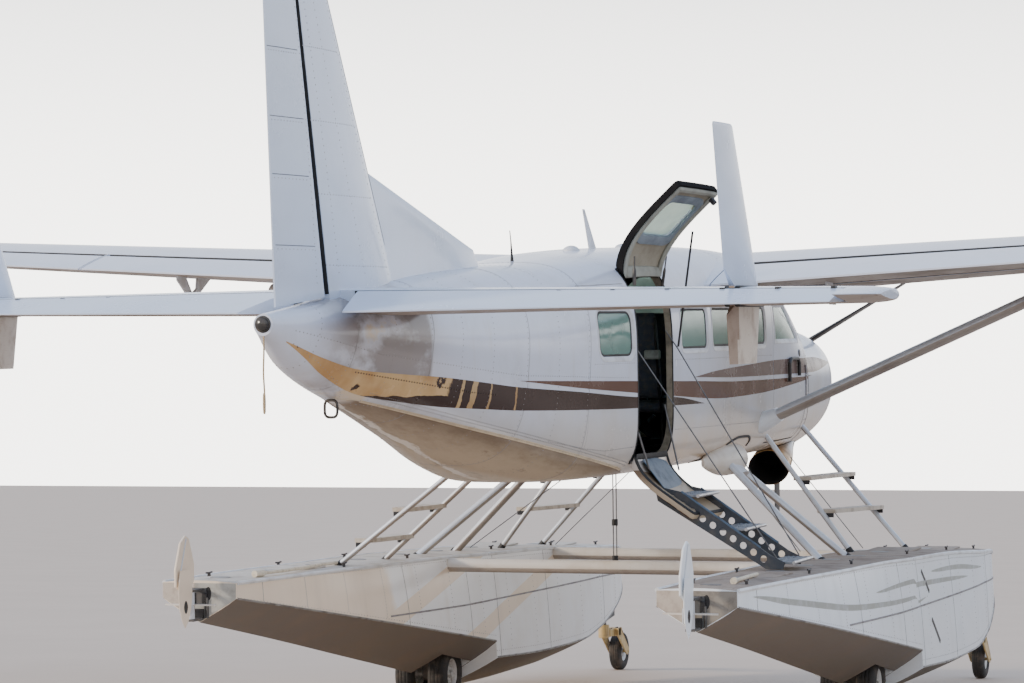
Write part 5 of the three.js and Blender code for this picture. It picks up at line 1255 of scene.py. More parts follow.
tip_angle = np.linspace(0, pi / 2, 12)[1:]
wing_x = np.concatenate([np.linspace(0.45, 7.5, 30), 7.56 + 0.38 * np.sin(tip_angle)])
wing_squash = np.concatenate([np.ones(30), 0.52 + 0.48 * np.cos(tip_angle)])
bays = {"flap": (0.774, 4.230), "aileron": (4.260, 7.560)}
flap_brackets = (1.5, 3.5)
wing_finishes = [top_paint, shaded_under_paint]
for hand, label in hands:
    panel = loft(wing_rings(wing_x, 0.0, wing_squash))
    wing = build(f"wing_skin_{label}", sided([panel], hand), "airframe", wing_finishes)
    bay_cuts = []
    for near, far in bays.values():
        inner, outer = near - 0.012, far + 0.012
        plan = [(inner, wing_wall(inner)), (outer, wing_wall(outer)), (outer, -5.0), (inner, -5.0)]
        bay_cuts.append(prism(plan, 0.8, 2.4, axis=2))
    carve(wing, sided(bay_cuts, hand))
    undersides(wing)
    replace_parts(wing, f"wing_{label}")
    for part, (near, far) in bays.items():
        surface = loft(wing_rings(np.linspace(near, far, 20), moving_start))
        moving = build(f"{part}_skin_{label}", sided([surface], hand), f"{part}_{label}",
                       wing_finishes, sharp=50)
        undersides(moving)
        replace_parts(moving, f"{part}_{label}")
    brackets, arms = [], []
    for x in flap_brackets:
        y, z = wing_place(x, moving_start, foil_line(wing_camber, moving_start))[1:] + (0.04, -0.215)
        fixed = [(y + 0.025, z - 0.02), (y + 0.33, z + 0.15), (y + 0.33, z + 0.23), (y + 0.09, z + 0.23),
                 (y + 0.06, z + 0.06), (y - 0.025, z + 0.02), (y - 0.025, z - 0.02)]
        arm = [(y + 0.022, z - 0.022), (y + 0.022, z + 0.022), (y - 0.11, z + 0.17), (y - 0.25, z + 0.19),
               (y - 0.24, z + 0.12), (y - 0.022, z - 0.022)]
        brackets.append(prism(fixed, x - 0.011, x + 0.011))
        arms.append(prism(arm, x + 0.0145, x + 0.0295))
    build(f"flap_brackets_{label}", sided(brackets, hand), "airframe", bead_paint)
    build(f"flap_arms_{label}", sided(arms, hand), f"flap_{label}", bead_paint)


# Tail surfaces. Fin, stabilizer and finlets are riveted foils like the wing. Rudder and elevators
# hang on hinges behind them, and a long dorsal fin runs forward along the roof.
# The tail's paint is a bluer copy of the white paint: painted sky shade
sky_shaded_tail_paint = painted_skin("sky shaded tail paint", (0.60, 0.69, 0.84), (0.58, 0.64, 0.76), (0.5, 0.5, 0.52),
                          -9.0, 0.25, 0.25)
fin_thick, tail_thick, tail_span, tail_z = 0.095, 0.11, 3.125, 1.158


def fin_at(z):
    """Leading edge, hinge and trailing edge stations of the fin at a height."""
    return -7.52 - 0.602 * (z - 1.26), -8.68 - 0.194 * (z - 1.19), -9.235 - 0.0674 * (z - 1.112)


def fin_place(z, t, height, squash=1.0):
    """A fin point: height, share of chord and distance from the middle plane, in chords."""
    lead, _, trail = fin_at(z)
    chord = lead - trail
    return np.stack(np.broadcast_arrays(height * chord * squash,
                                        lead - (0.5 + squash * (t - 0.5)) * chord, z), -1)


def fin_share(z):
    """The rudder hinge's share of the fin's chord at a height."""
    lead, hinge, trail = fin_at(z)
    return (lead - hinge) / (lead - trail)


def fin_ring(z, start=0.0, squash=1.0):
    """The fin's section at a height, from a share of the chord aft, and squashed by a share."""
    outline = foil(fin_thick, 0, start)
    return fin_place(z, outline[:, 0], outline[:, 1], squash)


cap_turn = np.linspace(0, pi / 2, 8)[1:]
fin_rings = [fin_ring(z) for z in np.linspace(1.0, 3.42, 20)]
fin_rings += [fin_ring(3.42 + 0.08 * sin(a), 0.0, 0.80 + 0.20 * cos(a)) for a in cap_turn]
dorsal_table = np.array([(1.10, 0.07, -5.86, 0.45), (1.18, 0.062, -5.9, 0.45), (1.396, 0.046, -5.99, 0.45),
                         (1.49, 0.038, -6.084, 0.42), (1.896, 0.022, -7.85, 0.2)])
dorsal_z = np.concatenate([np.linspace(1.1, 1.48, 16), np.linspace(1.49, 1.896, 14)])
dorsal_half, dorsal_lead, dorsal_taper = [np.interp(dorsal_z, dorsal_table[:, 0], dorsal_table[:, i])
                                          for i in (1, 2, 3)]
nose_turn = np.linspace(pi / 2, -pi / 2, 17)
dorsal_x = np.concatenate([np.outer(dorsal_half, np.sin(nose_turn)), -dorsal_half[:, None],
                           dorsal_half[:, None]], 1)
dorsal_y = np.concatenate([dorsal_lead[:, None] - dorsal_taper[:, None] * (1 - np.cos(nose_turn)),
                           np.full((30, 2), -8.2)], 1)
dorsal_rings = np.stack([dorsal_x, dorsal_y, np.broadcast_to(dorsal_z[:, None], dorsal_x.shape)], -1)


def fin_wall(z):
    """The station of the wall that the rudder's nose turns in."""
    lead, hinge, trail = fin_at(z)
    return hinge + foil_half(fin_thick, fin_share(z)) * (lead - trail) + 0.014


fin_bay = prism([(fin_wall(0.9), 0.9), (fin_wall(3.29), 3.30), (-9.9, 3.30), (-9.9, 0.9)], -0.3, 0.3)
fin = build("fin_skin", [loft(fin_rings)], "airframe", sky_shaded_tail_paint)
carve(fin, [fin_bay])
build("dorsal_skin", [loft(dorsal_rings)], "airframe", sky_shaded_tail_paint)
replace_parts(fin, "fin")
rudder_rings = [fin_ring(z, fin_share(z)) for z in np.linspace(1.08, 3.29, 16)]
rudder = build("rudder_skin", [loft(rudder_rings)], "rudder", sky_shaded_tail_paint, sharp=50)
carve(rudder, [prism([(-8.25, 1.222), (-9.45, 1.106), (-9.45, 0.9), (-8.25, 0.9)], -0.3, 0.3)])
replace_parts(rudder, "rudder")


# A black strip lines the wall that the rudder's nose turns in: painted shade, so the hinge shows as a dark
# line
def gap_ring(lead, chord, wall, thickness, camber=0.0):
    """Four corners, as (station, height), of a 3 mm dark strip of painted shade just inside a foil at its
    bay wall.
    """
    t = (lead - wall) / chord
    rise = (foil_half(thickness, t) - 0.0022) * chord
    line = float(foil_line(camber, t)) * chord
    return [(wall, line - rise), (wall, line + rise), (wall - 0.003, line + rise),
            (wall - 0.003, line - rise)]


fin_gap_shade = []
for z in np.linspace(1.2, 3.286, 20):
    lead, _, trail = fin_at(z)
    corners = gap_ring(lead, lead - trail, fin_wall(z), fin_thick)
    fin_gap_shade.append([(h, y, z) for y, h in corners])
build("rudder_gap_shade", [loft(fin_gap_shade)], "airframe", black_seal)

# Sheet joints across the rudder and rivets behind the leading edge and ahead of the hinge
line_paint = worn_finish("dark joint line", (0.10, 0.11, 0.14), (0.05, 0.05, 0.06), 0.6, 5, 0.5)


def fin_rows(lines):
    """Rivet points along lines on the fin's starboard face, each from one (height, share of chord)
    to another."""
    spacing = 0.038
    points = []
    for (z0, t0), (z1, t1) in lines:
        count = max(3, int(abs(z1 - z0) / spacing) + int(abs(t1 - t0) / (spacing / 1.6)))
        z, t = np.linspace(z0, z1, count), np.linspace(t0, t1, count)
        points.append(fin_place(z, t, foil_half(fin_thick, t)))
    return np.concatenate(points)


fin_lines = [((1.32, 0.10), (3.40, 0.10)), ((1.32, 0.34), (3.3, 0.34)), ((1.32, 0.55), (3.3, 0.46))]
fin_lines += [((z, 0.12), (z, fin_share(z) - 0.04)) for z in (1.36, 1.75, 2.15, 2.55, 2.95, 3.3)]
rudder_lines = [((1.26, fin_share(1.26) + 0.04), (3.25, fin_share(3.25) + 0.04))]
rudder_sheets = (1.44, 1.82, 2.13, 2.5, 2.9)
rudder_lines += [((z, fin_share(z) + 0.05), (z, 0.97)) for z in rudder_sheets]
for part, lines, body in (("fin_rivets", fin_lines, "airframe"), ("rudder_rivets", rudder_lines, "rudder")):
    heads = studs(fin_rows(lines), (1, 0, 0), 0.0042, 0.0014)
    build(part, both([heads]), body, rivet_metal)
rudder_joints = []
for z in rudder_sheets:
    t = np.linspace(fin_share(z) + 0.03, 0.985, 12)
    row = fin_place(z + 0.02, t, foil_half(fin_thick, t))
    rudder_joints.append(strap(row, (1, 0, 0), 0.004, 0.0008))
build("rudder_joints", both(rudder_joints), "rudder", line_paint)
nose_share = 0.022
nose_depth = 5 * fin_thick * (0.2969 * sqrt(nose_share) - 0.126 * nose_share) + 0.0018
nose_strap = strap(fin_place(np.linspace(1.45, 3.42, 30), nose_share, nose_depth), (0.8, 0.6, 0), 0.014,
                   0.001)
build("fin_leading_edge", both([nose_strap]), "airframe", line_paint)


def tail_at(x):
    """Leading edge, hinge and trailing edge stations of the stabilizer at a distance outboard."""
    share = x / tail_span
    return -7.64 - 0.23 * share, -8.56 + 0.21 * share, -9.08 + 0.43 * share


def tail_share(x):
    """The elevator hinge's share of the stabilizer's chord at a distance outboard."""
    lead, hinge, trail = tail_at(x)
    return (lead - hinge) / (lead - trail)


def tail_ring(x, start=0.0, squash=1.0):
    """The stabilizer's section at a distance outboard, from a share of the chord aft, and squashed
    by a share."""
    lead, _, trail = tail_at(x)
    chord = lead - trail
    t, height = foil(tail_thick, 0, start).T
    return np.stack(np.broadcast_arrays(x, lead - (0.45 + squash * (t - 0.45)) * chord,
                                        tail_z + height * chord * squash), -1)


def tail_wall(x):
    """The station of the wall that the elevator's nose turns in."""
    lead, hinge, trail = tail_at(x)
    return hinge + foil_half(tail_thick, tail_share(x)) * (lead - trail) + 0.014


finlet_x = 2.286


def finlet_ring(z, squash=1.0):
    """The small upright fin's section at a height: its station and chord follow a table."""
    lead, chord = [np.interp(z, (0.79, 1.15, 2.08), values)
                   for values in ((-7.87, -7.80, -8.33), (0.54, 0.68, 0.385))]
    t, height = foil(0.09).T
    near = 0.5 + squash * (t - 0.5)
    return np.stack([finlet_x + height * chord * squash, lead - near * chord, np.full(len(t), z)], -1)


aft_strip = float(parked(np.array([(finlet_x, -8.28, 0.9)]))[0, 1])
elevator_end = 2.9
stab_rings = [tail_ring(x) for x in np.linspace(0.06, 2.96, 20)]
stab_rings += [tail_ring(2.96 + 0.165 * sin(a), 0.0, 0.58 + 0.42 * cos(a)) for a in cap_turn]
finlet_rings = [finlet_ring(0.79 + 0.02 * (1 - sin(a)), 0.90 + 0.1 * sin(a)) for a in cap_turn[:-1] - 0.1]
finlet_rings += [finlet_ring(z) for z in np.linspace(0.815, 2.06, 24)]
finlet_rings += [finlet_ring(2.06 + 0.02 * sin(a), 0.85 + 0.15 * cos(a)) for a in cap_turn]
bay_end = elevator_end + 0.012
tail_bay = [(-0.01, tail_wall(0)), (bay_end, tail_wall(bay_end)), (bay_end, -9.5), (-0.01, -9.5)]
notch_front = tail_wall(finlet_x)
notch = prism([(notch_front, tail_z - 0.055), (notch_front, tail_z + 0.055), (-9.0, tail_z + 0.43),
               (-9.0, tail_z - 0.33)], finlet_x - 0.1, finlet_x + 0.1)
slant = [(0, -8.3), (0.205, -8.3), (0.205, tail_at(0.205)[1]), (0.34, -9.2), (0, -9.2)]
elevator_hinge = [(0, tail_at(0)[1], tail_z), (tail_span, tail_at(tail_span)[1], tail_z)]
finlet_foot = worn_finish("streaked cream finlet foot", (0.72, 0.67, 0.60), (0.36, 0.27, 0.21), 0.45, 4,
                          0.6)
finlet_edge = worn_finish("brown finlet edge", (0.36, 0.27, 0.21), (0.20, 0.14, 0.11), 0.45, 3, 0.6)
tail_finishes = [sky_shaded_tail_paint, shaded_under_paint]
for hand, label in hands:
    stab = build(f"stabilizer_skin_{label}", sided([loft(stab_rings)], hand), "airframe",
                 tail_finishes)
    carve(stab, sided([prism(tail_bay, tail_z - 0.09, tail_z + 0.09, axis=2)], hand))
    undersides(stab)
    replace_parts(stab, f"stabilizer_{label}")
    finlet = build(f"finlet_skin_{label}", sided([loft(finlet_rings)], hand), "airframe",
                   [sky_shaded_tail_paint, finlet_foot, finlet_edge])
    carve(finlet, sided([notch], hand))
    centres = np.empty(len(finlet.data.polygons) * 3)
    finlet.data.polygons.foreach_get("center", centres)
    foot = centres[2::3] < stand_height + 0.72
    rear_strip = centres[1::3] < aft_strip
    kind = np.where(foot, np.where(rear_strip, 2, 1), 0)
    finlet.data.polygons.foreach_set("material_index", kind.astype(np.int32))
    droop = about(*[(hand * x, y, z) for x, y, z in elevator_hinge], 7 * hand)
    elevator_rings = [tail_ring(x, tail_share(x)) for x in np.linspace(0.15, elevator_end, 18)]
    elevator = build(f"elevator_skin_{label}", sided([loft(elevator_rings)], hand), f"elevator_{label}",
                     tail_finishes, sharp=50)
    carve(elevator, sided([prism(slant, 0.9, 1.4, axis=2)], hand))
    elevator.data.transform(droop)
    undersides(elevator)
    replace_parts(elevator, f"elevator_{label}")
    base = [prism(rounded(-8.37, -7.80, 1.10, 1.215, 0.05), finlet_x - 0.042, finlet_x + 0.042)]
    build(f"finlet_boot_{label}", sided(base, hand), "airframe", black_seal)
    hinge_boxes = [box((x - 0.012, tail_at(x)[1] - 0.02, tail_z + 0.028),
                       (x + 0.012, tail_at(x)[1] + 0.03, tail_z + 0.046))
                   for x in np.linspace(0.45, 2.85, 9)]
    build(f"elevator_brackets_{label}", sided(hinge_boxes, hand), "airframe", black_metal)


# The bays of the elevators, flaps and ailerons have the same black strip of painted shade
tail_gap_shade = []
for x in np.linspace(0.16, 2.905, 20):
    lead, _, trail = tail_at(x)
    corners = gap_ring(lead, lead - trail, tail_wall(x), tail_thick)
    tail_gap_shade.append([(x, y, tail_z + h) for y, h in corners])
gap_shades = [loft(tail_gap_shade)]
for near, far in bays.values():
    rings = []
    for x in np.linspace(near, far, 12):
        lead, chord, thickness = wing_at(x)
        corners = gap_ring(lead, chord, wing_wall(x), thickness, wing_camber)
        rings.append([(x, y, 1.235 + 0.058 * x + (chord - lead + y) * wing_tilt + h) for y, h in corners])
    gap_shades.append(loft(rings))
build("bay_gap_shades", both(gap_shades), "airframe", black_seal)


# Struts. Aluminium tube of streamlined section carries the wings and the floats. The wing struts
# end in fairings on the cabin side, and the float struts in rounded housings under it.
strut_paint = worn_finish("pale grey strut paint", (0.66, 0.70, 0.76), (0.36, 0.33, 0.30), 0.35, 1.2, 0.4,
                          metallic=0.15)
strut_under = worn_finish("shaded strut paint", (0.42, 0.37, 0.33), (0.20, 0.15, 0.12), 0.4, 1.2, 0.5,
                          metallic=0.4)
cuff_paint = worn_finish("pale blue cuff paint", (0.86, 0.92, 1.0), (0.45, 0.40, 0.34), 0.3, 1.5, 0.3)
fairing_paint = worn_finish("cream fairing paint", (0.72, 0.68, 0.62), (0.48, 0.38, 0.28), 0.35, 1.5, 0.45)
strut_finishes = [strut_paint, strut_under]


def bar(start, stop, width, depth, count=8, swell=None):
    """A bar of oval section between two points, wide along y where it can be, thin across."""
    start, stop = np.array(start, float), np.array(stop, float)
    along = (stop - start) / np.linalg.norm(stop - start)
    lead = np.array((1.0, 0, 0)) if abs(along[1]) > 0.9 else np.array((0, 1.0, 0))
    broad = lead - lead @ along * along
    broad /= np.linalg.norm(broad)
    thin = np.cross(along, broad)
    turn = 2 * pi * np.arange(28) / 28
    share = np.linspace(0, 1, count)[:, None, None]
    size = np.ones(count) if swell is None else np.asarray(swell, float)
    taper = 1 - 0.18 * np.cos(turn)
    section = (width / 2 * np.cos(turn)[:, None] * broad
               + depth / 2 * (np.sin(turn) * taper)[:, None] * thin)
    return loft(start + share * (stop - start) + size[:, None, None] * section)


for hand, label in hands:
    strut_bar = bar((0.70, -1.81, 0.252), (3.16, -1.85, 1.33), 0.215, 0.088, 12)
    shaft = build(f"wing_strut_tube_{label}", sided([strut_bar], hand), "airframe",
                  strut_finishes)
    undersides(shaft, -0.2)
    low_cuff = bar((0.72, -1.81, 0.26), (0.885, -1.812, 0.334), 0.33, 0.15, 5, (1.0, 0.97, 0.9, 0.8, 0.7))
    build(f"wing_strut_cuff_{label}", sided([low_cuff], hand), "airframe", cuff_paint)
    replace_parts(shaft, f"wing_strut_{label}")
    top_cuff = bar((3.02, -1.848, 1.268), (3.13, -1.85, 1.318), 0.26, 0.12, 5,
                   (0.86, 0.95, 1.05, 1.1, 1.12))
    build(f"wing_strut_top_{label}", sided([top_cuff], hand), "airframe", fairing_paint)

housing_rows = np.array([(-2.4, 0.05, 0.09), (-2.44, 0.125, 0.115), (-2.66, 0.125, 0.115),
                         (-2.95, 0.08, 0.08), (-3.22, 0.012, 0.03)])
housing_y = -2.4 - 0.82 * (1 - np.cos(np.linspace(0, pi, 36))) / 2
housing_wide = eased(housing_y, housing_rows[:, 0], housing_rows[:, 1])
housing_deep = eased(housing_y, housing_rows[:, 0], housing_rows[:, 2])
housing_turn = 2 * pi * np.arange(36) / 36
housing = loft(np.stack([0.68 + housing_wide[:, None] * np.cos(housing_turn),
                         np.broadcast_to(housing_y[:, None], (36, 36)),
                         0.03 + housing_deep[:, None] * np.sin(housing_turn)], -1))
build("strut_housings", both([housing]), "airframe", fairing_paint)
arc_knots = np.array([(-3.12, 0.03), (-2.816, 0.092), (-2.658, 0.158), (-2.429, 0.187), (-2.199, 0.184),
                      (-2.087, 0.143), (-2.08, 0.11)])
arc_at = np.linspace(0, 6, 50)
arc = side(eased(arc_at, np.arange(7), arc_knots[:, 0]), eased(arc_at, np.arange(7), arc_knots[:, 1]))
arc_seal = strap(arc, skin_normal(arc), 0.018, 0.005)
build("strut_fairing_seals", both([arc_seal]), "airframe", black_seal)


def rail_pair(rows):
    """Bars between the feet and the heads of rows of (foot, head, width, depth)."""
    return [bar(row[:3], row[3:6], row[6], row[7]) for row in rows]


def up_rail(row, share):
    """The point at a share of a rail's length, from its foot to its head."""
    foot, head = np.array(row[:3]), np.array(row[3:6])
    return foot + share * (head - foot)


def ladder_treads(rows, shares):
    """Flat treads on two slanted rails, at shares of the rails' length, wider outboard of them."""
    inboard, outboard, thick = -0.03, 0.105, 0.015
    corners = ((inboard, -thick), (outboard, -thick), (outboard, thick), (inboard, thick))
    return [loft([[up_rail(row, share) + (dx, 0, dz) for dx, dz in corners] for row in rows])
            for share in shares]


main_rows = [(1.554, -3.149, -0.70, 0.719, -2.769, 0.04, 0.096, 0.052),
             (1.543, -2.326, -0.72, 0.70, -2.622, 0.04, 0.096, 0.052)]
ladder_rows = [(1.4, -1.652, -0.73, 0.638, -1.602, 0.28, 0.06, 0.038),
               (1.531, -0.291, -0.80, 0.571, -0.163, 0.28, 0.06, 0.038)]
cargo_rows = [(1.5, -4.76, -0.63, 0.64, -4.75, 0.03, 0.056, 0.036),
              (1.5, -3.891, -0.66, 0.64, -4.15, 0.03, 0.056, 0.036)]
boarding_shares, cargo_shares = (0.33, 0.57), (0.3, 0.62)
tread_paint = worn_finish("cream ladder tread", (0.60, 0.53, 0.44), (0.26, 0.19, 0.13), 0.5, 3, 0.7)
for hand, label in hands:
    frame_parts = rail_pair(main_rows) + [bar((0.745, -2.695, 0.0), (0.845, -2.70, -0.075), 0.24, 0.06)]
    struts = build(f"main_strut_frame_{label}", sided(frame_parts, hand), "airframe",
                   strut_finishes)
    undersides(struts, -0.3)
    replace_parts(struts, f"main_struts_{label}")
    rails = build(f"boarding_rails_{label}", sided(rail_pair(ladder_rows), hand), "airframe",
                  strut_finishes)
    undersides(rails, -0.3)
    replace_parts(rails, f"boarding_ladder_{label}")
    treads = ladder_treads(ladder_rows, boarding_shares)
    steps = build(f"boarding_treads_{label}", sided(treads, hand), "airframe",
                  [tread_paint, strut_under])
    undersides(steps)
    ends = [up_rail(row, share) for row in ladder_rows for share in boarding_shares]
    if hand < 0:
        ends += [up_rail(row, share) for row in cargo_rows for share in cargo_shares]
    gussets = [box(end + (0.025, -0.006, -0.045), end + (0.095, 0.006, -0.014)) for end in ends]
    build(f"tread_gussets_{label}", sided(gussets, hand), "airframe", black_metal)
cargo_rails = build("cargo_rails", sided(rail_pair(cargo_rows), -1), "airframe",
                    strut_finishes)
undersides(cargo_rails, -0.3)
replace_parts(cargo_rails, "cargo_ladder")
cargo_treads = ladder_treads(cargo_rows, cargo_shares)
cargo_steps = build("cargo_treads", sided(cargo_treads, -1), "airframe",
                    [tread_paint, strut_under])
undersides(cargo_steps)

# Black rubber cuffs seal every strut and rail where it enters a deck
for hand, label in hands:
    cuffs = []
    for row in main_rows + ladder_rows + (cargo_rows if hand < 0 else []):
        foot, head = np.array(row[:3]), np.array(row[3:6])
        way = (head - foot) / np.linalg.norm(head - foot)
        cuffs.append(bar(foot + 0.03 * way, foot + 0.075 * way, row[6] * 1.15, row[7] * 1.3, 3))
    build(f"foot_cuffs_{label}", sided(cuffs, hand), "airframe", black_seal)
for part, y, z in (("front", -0.8, -0.795), ("rear", -3.2, -0.712)):
    spreader = build(f"spreader_{part}", [bar((-1.24, y, z), (1.24, y, z), 0.1, 0.096, 12)], "airframe",
                     [fairing_paint, strut_under])
    undersides(spreader, -0.25)
    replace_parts(spreader, f"spreader_bar_{part}")


# Bracing: thin steel wires cross between the float frames, and a twin control rod with two black
# collars runs from the belly down to the rear spreader
wires = [((-1.25, -2.709, -0.62), (-0.62, -2.05, -0.06)), ((-1.25, -0.70, -0.735), (-0.60, -0.36, -0.05)),
         ((1.25, -2.709, -0.62), (0.62, -2.05, -0.06)), ((1.25, -0.70, -0.735), (0.60, -0.36, -0.05))]
build("bracing_wires", [tube(np.linspace(start, stop, 6), 0.0035, 8) for start, stop in wires], "airframe",
      cable_steel)
control_rods = [tube([(x, -3.13, -0.67), (x, -3.13, -0.02)], 0.0045, 10) for x in (-0.012, 0.012)]
rod_collars = [tube([(0, -3.13, z), (0, -3.13, z + 0.045)], 0.022, 16) for z in (-0.42, -0.68)]
build("control_rods", control_rods, "airframe", cable_steel)
build("control_rod_collars", rod_collars, "airframe", black_seal)


# Engine bay: a short exhaust stack of stainless steel, blued and browned by heat, and the
# propeller, three black composite blades on a polished spinner, feathered at rest.
stack_steel, stack_tree, stack_shader = new_finish("heat tinted steel", metallic=0.9)
stack_out = use_group(stack_tree, wear, size=2.0, grime=0.8, relief=0.3)
stack_at = use_group(stack_tree, aircraft_place)["Position"]
stack_along = add(stack_tree, "SeparateXYZ", {0: stack_at}).outputs["Y"]
stack_heat = ramp(stack_tree, stack_along, 0.05, -0.42)
stack_colour = blended(stack_tree, stack_heat, (0.42, 0.44, 0.48, 1), (0.55, 0.33, 0.12, 1))
stack_colour = blended(stack_tree, stack_out["Blotch"], stack_colour, (0.12, 0.08, 0.06, 1))
stack_rough = calc(stack_tree, "MULTIPLY_ADD", stack_out["Blotch"], 0.3, 0.28)
surfaced(stack_tree, stack_shader, stack_colour, stack_rough, stack_out["Height"], 0.15)
soot = worn_finish("matt soot", (0.010, 0.009, 0.009), (0.03, 0.022, 0.018), 0.95, 4, 0.6)


def duct(outer, inner):
    """A duct's wall between two depths under its outer face."""
    rings = np.concatenate([exhaust_rings(outer), exhaust_rings(inner)[::-1], exhaust_rings(outer)[:1]])
    return loft(rings, ends=False)


belly_clear = loft(skin(np.linspace(0.002, -1.2, 30)[:, None], around_body, 0.004))
stack = build("exhaust_duct", [duct(0.0, 0.004)], "airframe", stack_steel)
carve(stack, [belly_clear])
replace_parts(stack, "exhaust_pipe")
carve(build("exhaust_lining", [duct(0.0038, 0.009)], "airframe", soot), [belly_clear])
build("exhaust_baffle", [loft(exhaust_rings(0.0085, 0.10, 0.02, 4))], "airframe", soot)

blade_black = worn_finish("black blade paint", (0.014, 0.014, 0.016), (0.06, 0.055, 0.05), 0.35, 3, 0.5)
spinner_metal = worn_finish("polished spinner", (0.75, 0.76, 0.78), (0.35, 0.33, 0.31), 0.12, 2, 0.4,
                            metallic=1.0)
spinner_y = np.linspace(1.40, 1.93, 40)
spinner_base, spinner_nose = 1.56, 0.372
dome_share = np.clip((spinner_y - spinner_base) / spinner_nose, 0, 1)
spinner_reach = np.clip(0.235 * np.sqrt(1 - dome_share ** 2), 0.004, 1)
spinner_path = np.stack([0 * spinner_y, spinner_y, np.full(40, 0.685)], -1)
spinner = build("propeller_spinner", [tube(spinner_path, spinner_reach, 48)], "propeller",
                spinner_metal)
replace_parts(spinner, "propeller")
blade_rows = np.array([(0.2, 0.055, 0.06), (0.42, 0.045, 0.15), (0.8, 0.028, 0.195), (1.2, 0.016, 0.17),
                       (1.33, 0.011, 0.12), (1.345, 0.008, 0.06)])
blade_reach = np.linspace(0.19, 1.345, 30)
blade_thick = eased(blade_reach, blade_rows[:, 0], blade_rows[:, 1])
blade_wide = eased(blade_reach, blade_rows[:, 0], blade_rows[:, 2])
blade_turn = 2 * pi * np.arange(20) / 20
blades = []
for degrees in (30, 150, 270):
    lean = radians(degrees)
    out = np.array((cos(lean), 0, sin(lean)))
    over = np.array((-sin(lean), 0, cos(lean)))
    centre = np.array((0, 1.55, 0.685)) + blade_reach[:, None] * out
    forward = blade_wide[:, None, None] / 2 * np.cos(blade_turn)[:, None] * np.array((0, 1.0, 0))
    aside = blade_thick[:, None, None] / 2 * np.sin(blade_turn)[:, None] * over
    blades.append(loft(centre[:, None] + forward + aside))
build("propeller_blades", blades, "propeller", blade_black)


# Float hulls. Riveted aluminium with a crowned deck, flared sides, a hard chine and a vee bottom
# that steps up at the main wheels. The sides are white, tinted blue on the starboard float as painted
# sky shade, with cream patches of painted shade and painted strut shadows on the port float, and
# the bottoms are grey brown as painted shade, with wear.
def hull_paint(name, upper, lower, shadowed=False):
    """White float paint, streaked downwards and darker towards the chine. The shadowed one is cream
    aft of station -4.4 as painted shade, and has two slanting cream bands ahead of it, in y - 5 z,
    which are painted shadows of the struts."""
    finish, tree, shader = new_finish(name, coat_weight=0.2, coat_roughness=0.15)
    at = use_group(tree, aircraft_place)["Position"]
    height = add(tree, "SeparateXYZ", {0: at}).outputs["Z"]
    out = use_group(tree, wear, size=1.1, grime=0.6, relief=0.3)
    uneven = calc(tree, "MULTIPLY_ADD", noise(tree, at, 2.6, 5), 0.6, height)
    low_share = ramp(tree, uneven, -0.55, -1.15)
    if shadowed:
        # Painted shade aft of station -4.4, and two slanting bands of painted strut shadow
        along = add(tree, "SeparateXYZ", {0: at}).outputs["Y"]
        ragged = calc(tree, "MULTIPLY_ADD", noise(tree, at, 3.0, 3), 0.5, along)
        low_share = ramp(tree, ragged, -4.05, -4.2)
        slant = calc(tree, "MULTIPLY_ADD", height, -5.0, along)
        for middle in (0.68, 3.49):
            low_share = calc(tree, "MAXIMUM", low_share, calc(tree, "COMPARE", slant, middle, 0.33))
    streak = ramp(tree, noise(tree, at, 5, 4, 0.6, (1, 1, 0.12)), 0.52, 0.72)
    colour = blended(tree, low_share, (*upper, 1), (*lower, 1))
    colour = blended(tree, calc(tree, "MULTIPLY", streak, 0.16), colour, times(lower, 0.62))
    colour = blended(tree, calc(tree, "MULTIPLY", out["Blotch"], 0.28), colour, times(lower, 0.75))
    rough = calc(tree, "MULTIPLY_ADD", out["Blotch"], 0.3, 0.33)
    surfaced(tree, shader, colour, rough, out["Height"], 0.2)
    return finish


# Two copies of one white paint: the starboard one tinted blue as painted sky shade, the port one with
# painted shade and strut shadows in cream
hull_finishes = {1: hull_paint("sky shaded white float side", (0.88, 0.93, 0.98), (0.82, 0.85, 0.88)),
                 -1: hull_paint("shadowed cream float side", (0.93, 0.95, 0.97), (0.90, 0.77, 0.62), shadowed=True)}
# The dark grey brown bottoms are painted shade, with wear
shaded_bottom_paint = worn_finish("shaded grey brown float bottom", (0.15, 0.125, 0.105), (0.24, 0.19, 0.15), 0.55, 1.3,
                           0.5, 0.5)
deck_paint = worn_finish("brown deck coating", (0.34, 0.28, 0.23), (0.16, 0.12, 0.10), 0.75, 2.2, 0.7, 0.5)
cream_deck = worn_finish("cream deck coating", (0.60, 0.56, 0.50), (0.30, 0.25, 0.20), 0.7, 2.2, 0.6, 0.5)
deck_finishes = {1: deck_paint, -1: cream_deck}
edge_paint = worn_finish("white deck edge", (0.80, 0.82, 0.84), (0.45, 0.42, 0.38), 0.45, 3, 0.5)
trim_strip = worn_finish("scuffed rub strip", (0.30, 0.29, 0.28), (0.12, 0.10, 0.09), 0.5, 4, 0.7,
                         metallic=0.5)

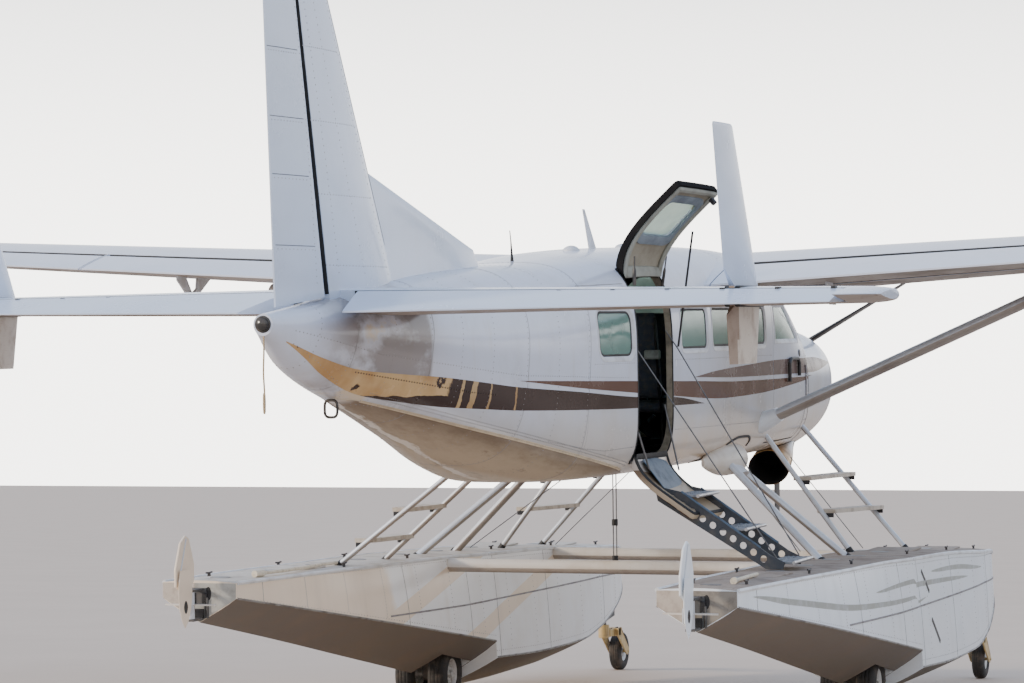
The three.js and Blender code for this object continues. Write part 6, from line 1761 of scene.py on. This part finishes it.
after_rows = np.array([(-6.72, 0.25, -0.568, 0.25, -0.665, -0.817),
                       (-5.55, 0.3, -0.592, 0.33, -0.846, -1.034),
                       (-4.4, 0.335, -0.622, 0.4, -1.028, -1.256),
                       (-3.2, 0.365, -0.65, 0.44, -1.218, -1.487),
                       (-2.42, 0.38, -0.68, 0.452, -1.34, -1.64),
                       (-2.38, 0.38, -0.681, 0.452, -1.346, -1.648)])
fore_rows = np.array([(-2.4, 0.38, -0.68, 0.455, -1.465, -1.7),
                      (-1.18, 0.382, -0.725, 0.45, -1.525, -1.732),
                      (-0.2, 0.375, -0.783, 0.425, -1.54, -1.736),
                      (0.45, 0.35, -0.828, 0.385, -1.485, -1.69),
                      (1.0, 0.3, -0.858, 0.325, -1.395, -1.59), (1.4, 0.245, -0.895, 0.262, -1.3, -1.45),
                      (1.64, 0.175, -0.96, 0.185, -1.21, -1.29), (1.74, 0.09, -1.05, 0.095, -1.15, -1.17)])


def hull_side(rows, y, share):
    """A point of a float's outboard side, from 0 at the deck edge to 1 at the chine: the curve of
    second degree through deck edge, rail and chine, where the rail lies out by 0.62 of the flare."""
    deck, deck_z, chine, chine_z = [eased(y, rows[:, 0], rows[:, i]) for i in (1, 2, 3, 4)]
    flare = 1.48 * share - 0.48 * share ** 2
    return np.stack(np.broadcast_arrays(deck + flare * (chine - deck), y,
                                        deck_z + share * (chine_z - deck_z)), -1)


def hull(rows, y):
    """Rings of a float: crowned deck, side, flat vee bottom, and the same again mirrored."""
    y = np.asarray(y, float)[:, None]
    deck, deck_z, chine, chine_z, keel_z = [eased(y, rows[:, 0], rows[:, i]) for i in range(1, 6)]
    s = np.linspace(0, 1, 6)[:-1]
    crown = np.stack(np.broadcast_arrays(deck * s, y, deck_z + 0.014 * (1 - s ** 2)), -1)
    flank = hull_side(rows, y, np.linspace(0, 1, 8))
    b = np.linspace(0, 1, 6)[1:]
    bottom = np.stack(np.broadcast_arrays(chine * (1 - b), y, chine_z + (keel_z - chine_z) * b ** 0.9), -1)
    half = np.concatenate([crown, flank, bottom], 1)
    return np.concatenate([half, half[:, -2:0:-1] * (-1, 1, 1)], 1)


bow_turn = np.linspace(0, pi / 2, 7)[1:]
fore = hull(fore_rows, np.concatenate([np.linspace(-2.4, 1.3, 30), np.linspace(1.36, 1.74, 10)]))
bow_middle = fore[-1].mean(0)
bow_cap = [bow_middle + (fore[-1] - bow_middle) * max(cos(a), 0.06) + (0, 0.035 * sin(a), 0)
           for a in bow_turn]
fore_part = loft(np.concatenate([fore, bow_cap]))
after_part = loft(hull(after_rows, np.linspace(-6.72, -2.385, 36)))
float_offset = 1.61
wheel_well = box((-0.245, -3.02, -1.9), (0.245, -2.415, -1.15))


def beside(parts, offset):
    """Bodies moved along x."""
    return [(points + (offset, 0, 0), faces) for points, faces in parts]


def split_faces(obj):
    """Gives a float's bottom the second finish and its deck the third, by the way they face."""
    facing = np.empty(len(obj.data.polygons) * 3)
    obj.data.polygons.foreach_get("normal", facing)
    kind = np.where(facing[2::3] < -0.35, 1, np.where(facing[2::3] > 0.8, 2, 0))
    obj.data.polygons.foreach_set("material_index", kind.astype(np.int32))


def deck_at(y):
    """The height of a float's deck edge at a station."""
    rows = after_rows if y < -2.4 else fore_rows
    return float(eased(y, rows[:, 0], rows[:, 2]))


def flank(y, share):
    """The outboard side of the whole float, whose two hulls meet at the step."""
    y = np.asarray(y, float)
    return np.where((y > -2.4)[:, None], hull_side(fore_rows, y, share), hull_side(after_rows, y, share))


deck_edges = ((after_rows, -6.7, -2.41), (fore_rows, -2.39, 1.72))
pale_rope = worn_finish("cream deck rope", (0.78, 0.70, 0.56), (0.45, 0.36, 0.25), 0.85, 12, 0.6)
cleat_metal = worn_finish("dark cleat metal", (0.06, 0.06, 0.065), (0.16, 0.12, 0.09), 0.5, 5, 0.6,
                          metallic=0.5)
for hand, label in hands:
    offset = hand * float_offset
    finishes = [hull_finishes[hand], shaded_bottom_paint, deck_finishes[hand]]
    after_hull = build(f"float_afterbody_{label}", beside([after_part], offset), "airframe",
                       finishes, sharp=30)
    carve(after_hull, beside([wheel_well], offset))
    fore_hull = build(f"float_forebody_{label}", beside([fore_part], offset), "airframe",
                      finishes, sharp=30)
    for piece in (after_hull, fore_hull):
        split_faces(piece)
    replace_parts(after_hull, f"float_hull_{label}")
    strips, edges, heads, head_ways = [], [], [], []
    for rows, start, stop in deck_edges:
        along = np.linspace(start, stop, 40)
        for face in (1, -1):
            for kept, share, thick in ((edges, 0.012, 0.014), (strips, 0.99, 0.007)):
                kept.append(tube(hull_side(rows, along, share) * (face, 1, 1), thick, 6))
            for share in (0.06, 0.93):
                points = evenly(hull_side(rows, along, share), 0.045)
                heads.append(points * (face, 1, 1) + (offset, 0, 0))
                head_ways.append(np.tile((face * 1.0, 0, 0), (len(points), 1)))
            for y in np.arange(start + 0.35, stop - 0.2, 0.62):
                points = hull_side(rows, np.full(16, y), np.linspace(0.1, 0.9, 16))
                heads.append(points * (face, 1, 1) + (offset, 0, 0))
                head_ways.append(np.tile((face * 1.0, 0, 0), (16, 1)))
    build(f"float_strips_{label}", beside(strips, offset), "airframe", trim_strip)
    build(f"deck_edges_{label}", beside(edges, offset), "airframe", edge_paint)
    rivets = studs(np.concatenate(heads), np.concatenate(head_ways), 0.0045, 0.0015)
    build(f"float_rivets_{label}", [rivets], "airframe", rivet_metal)
    rail_y = np.linspace(-4.43, 1.62, 60)
    rail_z = np.interp(rail_y, (-4.43, -3.0, 0.45, 1.62), (-0.975, -1.02, -1.078, -1.12))
    rail_rows = [np.where(rail_y > -2.4, eased(rail_y, fore_rows[:, 0], fore_rows[:, i]),
                          eased(rail_y, after_rows[:, 0], after_rows[:, i])) for i in (2, 4)]
    rail = flank(rail_y, (rail_z - rail_rows[0]) / (rail_rows[1] - rail_rows[0]))
    seams = both([strap(rail, (1, 0, 0), 0.012, 0.004)])
    for y in (-4.1, -2.9, -2.3, -1.1, 0.55):
        post = flank(np.full(20, y), np.linspace(0.02, 0.98, 20))
        seams += both([strap(post, (1, 0, 0), 0.005, 0.001)])
    build(f"float_seams_{label}", beside(seams, offset), "airframe", joint_edge)

    # Deck fittings: mooring cleats, round inspection covers, hatch lids and a rope
    cleats, covers, lids = [], [], []
    for y in (-6.2, -4.9, -3.7, -1.9, -0.45, 0.9):
        top = deck_at(y) + 0.012
        reach = 0.24 * (0.8 if y > 0.5 else 0.7 if y < -6 else 1)
        for x in (-reach, reach):
            horns = [(x, y - 0.045, top + 0.021), (x, y, top + 0.018), (x, y + 0.045, top + 0.021)]
            cleats.append(tube(horns, 0.006, 8))
            for foot_y in (y - 0.012, y + 0.012):
                cleats.append(tube([(x, foot_y, top - 0.01), (x, foot_y, top + 0.019)], 0.006, 8))
    for y in np.arange(-6.4, 1.4, 0.78):
        top = deck_at(y) + 0.012
        cover_route = [(0, y, top - 0.004), (0, y, top + 0.005), (0, y, top + 0.0051)]
        covers.append(tube(cover_route, [0.065, 0.065, 0.05], 24))
    for y, length in ((-5.3, 0.5), (-1.4, 0.7), (0.2, 0.5)):
        top = deck_at(y) + 0.004
        lids.append(box((-0.17, y - length / 2, top), (0.17, y + length / 2, top + 0.014)))
    build(f"deck_cleats_{label}", beside(cleats, offset), "airframe", cleat_metal)
    build(f"deck_covers_{label}", beside(covers, offset), "airframe", trim_strip)
    deck_lids = build(f"deck_lids_{label}", beside(lids, offset), "airframe",
                      deck_finishes[hand])
    bevelled(deck_lids, 0.004)
    rope_share = np.linspace(0, 1, 30)
    rope_y = -6.25 + (0.75 if hand > 0 else 1.5) * rope_share
    rope_x = (0.10 - 0.05 * rope_share if hand > 0 else 0.17 + 0.03 * np.sin(5 * rope_share))
    rope_top = eased(rope_y, after_rows[:, 0], after_rows[:, 2]) + 0.03
    rope_thick = np.where(rope_share < 0.08, 0.022, 0.012)
    deck_rope = tube(np.stack([rope_x, rope_y, rope_top], -1), rope_thick, 10)
    build(f"deck_rope_{label}", beside([deck_rope], offset), "airframe", pale_rope)


# Marks on the starboard float's outer side. Three long tapered strokes of thin grey green paint run
# along it, and two dark slots stand on a slant where the side is vented.
stroke_paint = worn_finish("thin grey green paint", (0.36, 0.37, 0.34), (0.55, 0.57, 0.58), 0.45, 6, 0.9)


def stroke(knots, widest):
    """A tapered stroke on a float's outer side through (station, share of the side's height)."""
    marks = np.linspace(0, 1, len(knots))
    at = np.linspace(0, 1, 40)
    y, share = eased(at, marks, [k[0] for k in knots]), eased(at, marks, [k[1] for k in knots])
    path = flank(y, share)
    wide = widest * np.sin(pi * at) ** 0.6 + 0.001
    ahead = np.gradient(path, axis=0)
    across = np.cross(ahead, (1.0, 0, 0))
    across *= wide[:, None] / 2 / np.linalg.norm(across, axis=1, keepdims=True)
    lift = np.array((0.0015, 0, 0))
    return loft(np.stack([path - across + lift, path + across + lift,
                          path + across - lift, path - across - lift], 1))


strokes = [stroke([(-6.43, 0.38), (-5.59, 0.57), (-4.61, 0.62), (-3.42, 0.53), (-2.08, 0.37)], 0.055),
           stroke([(-3.62, 0.37), (-2.18, 0.25), (-0.4, 0.25)], 0.045),
           stroke([(-1.81, 0.15), (-0.82, 0.15), (0.3, 0.18)], 0.04)]
build("float_strokes", beside(strokes, float_offset), "airframe", stroke_paint)
slots = []
for near, far in (((-2.15, 0.13), (-1.96, 0.33)), ((-1.96, 0.58), (-1.73, 0.80))):
    path = flank(np.linspace(near[0], far[0], 12), np.linspace(near[1], far[1], 12))
    slots.append(strap(path, (1, 0, 0), 0.028, 0.003))
build("float_slots", beside(slots, float_offset), "airframe", black_metal)


# Float wheels and water rudders. The main wheels stand in pairs in wells behind the step, and a
# free caster carries each bow wheel. Blades on the transoms swing down into the water to steer.
tyre_rubber = worn_finish("dusty tyre rubber", (0.022, 0.021, 0.021), (0.13, 0.105, 0.085), 0.75, 5, 0.7,
                          0.4)
rim_metal = worn_finish("pale wheel rim", (0.58, 0.58, 0.57), (0.25, 0.21, 0.18), 0.4, 6, 0.6, metallic=0.4)
gear_grey = worn_finish("dark grey gear paint", (0.075, 0.078, 0.082), (0.18, 0.14, 0.11), 0.5, 3, 0.6)
gear_gold = worn_finish("cream gold gear paint", (0.60, 0.44, 0.20), (0.26, 0.17, 0.09), 0.4, 5, 0.6)


def turned_ring(profile, centre, around=48):
    """A closed profile of (distance across, radius) turned about a line along x."""
    profile = np.asarray(profile, float)
    turn = 2 * pi * np.arange(around + 1) / around
    x = np.broadcast_to(profile[:, 0], (around + 1, len(profile)))
    rings = np.stack([x, np.outer(np.cos(turn), profile[:, 1]), np.outer(np.sin(turn), profile[:, 1])], -1)
    rings[-1] = rings[0]
    return loft(rings + np.asarray(centre, float), ends=False)


def tyre_parts(radius, half, centre):
    """The tyre of one wheel, a rounded section with three grooves, then its rim and rim bolts."""
    bulge = np.linspace(-1, 1, 41)
    height = radius - 0.38 * radius * np.abs(bulge) ** 3.2
    across = half * np.sin(bulge * pi / 2)
    groove = 0.018 * radius * np.any([np.abs(bulge - g) < 0.03 for g in (-0.25, 0, 0.25)], axis=0)
    tyre = [(-0.72 * half, 0.50 * radius), *zip(across, height - groove), (0.72 * half, 0.50 * radius)]
    edge = np.array([(0.70, 0.12), (0.52, 0.14), (0.42, 0.40), (0.74, 0.50), (0.78, 0.545), (0.70, 0.56)])
    wheel_rim = np.concatenate([edge * (-half, radius), edge[::-1] * (half, radius)])
    bolt_turn = 2 * pi * np.arange(8) / 8
    ways = []
    for way in (-1, 1):
        places = np.stack([np.full(8, centre[0] + way * 0.455 * half),
                           centre[1] + 0.27 * radius * np.cos(bolt_turn),
                           centre[2] + 0.27 * radius * np.sin(bolt_turn)], -1)
        ways.append(studs(places, (way, 0, 0), 0.03 * radius, 0.05 * radius))
    return turned_ring(tyre, centre), [turned_ring(wheel_rim, centre)] + ways


# Transom paints: the dark ones are painted shade, the cream one painted sunlight
shaded_transom = worn_finish("shaded tan grey transom paint", (0.27, 0.245, 0.21), (0.11, 0.09, 0.075), 0.5, 6, 0.6)
shaded_grey_transom = worn_finish("grey transom paint", (0.46, 0.46, 0.43), (0.20, 0.18, 0.15), 0.5, 5, 0.6)
sunlit_transom = worn_finish("sunlit cream transom paint", (0.52, 0.46, 0.40), (0.24, 0.18, 0.14), 0.5, 4, 0.7)
for hand, label in hands:
    offset = hand * float_offset
    body, tyres, rims = f"main_wheels_{label}", [], []
    for x in (-0.128, 0.128):
        tyre, rim_parts = tyre_parts(0.222, 0.072, (offset + x, -2.65, -1.564))
        tyres.append(tyre)
        rims += rim_parts
    main_tyres = build(f"main_tyres_{label}", tyres, body, tyre_rubber, sharp=50)
    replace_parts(main_tyres, body)
    axle = tube([(offset + x, -2.65, -1.564) for x in (-0.19, 0, 0.19)], 0.0248, 24)
    build(f"main_rims_{label}", rims + [axle], body, rim_metal)
    leg_outline = [(-2.69, -1.15), (-2.45, -1.15), (-2.6, -1.56), (-2.7, -1.56)]
    boss = [(-0.034, 0.0262), (0.034, 0.0262), (0.034, 0.052), (-0.034, 0.052), (-0.034, 0.0262)]
    leg = [prism(leg_outline, offset - 0.034, offset + 0.034),
           turned_ring(boss, (offset, -2.65, -1.564), 32)]
    main_leg = bevelled(build(f"main_leg_{label}", leg, "airframe", gear_grey), 0.006)
    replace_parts(main_leg, f"main_gear_leg_{label}")
    fork_outline = [(1.5, -1.25), (1.86, -1.225), (1.85, -1.53), (1.59, -1.56)]
    bow_fork = prism(fork_outline, offset - 0.06, offset + 0.06)
    bow_pin = tube([(offset, 1.72, -1.69), (offset, 1.72, -1.5)], 0.022, 20)
    build(f"bow_leg_{label}", [bow_fork, bow_pin], "airframe", gear_grey)
    caster_body = f"bow_caster_{label}"
    arm = [(1.88, -1.645), (1.955, -1.645), (2.2, -1.85), (2.17, -1.905), (2.12, -1.89), (1.88, -1.715)]
    head_reach, head_z = (0.0235, 0.048, 0.048, 0.0235, 0.0235), (-1.715, -1.715, -1.60, -1.60, -1.715)
    head_turn = 2 * pi * np.arange(33) / 32
    head_rings = np.stack([np.outer(np.cos(head_turn), head_reach) + offset,
                           np.outer(np.sin(head_turn), head_reach) + 1.72, np.tile(head_z, (33, 1))], -1)
    head_rings[-1] = head_rings[0]
    caster_parts = [loft(head_rings, ends=False),
                    box((offset - 0.045, 1.77, -1.712), (offset + 0.045, 1.95, -1.648)),
                    box((offset - 0.084, 1.89, -1.715), (offset + 0.084, 1.955, -1.645)),
                    prism(arm, offset - 0.084, offset - 0.07), prism(arm, offset + 0.07, offset + 0.084),
                    tube([(offset - 0.092, 2.165, -1.872), (offset + 0.092, 2.165, -1.872)], 0.013, 16)]
    caster = build(f"{caster_body}_frame", caster_parts, caster_body, gear_gold)
    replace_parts(bevelled(caster, 0.005), caster_body)
    bolts = np.array([(offset + dx, y, -1.645) for dx in (-0.055, 0.055) for y in (1.905, 1.94)]
                     + [(offset + dx, y, -1.648) for dx in (-0.03, 0.03) for y in (1.80, 1.85)])
    build(f"{caster_body}_bolts", [studs(bolts, (0, 0, 1), 0.009, 0.008)], caster_body,
          black_metal)
    tyre, rim_parts = tyre_parts(0.166, 0.054, (offset, 2.165, -1.872))
    bow_tyre = build(f"bow_tyre_{label}", [tyre], f"bow_wheel_{label}", tyre_rubber, sharp=50)
    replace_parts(bow_tyre, f"bow_wheel_{label}")
    build(f"bow_rim_{label}", rim_parts, f"bow_wheel_{label}", rim_metal)

    # Water rudder: plates on the transom, a steering post between them, a leaf-shaped blade that
    # swings down, and a thin fixed leaf on the post below it
    plates = [box((offset - 0.03, -6.87, z), (offset + 0.03, -6.70, z + 0.015)) for z in (-0.616, -0.799)]
    plates += [box((offset + x, -6.735, -0.79), (offset + x + 0.012, -6.72, -0.66)) for x in (0.034, 0.052)]
    plates += [box((offset - 0.05, -6.73, -0.70), (offset + 0.05, -6.716, -0.60)),
               tube([(offset, -6.85, -0.80), (offset, -6.85, -0.60)], 0.009, 12)]
    bevelled(build(f"transom_plates_{label}", plates, "airframe", gear_grey), 0.003)
    transom_oval = [oval(offset + 0.062, -0.635, 0.019, 0.042, -6.7245, -6.7215)]
    build(f"transom_hole_{label}", transom_oval, "airframe", black_metal)
    post_parts = [tube([(offset, -6.85, -0.783), (offset, -6.85, -0.617)], 0.024, 24),
                  box((offset - 0.02, -6.965, -0.745), (offset - 0.013, -6.85, -0.655)),
                  box((offset + 0.013, -6.965, -0.745), (offset + 0.02, -6.85, -0.655)),
                  tube([(offset - 0.021, -6.94, -0.70), (offset + 0.021, -6.94, -0.70)], 0.009, 12)]
    post = build(f"steering_post_{label}", post_parts, f"rudder_post_{label}", strut_paint)
    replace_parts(post, f"rudder_post_{label}")
    tiller = [prism([(offset - 0.17, -6.86), (offset + 0.17, -6.86), (offset + 0.16, -6.82),
                     (offset + 0.03, -6.82), (offset - 0.03, -6.82), (offset - 0.16, -6.82)],
                    -0.70, -0.692, axis=2)]
    build(f"tiller_{label}", tiller, f"rudder_post_{label}", fairing_paint)
    leaf = np.array([(-0.034, -0.044), (0.034, -0.044), (0.04, 0.0), (0.04, 0.09), (0.132, 0.15),
                     (0.132, 0.26), (0.06, 0.42), (0.010, 0.44), (-0.06, 0.4), (-0.135, 0.24),
                     (-0.135, 0.13), (-0.045, 0.09)])
    plate = prism(spaced(leaf + (-6.94, -0.70), step=0.03), offset - 0.008, offset + 0.008)
    blade = build(f"rudder_blade_{label}", [plate], f"water_rudder_{label}",
                  hull_finishes[hand])
    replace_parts(bevelled(blade, 0.005, 3), f"water_rudder_{label}")
    ribs = [tube([(offset + x, -7.04, -0.54), (offset + x, -6.93, -0.28)], 0.006, 8)
            for x in (-0.009, 0.009)]
    build(f"blade_ribs_{label}", ribs, f"water_rudder_{label}", strut_paint)

    low_leaf = [(-7.05, -0.47), (-7.072, -0.56), (-7.074, -0.64), (-7.06, -0.72), (-7.03, -0.78),
                (-6.985, -0.83), (-6.94, -0.79), (-6.90, -0.72), (-6.879, -0.64), (-6.879, -0.56),
                (-6.91, -0.47)]
    build(f"rudder_leaf_{label}", [prism(low_leaf, offset + 0.0215, offset + 0.0245)],
          f"rudder_post_{label}", hull_finishes[hand])
    almond = [(-6.975 + 0.028 * cos(a), -0.70 + 0.040 * np.sign(sin(a)) * abs(sin(a)) ** 1.4)
              for a in 2 * pi * np.arange(20) / 20]
    build(f"rudder_leaf_hole_{label}", [prism(almond, offset + 0.0245, offset + 0.0255)],
          f"rudder_post_{label}", black_metal)
    # The transom is painted in two halves: the half to port is painted sunlight, the half to starboard
    # painted shade
    shaded_corners = ((-0.03, -0.57), (0.248, -0.57), (0.248, -0.666), (0.0, -0.815), (-0.03, -0.798))
    sunlit_corners = ((-0.248, -0.57), (-0.032, -0.57), (-0.032, -0.797), (-0.248, -0.666))
    shaded_panel, sunlit_panel = [[(offset + x, z) for x, z in corners]
                              for corners in (shaded_corners, sunlit_corners)]
    build(f"transom_shaded_panel_{label}", [prism(shaded_panel, -6.7225, -6.7195, axis=1)], "airframe",
          shaded_transom if hand > 0 else shaded_grey_transom)
    build(f"transom_sunlit_panel_{label}", [prism(sunlit_panel, -6.7225, -6.7195, axis=1)], "airframe",
          sunlit_transom)
    fittings = [box((offset - 0.035, -6.75, -0.79), (offset + 0.035, -6.72, -0.73)),
                box((offset - 0.055, -6.735, -0.70), (offset - 0.02, -6.72, -0.63)),
                box((offset + 0.02, -6.735, -0.70), (offset + 0.055, -6.72, -0.63))]
    bevelled(build(f"transom_fittings_{label}", fittings, "airframe", black_metal), 0.004)


# Floor and light. A plain pale apron runs to the horizon. The sky is white with haze low down and a
# soft blue overhead, and one broad warm light stands low behind the tail to port. The haze that
# the lens sees is brighter than the haze that lights the paint, which is dark along the horizon.
floor_finish, floor_tree, floor_shader = new_finish("pale apron", roughness=0.85)
floor_at = add(floor_tree, "TexCoord").outputs["Object"]
floor_cloud = noise(floor_tree, floor_at, 0.6, 6, 0.6)
floor_tree.links.new(blended(floor_tree, floor_cloud, (0.53, 0.43, 0.345, 1), (0.62, 0.515, 0.42, 1)),
                     floor_shader.inputs["Base Color"])
floor_mesh = bpy.data.meshes.new("floor")
reach = 2500
floor_corners = [(-reach, -reach, 0), (reach, -reach, 0), (reach, reach, 0), (-reach, reach, 0)]
floor_mesh.from_pydata(floor_corners, [], [(0, 1, 2, 3)])
floor_mesh.materials.append(floor_finish)
floor = bpy.data.objects.new("floor", floor_mesh)
bpy.context.scene.collection.objects.link(floor)

sky = bpy.data.worlds.new("soft sky")
sky.use_nodes = True
bpy.context.scene.world = sky
sky_tree = sky.node_tree
backdrop = sky_tree.nodes["Background"]
sky_up = add(sky_tree, "SeparateXYZ", {0: add(sky_tree, "TexCoord").outputs["Generated"]}).outputs["Z"]
haze_share = ramp(sky_tree, sky_up, 0.06, 0.24)
blue_share = ramp(sky_tree, sky_up, 0.2, 0.8)
high_sky = blended(sky_tree, blue_share, (1.25, 1.32, 1.44, 1), (0.66, 0.84, 1.2, 1))
seen = add(sky_tree, "LightPath").outputs["Is Camera Ray"]
far_ground = ramp(sky_tree, sky_up, 0.05, 0.13)
lit = blended(sky_tree, far_ground, (0.26, 0.24, 0.22, 1), (3.0, 2.92, 2.8, 1))
haze = blended(sky_tree, seen, lit, (5.2, 5.05, 4.8, 1))
sky_tree.links.new(blended(sky_tree, haze_share, haze, high_sky), backdrop.inputs["Color"])
backdrop.inputs["Strength"].default_value = 1.0

key = bpy.data.lights.new("low_sun", "SUN")
key.energy = 3.2
key.angle = radians(8)
key.color = (1.0, 0.86, 0.70)
key_object = bpy.data.objects.new("low_sun", key)
bpy.context.scene.collection.objects.link(key_object)
key_object.rotation_euler = Vector((0.8, 0.5, -0.27)).to_track_quat("-Z", "Y").to_euler()
